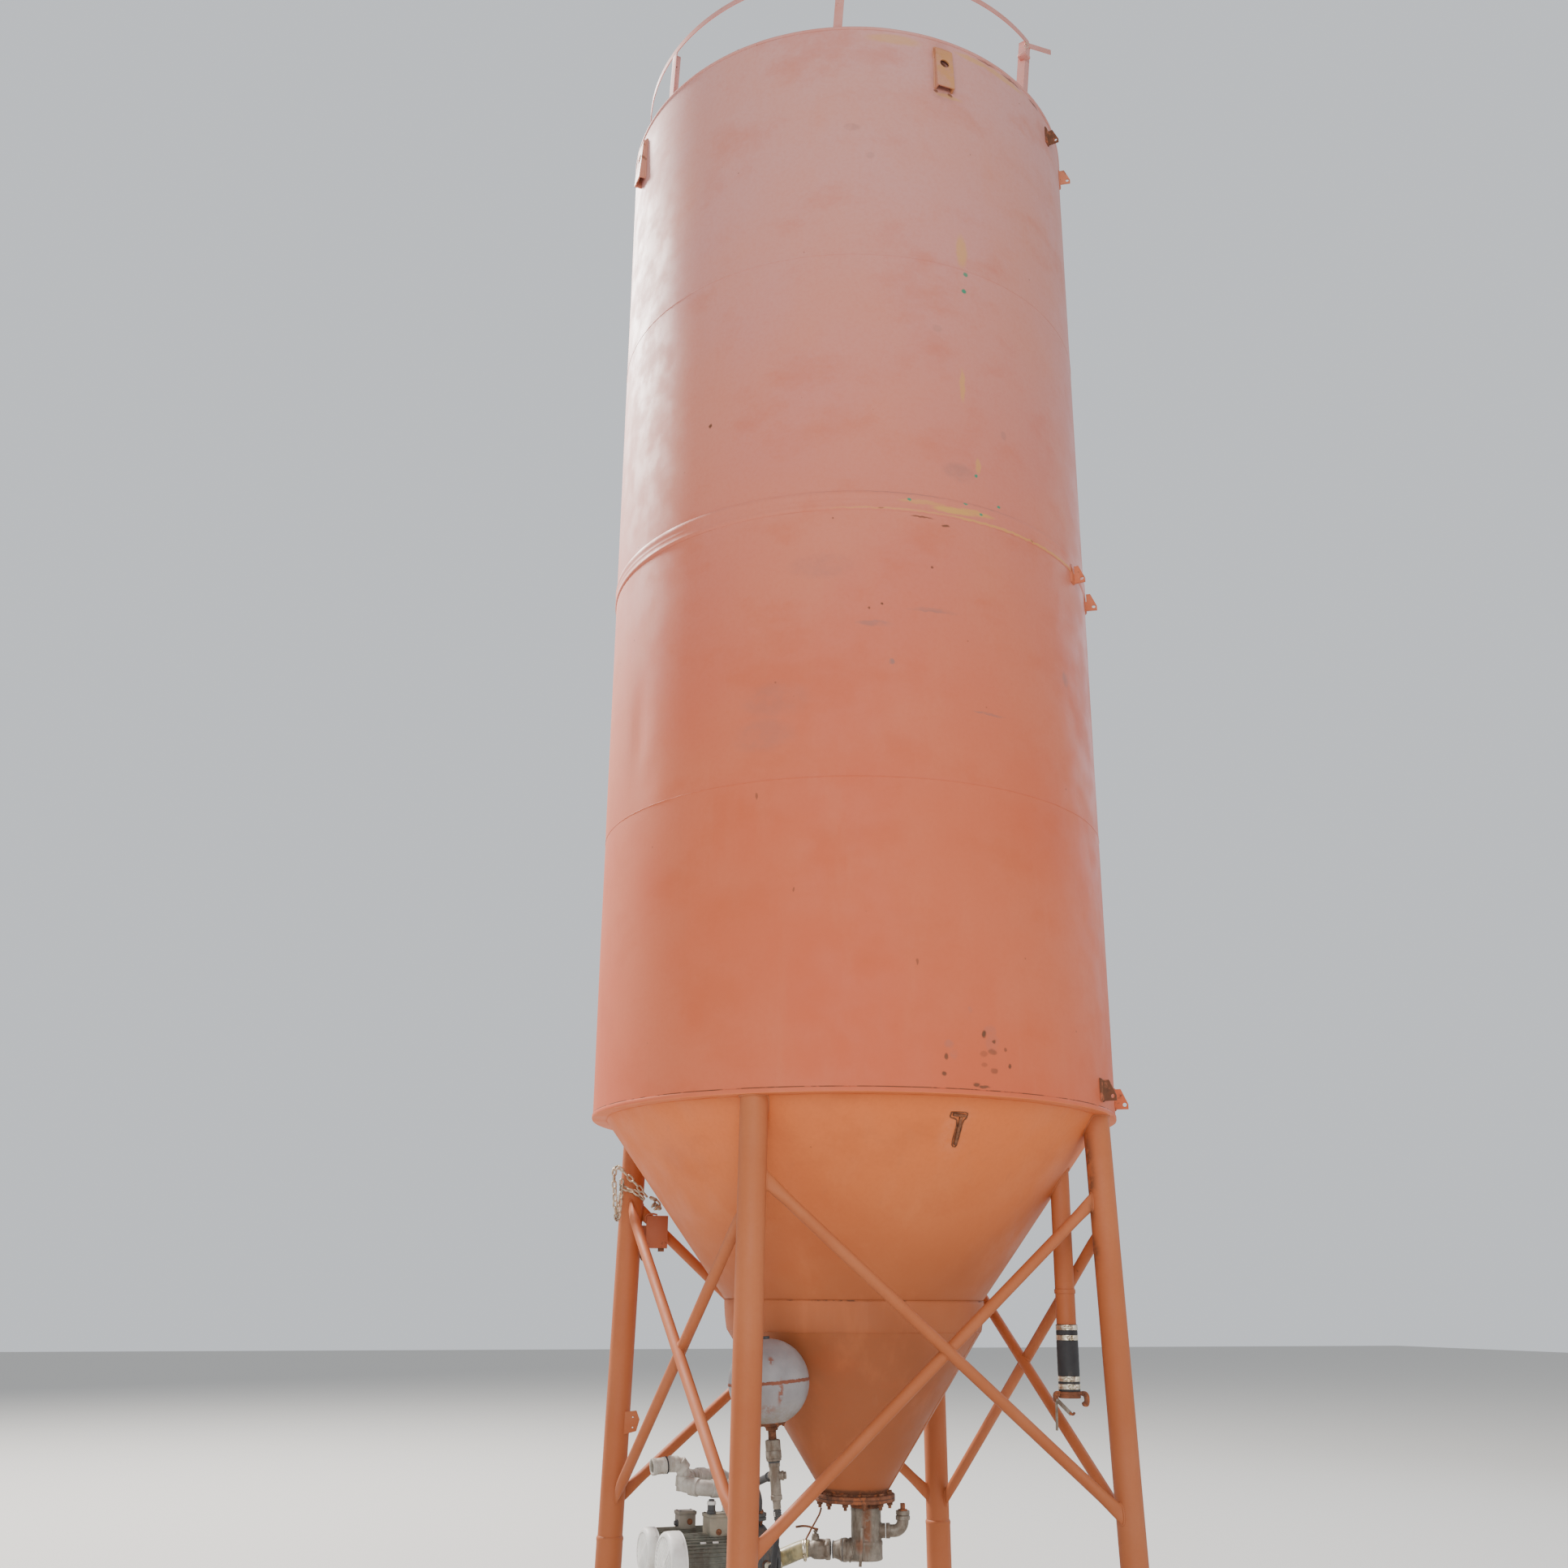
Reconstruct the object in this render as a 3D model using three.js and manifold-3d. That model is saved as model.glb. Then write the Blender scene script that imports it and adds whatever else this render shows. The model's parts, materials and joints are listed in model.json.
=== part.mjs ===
import * as THREE from "three";
import { mergeVertices } from "three/addons/utils/BufferGeometryUtils.js";
import Module from "manifold-3d";

// Driving dimensions, in millimetres. Z is up, the floor is z = 0 and the silo stands round the Z axis.
// Angles round the tank are in degrees from the front, -Y, towards +X.
const gap = 0.3;
const tankSides = 72;

// Tank
const shellRadius = 1200;
const wall = 5;
const ringTop = 2400;
const ringThickness = 20;
const ringReach = 4;
const courseTops = [1285, 2535, 3890, 5230];
const bandHeight = 95;
const bandReach = 9;
const rimHeight = 18;
const rimReach = 6;
const rimWidth = 20;
const roofSlope = Math.tan(THREE.MathUtils.degToRad(12));
const roofEdge = shellRadius - 4;
const hatchRadius = 300;
const hatchHeight = 90;

// Guard rail round the roof, open where the ladder stood
const railTop = 8052;
const railRadius = 1162;
const railCentre = { x: 27, y: -13 };
const railBar = { height: 30, thickness: 5 };
const postTops = [74, 126, 178, 230, 279.6, 333, 390.7];
const postFeet = [74, 126, 178, 230, 283.6, 333.3, 388.2];
const postFootRadius = 1186;
const postSize = 45;
const postThickness = 5;
const stubLength = 140;

// Cone, from the base ring down to the bolted outlet
const coneTopRadius = 1152;
const coneSeamHeight = 1604;
const coneSeamRadius = 575;
const coneBandFoot = 1478;
const coneBandReach = 5;
const lowerConeRadius = 565;
const coneFoot = 816;
const coneFootRadius = 138;
const coneWall = 6;

// Legs and braces
const legs = { front_left: -45, front_right: 45, back_right: 135, back_left: 225 };
const legRadius = 57.15;
const legWall = 5;
const footRadius = 60.5;
const legCircleTop = 1133;
const legCircleFloor = 1208;
const spliceHeight = 570;
const footPlate = 240;
const footPlateThickness = 14;
const braceRadius = 24.15;
const braceOffset = 20;

// Heights of the brace joints on the legs' axes: [at the first leg, at the second leg]
const braces = {
  front: { from: "front_left", to: "front_right", rising: [690, 2060], falling: [2094, 754] },
  right: { from: "front_right", to: "back_right", rising: [728, 2050], falling: [1952, 642] },
  back: { from: "back_right", to: "back_left", rising: [658, 2050], falling: [2060, 706] },
  left: { from: "back_left", to: "front_left", rising: [706, 2008], falling: [2062, 798] },
};

// Lifting lugs and ladder brackets
const lugs = { front: -0.9, right: 89.1, back: 179.1, left: 269.1 };
const lugFoot = 7325;
const lugSize = { width: 94, height: 260, top: 20, depth: 37, plate: 8, hole: 25, holeHeight: 152 };
const bracketHeights = { bottom: 2428, middle: 4886, top: 7480 };
const bracketColumns = { left: 39.5, right: 55 };
const bracketSize = { height: 90, top: 30, foot: 60, pad: 40, plate: 8, hole: 9 };

// Outlet pipework, drawn on a line turned to this angle about the Z axis
const outletTurn = -24.8;
const outletFlange = { radius: 174, bore: 60, thickness: 14 };
const outletOffset = 48;
const outletRadius = 64.5;
const outletTop = 761;
const outletFoot = 556;
const suctionHeight = 592;
const suctionTurn = -5;
const drainHeight = 670;
const drainRadius = 26;

// Fill line
const fillPlace = { x: 742, y: -580 };
const fillRadius = 42;
const fillHoseTop = 1514;
const fillHoseFoot = 1246;
const fillFoot = 1146;

// Pump set and pressure vessel
const plinth = { x: -500, y: 310, width: 480, depth: 560, height: 399 };
const frontPump = { y: 177, z: 549, fanEnd: -803, motorEnd: -440, casingEnd: -330, mouth: -300, port: 160, top: 706 };
const rearPump = { y: 470, z: 560, fanEnd: -803, motorEnd: -450, casingEnd: -345 };
const valveEnd = 148;
const joint = { x: -700, y: 250 };
const riserRadius = { front: 33, rear: 30 };
const tee = { x: -520, y: -365, z: 924 };
const stemLean = 4.7;
const stemRadius = 20;
const sphereRadius = 166;
const sphereHeight = 365;
const hoseRadius = 12;
const hoseExit = 34;

// The pressure hose's route between its straight ends, from under the stem round to the front pump's side
const hoseRoute = [
  [-508, -363, 744], [-507, -353, 709], [-504, -339, 672], [-500, -320, 640], [-494, -297, 611],
  [-485, -270, 587], [-474, -241, 569], [-461, -211, 557], [-447, -180, 550], [-434, -149, 547],
  [-422, -117, 546], [-411, -84, 546.5], [-402, -51, 547.5],
];

const orange = 0xc8714a;
const rust = 0x7a4630;
const grey = 0x8d8a86;
const white = 0xc9c9c4;
const black = 0x26262a;
const stone = 0x8f8a80;

const wasm = await Module();
wasm.setup();

const silo = new THREE.Group();

function addPiece(name, geometry, color, parent = silo) {
  const roughness = color === black ? 0.8 : 0.55;
  const metalness = color === orange || color === stone ? 0 : 0.3;
  const mesh = new THREE.Mesh(geometry, new THREE.MeshStandardMaterial({ color, roughness, metalness }));
  mesh.name = name;
  parent.add(mesh);
  return mesh;
}

// A closed geometry as a solid that can be cut and joined
function toSolid(geometry) {
  const plain = geometry.clone();
  plain.deleteAttribute("normal");
  plain.deleteAttribute("uv");
  const merged = mergeVertices(plain, 1e-3);
  const corners = merged.index.array;
  const kept = [];
  for (let i = 0; i < corners.length; i += 3) {
    const [a, b, c] = corners.slice(i, i + 3);
    if (a !== b && b !== c && c !== a) {
      kept.push(a, b, c);
    }
  }
  const vertProperties = merged.attributes.position.array;
  return new wasm.Manifold(new wasm.Mesh({ numProp: 3, vertProperties, triVerts: Uint32Array.from(kept) }));
}

function toGeometry(solid) {
  const mesh = solid.getMesh();
  const geometry = new THREE.BufferGeometry();
  geometry.setAttribute("position", new THREE.BufferAttribute(Float32Array.from(mesh.vertProperties), 3));
  geometry.setIndex(new THREE.BufferAttribute(Uint32Array.from(mesh.triVerts), 1));
  geometry.computeVertexNormals();
  return geometry;
}

function join(...geometries) {
  return toGeometry(geometries.map(toSolid).reduce((all, next) => all.add(next)));
}

// A turned piece round the Z axis; its [radius, height] points run up the outside and down the inside
function turned(profile, sides = tankSides) {
  const points = profile.map(([radius, height]) => new THREE.Vector2(radius, height));
  if (profile[0][0] > 0) {
    points.push(points[0].clone());
  }
  return new THREE.LatheGeometry(points, sides).rotateX(Math.PI / 2);
}

function ring(inner, outer, low, high, sides = tankSides) {
  return turned([[outer, low], [outer, high], [inner, high], [inner, low]], sides);
}

function disc(radius, low, high, sides = 24) {
  return turned([[0, low], [radius, low], [radius, high], [0, high]], sides);
}

function box(width, depth, height, x, y, low) {
  return new THREE.BoxGeometry(width, depth, height).translate(x, y, low + height / 2);
}

// A round bar between two points
function bar(from, to, radius, sides = 16) {
  const along = to.clone().sub(from);
  const geometry = new THREE.CylinderGeometry(radius, radius, along.length(), sides);
  geometry.translate(0, along.length() / 2, 0);
  geometry.applyQuaternion(new THREE.Quaternion().setFromUnitVectors(THREE.Object3D.DEFAULT_UP, along.normalize()));
  return geometry.translate(from.x, from.y, from.z);
}

// A round bar along a smooth curve through the points
function bent(points, radius, steps = 14, sides = 6) {
  const section = new THREE.Shape();
  section.absarc(0, 0, radius, 0, 2 * Math.PI);
  const extrudePath = new THREE.CatmullRomCurve3(points.map((point) => new THREE.Vector3(...point)));
  return new THREE.ExtrudeGeometry(section, { steps, bevelEnabled: false, curveSegments: sides, extrudePath });
}

// An outline of [outward, height] points on the tank's front face, made into a plate across X
function upright(outline, width) {
  const shape = new THREE.Shape(outline.map(([outward, height]) => new THREE.Vector2(-outward, height)));
  const geometry = new THREE.ExtrudeGeometry(shape, { depth: width, bevelEnabled: false });
  const [right, back, up] = [new THREE.Vector3(1, 0, 0), new THREE.Vector3(0, 1, 0), new THREE.Vector3(0, 0, 1)];
  geometry.applyMatrix4(new THREE.Matrix4().makeBasis(back, up, right));
  return geometry.translate(-width / 2, 0, 0);
}

function swing(geometry, degrees) {
  return geometry.rotateZ(THREE.MathUtils.degToRad(degrees));
}

function around(radius, degrees, height = 0) {
  const angle = THREE.MathUtils.degToRad(degrees);
  return new THREE.Vector3(radius * Math.sin(angle), -radius * Math.cos(angle), height);
}

// Shell: four rolled courses, with the doubled band between the second and the third
function makeShell() {
  let low = ringTop + gap;
  courseTops.forEach((top, index) => {
    const course = ring(shellRadius - wall, shellRadius, low, ringTop + top);
    addPiece(`shell_course_${index + 1}`, course, orange);
    low = ringTop + top + gap;
    if (index === 1) {
      addPiece("middle_band", makeBand(low), orange);
      low += bandHeight + gap;
    }
  });
}

function makeBand(low) {
  const lip = shellRadius + bandReach;
  const flat = lip - 4;
  return turned([
    [lip, low], [lip, low + 16], [flat, low + 22], [flat, low + 60], [lip - 1, low + 66],
    [lip - 1, low + bandHeight - 6], [shellRadius, low + bandHeight],
    [shellRadius - wall, low + bandHeight], [shellRadius - wall, low],
  ]);
}

const rimLow = ringTop + courseTops[3] + gap;
const roofLow = rimLow + rimHeight + gap;
const neckLow = roofLow + (roofEdge - hatchRadius) * roofSlope;

function makeTop() {
  const outer = shellRadius + rimReach;
  const inner = shellRadius - rimWidth;
  const rimTop = rimLow + rimHeight;
  addPiece("top_rim", turned([
    [outer - 3, rimLow], [outer, rimLow + 5], [outer, rimTop - 5], [outer - 4, rimTop],
    [inner, rimTop], [inner, rimLow],
  ]), orange);
  const neckTop = neckLow + hatchHeight;
  const lip = hatchRadius + 35;
  addPiece("roof_cone", turned([
    [roofEdge, roofLow], [roofEdge, roofLow + wall], [hatchRadius, neckLow + wall],
    [hatchRadius, neckTop - 12], [lip, neckTop - 12], [lip, neckTop],
    [hatchRadius - wall, neckTop], [hatchRadius - wall, neckLow],
  ]), orange);
  const lidLow = neckTop + gap;
  addPiece("roof_hatch_lid", turned([
    [0, lidLow], [lip + 3, lidLow], [lip + 3, lidLow + 8], [hatchRadius - 40, lidLow + 14], [0, lidLow + 14],
  ], 36), orange);
}

// An angle-iron post that leans from its foot on the roof's edge to the hoop
function railPost(foot, top, degrees) {
  const height = top.z - foot.z;
  const outerLeg = box(postSize, postThickness, height, 0, postThickness / 2, 0);
  const innerLeg = box(postThickness, postSize, height, (postThickness - postSize) / 2, postSize / 2, 0);
  const post = swing(join(outerLeg, innerLeg), degrees);
  const lean = new THREE.Matrix4().set(
    1, 0, (top.x - foot.x) / height, foot.x,
    0, 1, (top.y - foot.y) / height, foot.y,
    0, 0, 1, foot.z,
    0, 0, 0, 1,
  );
  return toSolid(post.applyMatrix4(lean));
}

function makeGuardRail() {
  const [start, end] = [postTops[0], postTops.at(-1)].map((degrees) => THREE.MathUtils.degToRad(degrees - 90));
  const { height, thickness } = railBar;
  const shape = new THREE.Shape();
  shape.absarc(railCentre.x, railCentre.y, railRadius + thickness / 2, start, end, false);
  shape.absarc(railCentre.x, railCentre.y, railRadius - thickness / 2, end, start, true);
  const hoop = new THREE.ExtrudeGeometry(shape, { depth: height, bevelEnabled: false, curveSegments: 60 });
  let rail = toSolid(hoop.translate(0, 0, railTop - height));
  const roofFace = toSolid(turned([
    [0, roofLow - 40], [roofEdge + 1, roofLow - 40], [roofEdge + 1, roofLow + wall + gap],
    [hatchRadius, neckLow + wall + gap], [0, neckLow + wall],
  ]));
  postTops.forEach((degrees, index) => {
    const top = around(railRadius - thickness / 2 + 1, degrees, railTop - 2);
    top.x += railCentre.x;
    top.y += railCentre.y;
    const foot = around(postFootRadius, postFeet[index], roofLow);
    const inset = Math.sign(postTops.length / 2 - index) * 1.1;
    rail = rail.add(railPost(foot, top, degrees + inset).subtract(roofFace));
  });
  const stubStart = around(railRadius - thickness, postTops.at(-1), railTop - 0.8 * height);
  const stub = new THREE.BoxGeometry(stubLength, thickness, height).translate(stubLength / 2, 0, 0);
  swing(stub, -2).translate(stubStart.x + railCentre.x, stubStart.y + railCentre.y, stubStart.z);
  addPiece("guard_rail", toGeometry(rail.add(toSolid(stub))), orange);
}

// The tank's outer faces, as a solid with some clearance
function tankBody() {
  const bandLow = ringTop + courseTops[1];
  return toSolid(turned([
    [0, ringTop - 100], [shellRadius + gap, ringTop - 100], [shellRadius + gap, bandLow - gap],
    [shellRadius + bandReach + gap, bandLow - gap], [shellRadius + bandReach + gap, bandLow + bandHeight + 1],
    [shellRadius + gap, bandLow + bandHeight + 1], [shellRadius + gap, rimLow - gap],
    [shellRadius + rimReach + gap, rimLow - gap], [shellRadius + rimReach + gap, rimLow + 100], [0, rimLow + 100],
  ]));
}

// Lifting lugs: wedges of folded plate under the rim, open at the foot, with a hole in the sloping face
function makeLugs(tank) {
  const { width, height, top, depth, plate, hole, holeHeight } = lugSize;
  const outside = [[-12, 0], [-12, height], [0, height], [top, height - 20], [depth, 0]];
  const inside = [[-13, -40], [-13, height - 16], [top - plate, height - 34], [depth + 3 - plate, -40]];
  const hollow = toSolid(upright(inside, width - 2 * plate));
  const eye = toSolid(new THREE.CylinderGeometry(hole, hole, 200, 16).translate(0, 0, holeHeight));
  const lug = toSolid(upright(outside, width)).subtract(hollow).subtract(eye);
  for (const [side, degrees] of Object.entries(lugs)) {
    const placed = swing(toGeometry(lug).translate(0, -shellRadius, lugFoot), degrees);
    addPiece(`lifting_lug_${side}`, toGeometry(toSolid(placed).subtract(tank)), orange);
  }
}

// Ladder brackets: a pad on the shell with a fin that is drilled at its outer corner
function makeBrackets(tank) {
  const { height, top, foot, pad, plate, hole } = bracketSize;
  const fin = upright([[-20, 0], [-20, height], [top, height], [foot, 22], [foot, 0]], plate);
  const eye = toSolid(new THREE.CylinderGeometry(hole, hole, 60, 12).rotateZ(Math.PI / 2).translate(0, 16 - foot, 20));
  const drilled = toGeometry(toSolid(fin).subtract(eye));
  for (const [column, degrees] of Object.entries(bracketColumns)) {
    const hand = column === "left" ? 1 : -1;
    const backing = box(pad, 32, height, hand * (plate - pad) / 2, 8, 0);
    for (const [level, low] of Object.entries(bracketHeights)) {
      const placed = swing(join(drilled, backing).translate(0, -shellRadius, low), degrees);
      addPiece(`ladder_bracket_${column}_${level}`, toGeometry(toSolid(placed).subtract(tank)), orange);
    }
  }
}

// Cone: a steep upper cone, a doubled band and a steeper lower cone with a bolted flange at its foot
function makeCone() {
  const slope = (coneTopRadius - coneSeamRadius) / (ringTop - coneSeamHeight);
  const ringBore = coneTopRadius + gap;
  addPiece("base_ring", turned([
    [shellRadius + ringReach, ringTop - ringThickness], [shellRadius + ringReach, ringTop],
    [ringBore, ringTop], [ringBore - ringThickness * slope, ringTop - ringThickness],
  ]), orange);
  const coneRing = (lowRadius, low, highRadius, high) => turned([
    [lowRadius, low], [highRadius, high], [highRadius - coneWall, high], [lowRadius - coneWall, low],
  ]);
  const [bandHigh, bandLow] = [coneSeamRadius + coneBandReach, lowerConeRadius + coneBandReach];
  addPiece("upper_cone", coneRing(coneSeamRadius, coneSeamHeight + gap, coneTopRadius, ringTop), orange);
  addPiece("cone_band", coneRing(bandLow, coneBandFoot, bandHigh, coneSeamHeight), orange);
  addPiece("lower_cone", coneRing(coneFootRadius, coneFoot, lowerConeRadius, coneBandFoot - gap), orange);
  const flange = ring(outletFlange.bore * 2, outletFlange.radius, coneFoot - outletFlange.thickness, coneFoot - gap, 36);
  addPiece("cone_flange", flange, rust);
}

// The cone's outer faces, as a solid with some clearance
function coneBody(clearance) {
  return toSolid(turned([
    [0, coneFoot - clearance], [coneFootRadius + clearance, coneFoot - clearance],
    [lowerConeRadius + clearance, coneBandFoot], [lowerConeRadius + coneBandReach + clearance, coneBandFoot],
    [coneSeamRadius + coneBandReach + clearance, coneSeamHeight + 1], [coneSeamRadius + clearance, coneSeamHeight + 1],
    [coneTopRadius + clearance, ringTop], [0, ringTop],
  ]));
}

// Legs: four splayed tubes, let into wider lengths that stand on the foot plates
function legPoint(name, height) {
  const radius = THREE.MathUtils.lerp(legCircleFloor, legCircleTop, height / ringTop);
  return around(radius, legs[name], height);
}

function legBar(name, radius, past = 60) {
  return bar(legPoint(name, -past), legPoint(name, ringTop + past), radius, 24);
}

function slab(low, high) {
  return toSolid(box(3 * shellRadius, 3 * shellRadius, high - low, 0, 0, low));
}

function makeLegs(cone) {
  for (const name of Object.keys(legs)) {
    const tube = toSolid(legBar(name, legRadius)).subtract(toSolid(legBar(name, legRadius - legWall, 90)));
    const leg = tube.subtract(cone).intersect(slab(spliceHeight + gap, ringTop - ringThickness - gap));
    addPiece(`leg_${name}`, toGeometry(leg), orange);
    const sleeve = toSolid(legBar(name, footRadius)).subtract(toSolid(legBar(name, footRadius - legWall, 90)));
    const { x, y } = legPoint(name, 0);
    const plate = toSolid(box(footPlate, footPlate, footPlateThickness, x, y, 0));
    const foot = sleeve.intersect(slab(footPlateThickness / 2, spliceHeight)).add(plate);
    addPiece(`leg_foot_${name}`, toGeometry(foot), orange);
  }
}

// A tube that is pinched flat at both ends, moved outwards by an offset
function pinchedBar(from, to, outward, offset, radius = braceRadius) {
  const along = to.clone().sub(from);
  const length = along.length();
  const rows = [0, 60, 120, 190, length - 190, length - 120, length - 60, length];
  const geometry = new THREE.CylinderGeometry(radius, radius, length, 12, rows.length - 1);
  const corners = geometry.attributes.position;
  for (let i = 0; i < corners.count; i += 1) {
    const row = Math.round((corners.getY(i) / length + 0.5) * (rows.length - 1));
    const roundness = THREE.MathUtils.smoothstep(Math.min(rows[row], length - rows[row]), 60, 190);
    corners.setX(i, corners.getX(i) * THREE.MathUtils.lerp(0.4, 1, roundness));
    corners.setZ(i, corners.getZ(i) * THREE.MathUtils.lerp(1.25, 1, roundness));
    corners.setY(i, rows[row]);
  }
  const lengthwise = along.normalize();
  const across = new THREE.Vector3().crossVectors(outward, lengthwise).normalize();
  const face = new THREE.Vector3().crossVectors(lengthwise, across);
  geometry.applyMatrix4(new THREE.Matrix4().makeBasis(face, lengthwise, across));
  const start = from.clone().addScaledVector(face, offset);
  return geometry.translate(start.x, start.y, start.z);
}

// Braces: a crossed pair on each side, the rising tube notched round the falling one
function makeBraces() {
  for (const [side, { from, to, rising, falling }] of Object.entries(braces)) {
    const outward = around(1, (legs[from] + (legs[to] < legs[from] ? legs[to] + 360 : legs[to])) / 2);
    const ends = ([first, second]) => [legPoint(from, first), legPoint(to, second)];
    const legRoom = [from, to].map((name) => toSolid(legBar(name, legRadius + gap)));
    const fitted = (geometry) => legRoom.reduce((solid, room) => solid.subtract(room), toSolid(geometry));
    const front = pinchedBar(...ends(falling), outward, braceOffset);
    const notch = toSolid(pinchedBar(...ends(falling), outward, braceOffset, braceRadius + 1.5 * gap));
    const back = pinchedBar(...ends(rising), outward, 0);
    addPiece(`brace_${side}_falling`, toGeometry(fitted(front)), orange);
    addPiece(`brace_${side}_rising`, toGeometry(fitted(back).subtract(notch)), orange);
  }
}

// Fill line: a tube let into the cone, with a clamped rubber sleeve and a coupling at its end
function makeFillLine(cone) {
  const { x, y } = fillPlace;
  const tube = disc(fillRadius, fillHoseTop + gap, ringTop - 100).translate(x, y, 0);
  addPiece("fill_pipe", toGeometry(toSolid(tube).subtract(cone)), orange);
  addPiece("fill_sleeve", disc(fillRadius + 4.5, fillHoseFoot + gap, fillHoseTop).translate(x, y, 0), black);
  const body = turned([
    [0, fillFoot], [48, fillFoot], [52, fillFoot + 8], [52, fillFoot + 30], [58, fillFoot + 34],
    [58, fillFoot + 60], [46, fillFoot + 66], [44, fillHoseFoot], [0, fillHoseFoot],
  ], 24);
  const ears = box(156, 16, 26, 0, 0, fillFoot + 34);
  addPiece("fill_coupling", join(body, ears).translate(x, y, 0), rust);
}

// Outlet: a bolted blank with an eccentric stub, a tee, a plugged drain elbow and the suction valve
function makeOutlet() {
  const outlet = new THREE.Group();
  outlet.rotation.z = THREE.MathUtils.degToRad(outletTurn);
  silo.add(outlet);
  const plateTop = coneFoot - outletFlange.thickness - gap;
  const plate = disc(outletFlange.radius, plateTop - outletFlange.thickness, plateTop, 36);
  const stub = disc(outletRadius + 2, outletTop + gap, plateTop - 4).translate(outletOffset, 0, 0);
  addPiece("outlet_flange", join(plate, stub), rust, outlet);

  const along = (from, to, height) => [new THREE.Vector3(from, 0, height), new THREE.Vector3(to, 0, height)];
  const aside = (geometry) => swing(geometry.translate(-outletOffset, 0, 0), suctionTurn).translate(outletOffset, 0, 0);
  const pipe = turned([
    [0, outletFoot], [outletRadius + 6, outletFoot], [outletRadius + 6, outletFoot + 74],
    [outletRadius, outletFoot + 80], [outletRadius, outletTop], [0, outletTop],
  ], 24).translate(outletOffset, 0, 0);
  const drainStart = outletOffset + outletRadius + 20;
  const suctionStart = outletOffset - outletRadius - 34;
  const drainBranch = bar(...along(outletOffset, drainStart, drainHeight), drainRadius + 4);
  const suctionBranch = aside(bar(...along(outletOffset, suctionStart, suctionHeight), 48, 20));
  addPiece("outlet_pipe", join(pipe, drainBranch, suctionBranch), grey, outlet);

  const rise = outletOffset + 158;
  const bend = [];
  for (let step = 0; step <= 4; step += 1) {
    const angle = step / 4 * Math.PI / 2;
    bend.push([rise - 40 + 40 * Math.sin(angle), 0, drainHeight + 40 - 40 * Math.cos(angle)]);
  }
  const elbow = bent([[drainStart + gap, 0, drainHeight], ...bend, [rise, 0, drainHeight + 78]], drainRadius, 8);
  const socket = disc(drainRadius + 5, drainHeight + 44, drainHeight + 80, 16).translate(rise, 0, 0);
  const plug = box(18, 18, 34, rise, 0, drainHeight + 76);
  addPiece("outlet_elbow", join(elbow, socket, plug), grey, outlet);

  const valve = turned([
    [0, 0], [46, 0], [44, 10], [34, 38], [33, 44], [42, 46], [42, 66], [34, 68], [40, 84],
    [40, 128], [32, 138], [32, valveEnd], [0, valveEnd],
  ], 20).rotateY(-Math.PI / 2).translate(suctionStart - gap, 0, suctionHeight);
  const bonnet = disc(15, suctionHeight, suctionHeight + 72, 12).translate(suctionStart - 120, 0, 0);
  addPiece("outlet_valve", aside(join(valve, bonnet)), grey, outlet);

  // The first two points of the suction sleeve
  return [0, 20].map((past) => {
    const along = new THREE.Vector3(suctionStart - valveEnd - 2 * gap - past - outletOffset, 0, suctionHeight);
    along.applyAxisAngle(new THREE.Vector3(0, 0, 1), THREE.MathUtils.degToRad(suctionTurn));
    along.x += outletOffset;
    return along.applyAxisAngle(new THREE.Vector3(0, 0, 1), outlet.rotation.z).toArray();
  });
}

// Pump set: two motor pumps on a plinth, fed through the suction sleeve, with one discharge pipe
function lyingAlongX(profile, sides = 24) {
  return turned(profile, sides).rotateY(Math.PI / 2);
}

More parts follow.
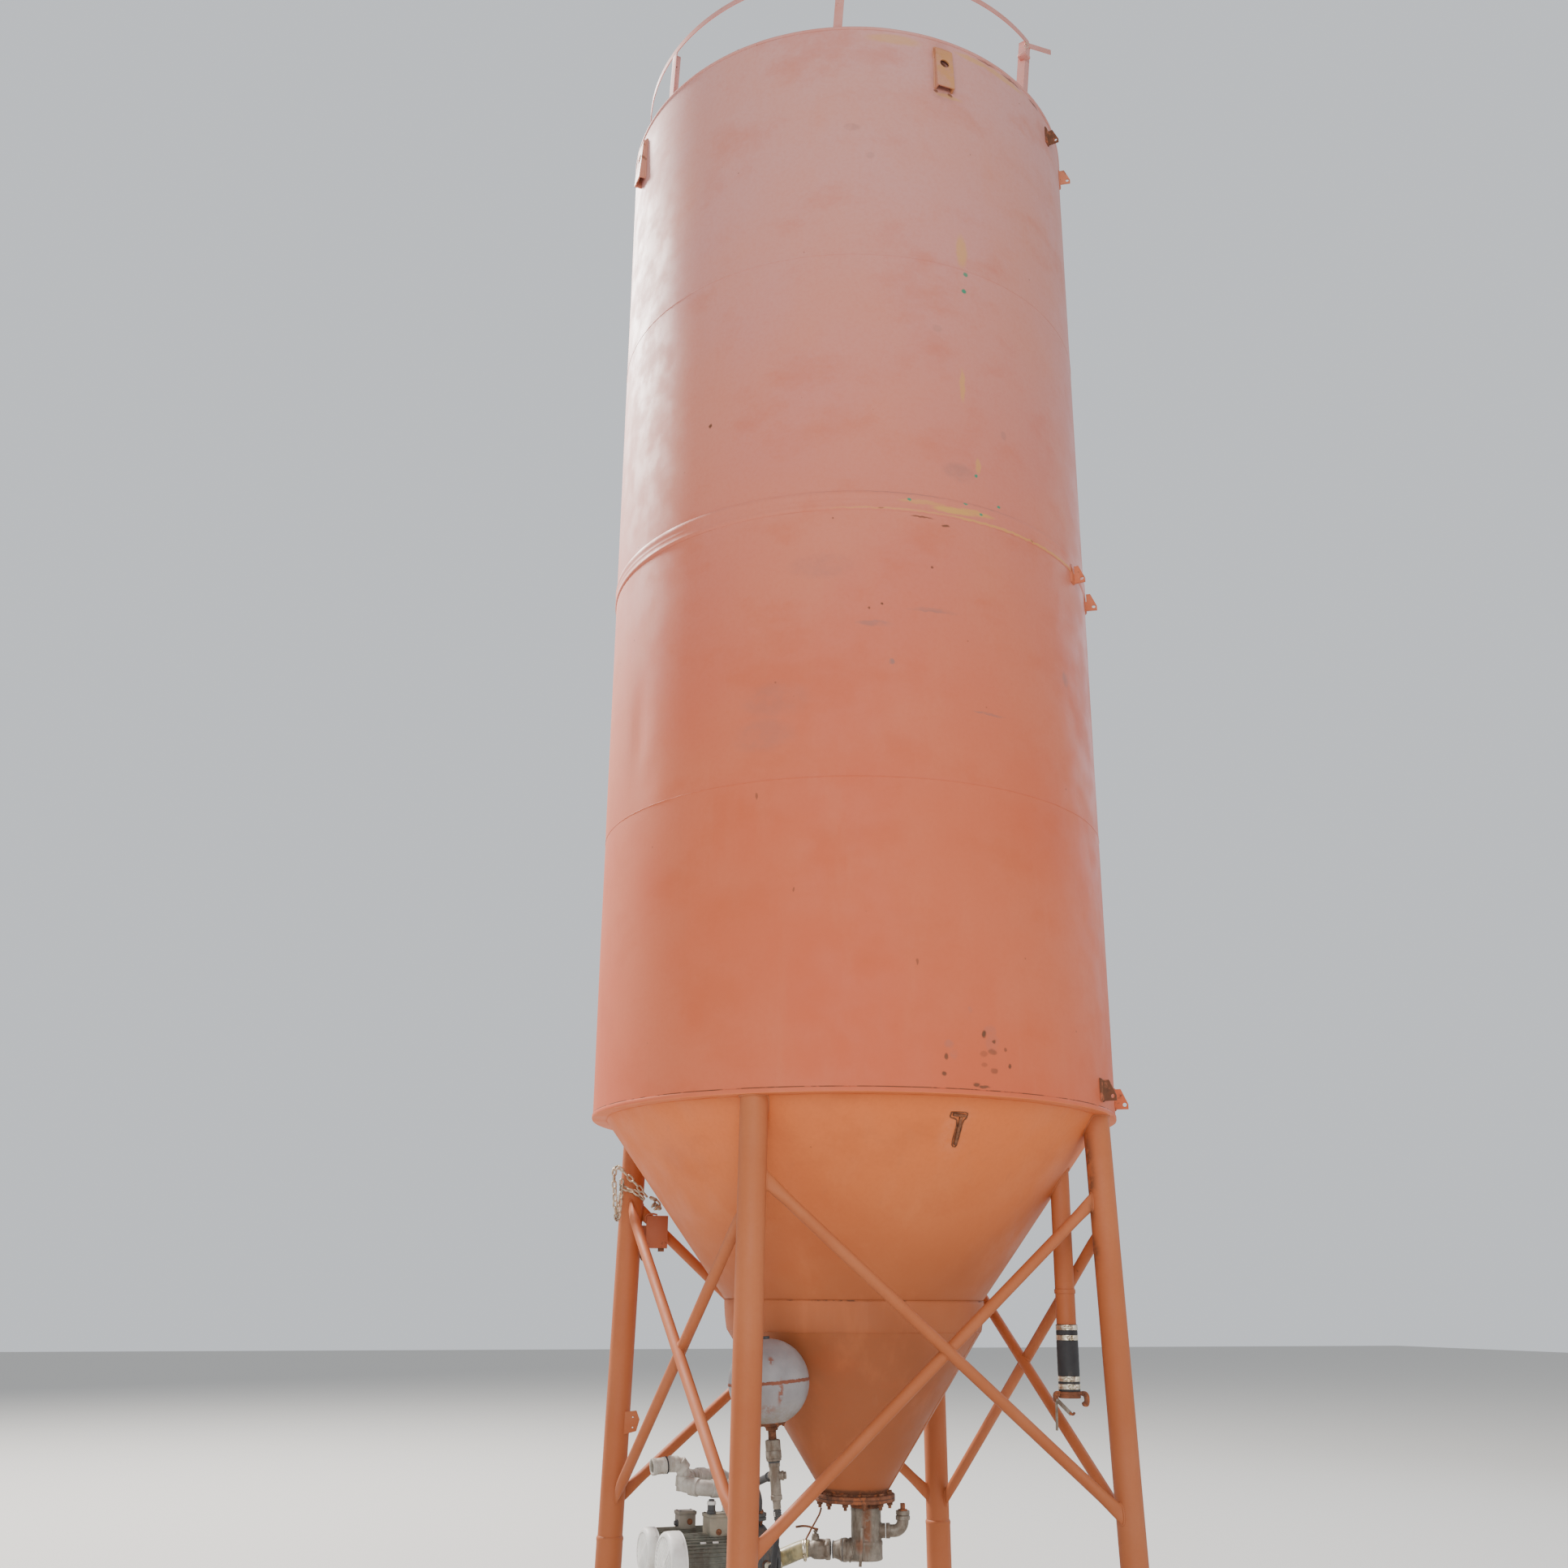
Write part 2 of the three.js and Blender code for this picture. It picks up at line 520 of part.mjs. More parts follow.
function makePumps(sleeveStart) {
  addPiece("pump_plinth", box(plinth.width, plinth.depth, plinth.height, plinth.x, plinth.y, 0), stone);
  const top = plinth.height + gap;

  const { y, z, fanEnd, motorEnd, casingEnd, mouth, port } = frontPump;
  const cowlEnd = fanEnd + 70;
  const cowl = lyingAlongX([
    [0, fanEnd], [112, fanEnd], [124, fanEnd + 10], [128, fanEnd + 26], [128, cowlEnd], [0, cowlEnd],
  ], 32);
  addPiece("pump_front_cowl", cowl.translate(0, y, z), white);
  const body = lyingAlongX([[0, cowlEnd + gap], [116, cowlEnd + gap], [116, motorEnd - 30], [130, motorEnd - 24],
    [130, motorEnd], [0, motorEnd]], 32).translate(0, y, z);
  const feet = box(150, 200, 70, -550, y, top);
  const terminalBox = box(100, 100, 88, -569, y, z + 102);
  addPiece("pump_front_motor", join(body, feet, terminalBox), grey);
  const casing = lyingAlongX([
    [0, motorEnd + gap], [134, motorEnd + gap], [146, motorEnd + 20], [146, motorEnd + 70], [110, casingEnd - 12],
    [66, casingEnd], [60, mouth - 16], [78, mouth - 16], [78, mouth], [0, mouth],
  ]).translate(0, y, z);
  const casingFoot = box(60, 120, 60, motorEnd + 45, y, top);
  const middle = new THREE.Vector3(motorEnd + 45, y, z);
  const boss = join(bar(middle, new THREE.Vector3(middle.x, y, frontPump.top), 40), disc(52, frontPump.top - 2, frontPump.top + 28, 24).translate(middle.x, y, 0));
  const nipple = bar(middle, new THREE.Vector3(middle.x, y - port, z), 17);
  addPiece("pump_front_casing", join(casing, casingFoot, boss, nipple), black);

  const rear = rearPump;
  const rearBody = lyingAlongX([
    [0, rear.fanEnd], [84, rear.fanEnd], [98, rear.fanEnd + 16], [98, rear.fanEnd + 55], [94, rear.fanEnd + 58],
    [94, rear.motorEnd], [118, rear.motorEnd + 10], [118, rear.casingEnd - 40], [52, rear.casingEnd], [0, rear.casingEnd],
  ]).translate(0, rear.y, rear.z);
  const rearFeet = box(150, 150, 91, -570, rear.y, top);
  const rearBox = box(84, 70, 73, -609, rear.y, rear.z + 85);
  const rearBoss = bar(
    new THREE.Vector3(rear.motorEnd + 45, rear.y, rear.z),
    new THREE.Vector3(rear.motorEnd + 45, rear.y, rear.z + 140), 36,
  );
  addPiece("pump_rear", join(rearBody, rearFeet, rearBox, rearBoss), grey);

  const mouthPoint = [mouth + gap, y, z];
  const sleeve = bent([...sleeveStart, [mouth + 20, y, z], mouthPoint], 36, 8, 8);
  addPiece("suction_sleeve", sleeve, rust);
}

// The vessel's own frame: up its leaning stem, from the middle of the tee
function leanFrame() {
  const view = THREE.MathUtils.degToRad(outletTurn);
  const awayFromView = new THREE.Vector3(-Math.sin(view), Math.cos(view), 0);
  const lean = new THREE.Matrix4().makeRotationAxis(awayFromView, -THREE.MathUtils.degToRad(stemLean));
  return lean.setPosition(tee.x, tee.y, tee.z);
}

function stemRoom() {
  return disc(stemRadius + gap, -78, 64, 20).applyMatrix4(leanFrame());
}

// Discharge: each pump's riser to an upright joint with the open coupling, and the branch to the vessel
function makeDischarge() {
  const front = frontPump.motorEnd + 45;
  const rear = rearPump.motorEnd + 45;
  const branch = bar(new THREE.Vector3(tee.x, tee.y, tee.z + 18), new THREE.Vector3(-432, frontPump.y, 836), 15);
  const frontRiser = bent([
    [front, frontPump.y, frontPump.top + 28 + gap], [front, frontPump.y, 784], [front - 15, frontPump.y, 819],
    [front - 50, frontPump.y, 834], [-512, frontPump.y, 834], [-599, frontPump.y, 836], [-655, 190, 841],
    [joint.x, joint.y, 850],
  ], riserRadius.front, 12, 8);
  const rearRiser = bent([
    [rear, rearPump.y, rearPump.z + 140 + gap], [rear, rearPump.y, 800], [rear - 13, 462, 835], [rear - 50, 440, 852],
    [-525, 410, 862], [-604, 370, 866], [-660, 310, 868], [joint.x, joint.y, 870],
  ], riserRadius.rear, 12, 8);
  const upright = bent([
    [joint.x, joint.y, 822], [joint.x, joint.y, 900], [joint.x - 12, joint.y, 924], [joint.x - 40, joint.y, 930],
    [-800, joint.y, 924],
  ], 30, 12, 8);
  const coupling = bar(new THREE.Vector3(-790, joint.y, 925), new THREE.Vector3(-843, joint.y, 920), riserRadius.front);
  const pipework = toSolid(join(branch, frontRiser, rearRiser, upright, coupling));
  addPiece("discharge_pipe", toGeometry(pipework.subtract(toSolid(stemRoom()))), white);
}

// Pressure vessel: a sphere on a leaning stem that stands on the tee, with a thin hose to the pump
function makePressureVessel() {
  const vessel = new THREE.Group();
  vessel.applyMatrix4(leanFrame());
  silo.add(vessel);
  const flangeLow = sphereHeight - sphereRadius - 1;
  const stem = turned([
    [0, -112], [13, -112], [16, -110], [16, -84], [stemRadius, -80], [stemRadius, 66], [31, 72], [31, 146],
    [stemRadius, 148], [stemRadius, flangeLow - gap], [0, flangeLow - gap],
  ], 20);
  const plug = swing(bar(new THREE.Vector3(0, 0, 10), new THREE.Vector3(46, 0, 10), 13, 12), outletTurn);
  addPiece("pressure_stem", join(stem, plug), grey, vessel);
  const ball = new THREE.SphereGeometry(sphereRadius, 28, 18).rotateX(Math.PI / 2).translate(0, 0, sphereHeight);
  const flange = disc(58, flangeLow, flangeLow + 18, 20);
  const nipple = disc(10, sphereHeight + sphereRadius - 8, sphereHeight + sphereRadius + 10, 12);
  addPiece("pressure_sphere", join(ball, flange, nipple), white, vessel);
  vessel.updateMatrixWorld();
  const start = [0, hoseExit].map((past) => vessel.localToWorld(new THREE.Vector3(0, 0, -112 - gap - past)).toArray());
  const port = [frontPump.motorEnd + 45, frontPump.y - frontPump.port - gap, frontPump.z];
  const beforePort = [port[0], port[1] - hoseExit, port[2]];
  const hose = bent([...start, ...hoseRoute, beforePort, port], hoseRadius, 24, 5);
  addPiece("pressure_hose", hose, black);
}

makeShell();
makeTop();
makeGuardRail();
const tank = tankBody();
makeLugs(tank);
makeBrackets(tank);
makeCone();
const cone = coneBody(1.5 * gap);
makeLegs(cone);
makeBraces();
makeFillLine(cone);
makePumps(makeOutlet());
makeDischarge();
makePressureVessel();

export default silo;
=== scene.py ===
import json
import math

import bpy
from mathutils import Matrix, Vector, noise

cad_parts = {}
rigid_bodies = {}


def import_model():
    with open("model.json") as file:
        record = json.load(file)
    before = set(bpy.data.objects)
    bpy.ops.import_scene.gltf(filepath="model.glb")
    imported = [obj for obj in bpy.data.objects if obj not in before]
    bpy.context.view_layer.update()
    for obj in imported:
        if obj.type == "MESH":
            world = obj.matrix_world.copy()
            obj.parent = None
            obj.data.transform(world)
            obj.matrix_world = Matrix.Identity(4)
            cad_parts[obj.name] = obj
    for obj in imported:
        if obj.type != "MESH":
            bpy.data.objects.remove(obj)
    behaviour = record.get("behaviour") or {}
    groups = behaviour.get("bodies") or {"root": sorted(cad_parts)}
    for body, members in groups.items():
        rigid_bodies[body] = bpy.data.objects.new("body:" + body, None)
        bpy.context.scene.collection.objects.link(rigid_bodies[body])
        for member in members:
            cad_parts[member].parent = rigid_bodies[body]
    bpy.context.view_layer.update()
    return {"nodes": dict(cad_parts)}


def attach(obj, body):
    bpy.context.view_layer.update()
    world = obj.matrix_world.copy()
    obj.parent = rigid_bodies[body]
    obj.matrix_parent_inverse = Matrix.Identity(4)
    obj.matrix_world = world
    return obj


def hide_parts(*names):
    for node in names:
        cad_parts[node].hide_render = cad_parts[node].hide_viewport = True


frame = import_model()
print("frame loaded,", len(frame["nodes"]), "nodes")
noise.seed_set(11)  # else noise_vector gives other values in each run

# the camera stands where the photo was taken
cameraSettings = {
    "place": (-3.047, -6.595, 1.61),
    "aim": (0.358, 0.8777, 0.3186),
    "rollDegrees": 0.46,
    "lens": 35.16,
    "sensor": 36.0,
}


def addCamera():
    data = bpy.data.cameras.new("photoCamera")
    data.lens = cameraSettings["lens"]
    data.sensor_width = cameraSettings["sensor"]
    camera = bpy.data.objects.new("photoCamera", data)
    bpy.context.collection.objects.link(camera)
    aim = Vector(cameraSettings["aim"]).normalized()
    right = aim.cross(Vector((0, 0, 1))).normalized()
    up = right.cross(aim)
    roll = math.radians(cameraSettings["rollDegrees"])
    tiltedRight = right * math.cos(roll) + up * math.sin(roll)
    tiltedUp = up * math.cos(roll) - right * math.sin(roll)
    camera.matrix_world = Matrix((
        (tiltedRight.x, tiltedUp.x, -aim.x, cameraSettings["place"][0]),
        (tiltedRight.y, tiltedUp.y, -aim.y, cameraSettings["place"][1]),
        (tiltedRight.z, tiltedUp.z, -aim.z, cameraSettings["place"][2]),
        (0, 0, 0, 1),
    ))
    bpy.context.scene.camera = camera


addCamera()


# modelling helpers

def clearSelection():
    if bpy.context.mode != "OBJECT":
        bpy.ops.object.mode_set(mode="OBJECT")
    bpy.ops.object.select_all(action="DESELECT")


def named(name):
    piece = bpy.context.object
    piece.name = name
    piece.data.name = name
    return piece


def select(*pieces):
    clearSelection()
    for piece in pieces:
        piece.select_set(True)
    bpy.context.view_layer.objects.active = pieces[0]


def settle(piece, place=None):  # put the piece's place into its mesh
    if place is not None:
        piece.matrix_world = place
    select(piece)
    bpy.ops.object.transform_apply(location=True, rotation=True, scale=True)
    return piece


def join(name, pieces):
    select(*pieces)
    if len(pieces) > 1:
        bpy.ops.object.join()
    return named(name)


def turn(degrees, axis="Z"):
    return Matrix.Rotation(math.radians(degrees), 4, axis)


def along(start, direction, twist=0.0):  # the place that turns local Z to a direction
    facing = Vector(direction).normalized().to_track_quat("Z", "Y").to_matrix().to_4x4()
    return Matrix.Translation(Vector(start)) @ facing @ turn(twist)


def roundPoint(radius, degrees, height=0.0):  # a point round the tank, from the front towards +X
    angle = math.radians(degrees)
    return Vector((radius * math.sin(angle), -radius * math.cos(angle), height))


def turnedPiece(name, profile, steps=96, closed=True):
    clearSelection()
    bpy.ops.mesh.primitive_plane_add(size=0.001, location=(0, 0, 0))
    piece = named(name)
    bpy.ops.object.mode_set(mode="EDIT")
    bpy.ops.mesh.select_all(action="SELECT")
    bpy.ops.mesh.merge(type="CENTER")
    points = list(profile)
    if closed and points[0][0] > 1e-6:
        points.append(points[0])
    bpy.ops.transform.translate(value=(0, -points[0][0], points[0][1]))
    for (radius, height), (nextRadius, nextHeight) in zip(points, points[1:]):
        step = (0, radius - nextRadius, nextHeight - height)
        bpy.ops.mesh.extrude_region_move(TRANSFORM_OT_translate={"value": step})
    bpy.ops.mesh.select_all(action="SELECT")
    bpy.ops.mesh.spin(steps=steps, angle=2 * math.pi, center=(0, 0, 0), axis=(0, 0, 1))
    bpy.ops.mesh.select_all(action="SELECT")
    bpy.ops.mesh.remove_doubles(threshold=0.00002)
    bpy.ops.mesh.normals_make_consistent(inside=False)
    bpy.ops.object.mode_set(mode="OBJECT")
    return piece


def rodPiece(name, start, end, radius, sides=24, rings=0, bevel=0.0):
    start, end = Vector(start), Vector(end)
    clearSelection()
    bpy.ops.mesh.primitive_cylinder_add(vertices=sides, radius=radius, depth=(end - start).length)
    piece = named(name)
    bpy.ops.object.mode_set(mode="EDIT")
    for ring in range(rings):
        height = ((ring + 1) / (rings + 1) - 0.5) * (end - start).length
        bpy.ops.mesh.select_all(action="SELECT")
        bpy.ops.mesh.bisect(plane_co=(0, 0, height), plane_no=(0, 0, 1))
    bpy.ops.object.mode_set(mode="OBJECT")
    if bevel:
        bevelEdges(piece, bevel)
    return settle(piece, along((start + end) / 2, end - start))


def blockPiece(name, size, centre, bevel=0.002, degrees=0.0, place=None, cuts=0):
    clearSelection()
    bpy.ops.mesh.primitive_cube_add(size=1)
    piece = named(name)
    bpy.ops.object.mode_set(mode="EDIT")
    bpy.ops.mesh.select_all(action="SELECT")
    bpy.ops.transform.resize(value=size)
    for cut in range(cuts):
        bpy.ops.mesh.select_all(action="SELECT")
        bpy.ops.mesh.bisect(plane_co=(((cut + 1) / (cuts + 1) - 0.5) * size[0], 0, 0), plane_no=(1, 0, 0))
    bpy.ops.object.mode_set(mode="OBJECT")
    if bevel:
        bevelEdges(piece, bevel)
    placing = Matrix.Translation(Vector(centre)) @ turn(degrees)
    return settle(piece, place @ placing if place is not None else placing)


# a flat plate in XY, with round holes given as (x, y, radius)
def platePiece(name, outline, thickness, holes=(), bevel=0.001, place=None):
    curve = bpy.data.curves.new(name, "CURVE")
    curve.dimensions = "2D"
    curve.fill_mode = "BOTH"
    curve.extrude = thickness / 2
    angles = [step * math.pi / 12 for step in range(24)]
    rounds = [[(x + radius * math.cos(angle), y + radius * math.sin(angle)) for angle in angles]
              for x, y, radius in holes]
    for loop in (outline, *rounds):
        spline = curve.splines.new("POLY")
        spline.points.add(len(loop) - 1)
        for target, (x, y) in zip(spline.points, loop):
            target.co = (x, y, 0, 1)
        spline.use_cyclic_u = True
    piece = bpy.data.objects.new(name, curve)
    bpy.context.collection.objects.link(piece)
    select(piece)
    bpy.ops.object.convert(target="MESH")
    piece = named(name)
    bpy.ops.object.mode_set(mode="EDIT")
    bpy.ops.mesh.select_all(action="SELECT")
    bpy.ops.mesh.remove_doubles(threshold=0.00001)
    bpy.ops.mesh.normals_make_consistent(inside=False)
    bpy.ops.object.mode_set(mode="OBJECT")
    if bevel:
        bevelEdges(piece, bevel, 1)
    return settle(piece, place) if place is not None else piece


sharpDegrees = 40  # corners sharper than this are bevelled


def bevelEdges(piece, width, segments=2):
    select(piece)
    bevel = piece.modifiers.new("edgeBevel", "BEVEL")
    bevel.width = width
    bevel.segments = segments
    bevel.limit_method = "ANGLE"
    bevel.angle_limit = math.radians(sharpDegrees)
    bpy.ops.object.modifier_apply(modifier=bevel.name)


def curvedPiece(name, points, radius, sides=4, closed=False):
    curve = bpy.data.curves.new(name, "CURVE")
    curve.dimensions = "3D"
    curve.bevel_depth = radius
    curve.bevel_resolution = sides
    curve.use_fill_caps = not closed
    spline = curve.splines.new("POLY")
    spline.points.add(len(points) - 1)
    for target, point in zip(spline.points, points):
        target.co = (*point, 1)
    spline.use_cyclic_u = closed
    piece = bpy.data.objects.new(name, curve)
    bpy.context.collection.objects.link(piece)
    select(piece)
    bpy.ops.object.convert(target="MESH")
    return named(name)


def smoothPath(points, parts=8):  # a smooth line through the points, the same one that the CAD tubes follow
    route = [Vector(point) for point in points]
    route = [2 * route[0] - route[1], *route, 2 * route[-1] - route[-2]]
    path = []
    for before, start, end, after in zip(route, route[1:], route[2:], route[3:]):
        first = math.sqrt((start - before).length)
        second = first + math.sqrt((end - start).length)
        third = second + math.sqrt((after - end).length)
        for part in range(parts):
            knot = first + (second - first) * part / parts
            a = before.lerp(start, knot / first)
            b = start.lerp(end, (knot - first) / (second - first))
            c = end.lerp(after, (knot - second) / (third - second))
            d = a.lerp(b, knot / second)
            e = b.lerp(c, (knot - first) / (third - first))
            path.append(d.lerp(e, (knot - first) / (second - first)))
    return path + [route[-2]]


def placeOn(path, share):  # the place at a share of a path's length, with local Z along the path
    lengths = [(end - start).length for start, end in zip(path, path[1:])]
    left = share * sum(lengths)
    for start, end, length in zip(path, path[1:], lengths):
        if left <= length + 1e-9:
            return along(start.lerp(end, left / length), end - start)
        left -= length
    return along(path[-1], path[-1] - path[-2])


def hexNut(name, base, radius, height, direction=(0, 0, 1), twist=0.0):
    clearSelection()
    bpy.ops.mesh.primitive_cylinder_add(vertices=6, radius=radius, depth=height)
    nut = named(name)
    bpy.ops.object.mode_set(mode="EDIT")
    bpy.ops.mesh.select_all(action="SELECT")
    bpy.ops.mesh.bevel(offset=0.1 * radius, segments=1, affect="EDGES")
    bpy.ops.object.mode_set(mode="OBJECT")
    return settle(nut, along(Vector(base) + Vector(direction).normalized() * height / 2, direction, twist))


boltShape = {  # shares of the hexagon's radius
    "washerThick": 0.15,
    "washerRadius": 1.15,
    "studRadius": 0.55,
    "studBevel": 0.08,
}


def boltPieces(spot, direction, size, height=0.7, stud=0.0):  # a washer, a hexagon and the stud's end
    spot, direction = Vector(spot), Vector(direction).normalized()
    seat = spot + direction * boltShape["washerThick"] * size
    pieces = [rodPiece("washer", spot, seat, boltShape["washerRadius"] * size, 20),
              hexNut("nut", seat, size, height * size, direction)]
    if stud:
        end, wide = spot + direction * (stud + size), boltShape["studRadius"] * size
        pieces.append(rodPiece("stud", spot, end, wide, 12, 0, boltShape["studBevel"] * size))
    return pieces


def spread(name, piece, places):  # copies of one piece at each place, joined
    copies = []
    for place in places:
        copy = bpy.data.objects.new(name, piece.data.copy())
        copy.data.transform(place)
        bpy.context.collection.objects.link(copy)
        copies.append(copy)
    bpy.data.objects.remove(piece, do_unlink=True)
    return join(name, copies)


def cutAway(piece, cutter):
    select(piece)
    cut = piece.modifiers.new("cut", "BOOLEAN")
    cut.operation = "DIFFERENCE"
    cut.solver = "EXACT"
    cut.object = cutter
    bpy.ops.object.modifier_apply(modifier=cut.name)
    bpy.data.objects.remove(cutter, do_unlink=True)


# small uneven moves of up to about the amount, so no surface is ruler-straight
def roughen(piece, amount, scale, seed=0.0):
    for vertex in piece.data.vertices:
        shift = noise.noise_vector(vertex.co * scale + Vector((seed, seed, seed)))
        vertex.co += shift * amount
    piece.data.update()
    return piece


def weldBead(points, size=0.004, closed=True, seed=0.0):
    bead = curvedPiece("weld", points, size, 2, closed=closed)
    return roughen(bead, 0.4 * size, 60, seed)


def finish(piece, material, replaces=(), angle=35):
    select(piece)
    if angle:
        bpy.ops.object.shade_smooth_by_angle(angle=math.radians(angle))
    piece.data.materials.clear()
    piece.data.materials.append(material)
    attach(piece, "root")
    if replaces:
        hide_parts(*replaces)
    return piece


# material helpers

def newMaterial(name):
    material = bpy.data.materials.new(name)
    material.use_nodes = True
    tree = material.node_tree
    place = tree.nodes.new("ShaderNodeTexCoord").outputs["Object"]
    return material, tree, tree.nodes["Principled BSDF"], place


def addNode(tree, kind, inputs=None, **settings):
    node = tree.nodes.new(kind)
    for key, value in settings.items():
        setattr(node, key, value)
    for key, value in (inputs or {}).items():
        if isinstance(value, bpy.types.NodeSocket):
            tree.links.new(value, node.inputs[key])
        else:
            node.inputs[key].default_value = value
    return node


def stretched(tree, place, scale=(1, 1, 1), offset=(0, 0, 0)):
    return addNode(tree, "ShaderNodeMapping",
                   {"Vector": place, "Scale": scale, "Location": offset}).outputs[0]


def noiseValue(tree, place, scale, detail=4.0, roughness=0.55):
    settings = {"Vector": place, "Scale": scale, "Detail": detail, "Roughness": roughness}
    return addNode(tree, "ShaderNodeTexNoise", settings).outputs["Fac"]


def spotValue(tree, place, scale):
    return addNode(tree, "ShaderNodeTexVoronoi", {"Vector": place, "Scale": scale}).outputs["Distance"]


def fade(tree, value, low, high, start=0.0, end=1.0):
    inputs = {"Value": value, "From Min": low, "From Max": high, "To Min": start, "To Max": end}
    return addNode(tree, "ShaderNodeMapRange", inputs, interpolation_type="SMOOTHSTEP").outputs[0]


def combine(tree, operation, first, second, clamp=True):
    return addNode(tree, "ShaderNodeMath", {0: first, 1: second}, operation=operation,
                   use_clamp=clamp).outputs[0]


def product(tree, first, second, clamp=True):
    return combine(tree, "MULTIPLY", first, second, clamp)


def larger(tree, first, second):
    return combine(tree, "MAXIMUM", first, second)


def combineVectors(tree, operation, first, second, output=0):
    return addNode(tree, "ShaderNodeVectorMath", {0: first, 1: second}, operation=operation).outputs[output]


def blendColour(tree, amount, first, second):
    node = addNode(tree, "ShaderNodeMix", data_type="RGBA")
    for index, value in ((0, amount), (6, first), (7, second)):  # the places of the factor, A and B
        if isinstance(value, bpy.types.NodeSocket):
            tree.links.new(value, node.inputs[index])
        elif index == 0:
            node.inputs[0].default_value = value
        else:
            node.inputs[index].default_value = (*value, 1)
    return node.outputs[2]


def heightOf(tree, place):
    return addNode(tree, "ShaderNodeSeparateXYZ", {0: place}).outputs["Z"]


def ovalMask(tree, place, centre, radii, edge=0.35):  # 1 inside an oval, 0 outside it
    shift = combineVectors(tree, "SUBTRACT", place, centre)
    shift = combineVectors(tree, "DIVIDE", shift, radii)
    distance = combineVectors(tree, "LENGTH", shift, (0, 0, 0), "Value")
    return fade(tree, distance, 1 - edge, 1 + edge, 1.0, 0.0)


raggedEdge = {"scale": 28.0, "detail": 4.0, "reach": 0.01}  # of the marks on the tank, in metres


def unrolled(tree, place, radius):  # arc length round the tank and height, with a ragged edge
    parts = addNode(tree, "ShaderNodeSeparateXYZ", {0: place}).outputs
    front = product(tree, parts["Y"], -1.0, False)
    arc = product(tree, combine(tree, "ARCTAN2", parts["X"], front, False), radius, False)
    flat = addNode(tree, "ShaderNodeCombineXYZ", {0: arc, 1: parts["Z"], 2: 0.0}).outputs[0]
    settings = {"Vector": place, "Scale": raggedEdge["scale"], "Detail": raggedEdge["detail"]}
    ragged = addNode(tree, "ShaderNodeTexNoise", settings).outputs["Color"]
    ragged = combineVectors(tree, "SUBTRACT", ragged, (0.5, 0.5, 0.5))
    reach = raggedEdge["reach"] * 2
    ragged = combineVectors(tree, "MULTIPLY", ragged, (reach, reach, 0))
    return combineVectors(tree, "ADD", flat, ragged)


def setSurface(tree, shader, colour, roughness, bump, strength, distance):
    tree.links.new(colour, shader.inputs["Base Color"])
    tree.links.new(roughness, shader.inputs["Roughness"])
    settings = {"Height": bump, "Strength": strength, "Distance": distance}
    tree.links.new(addNode(tree, "ShaderNodeBump", settings).outputs[0], shader.inputs["Normal"])


rustRoughness = 0.85


def rougherWhereRusty(tree, roughness, rust):
    return larger(tree, roughness, product(tree, rust, rustRoughness))


# paint and other finishes

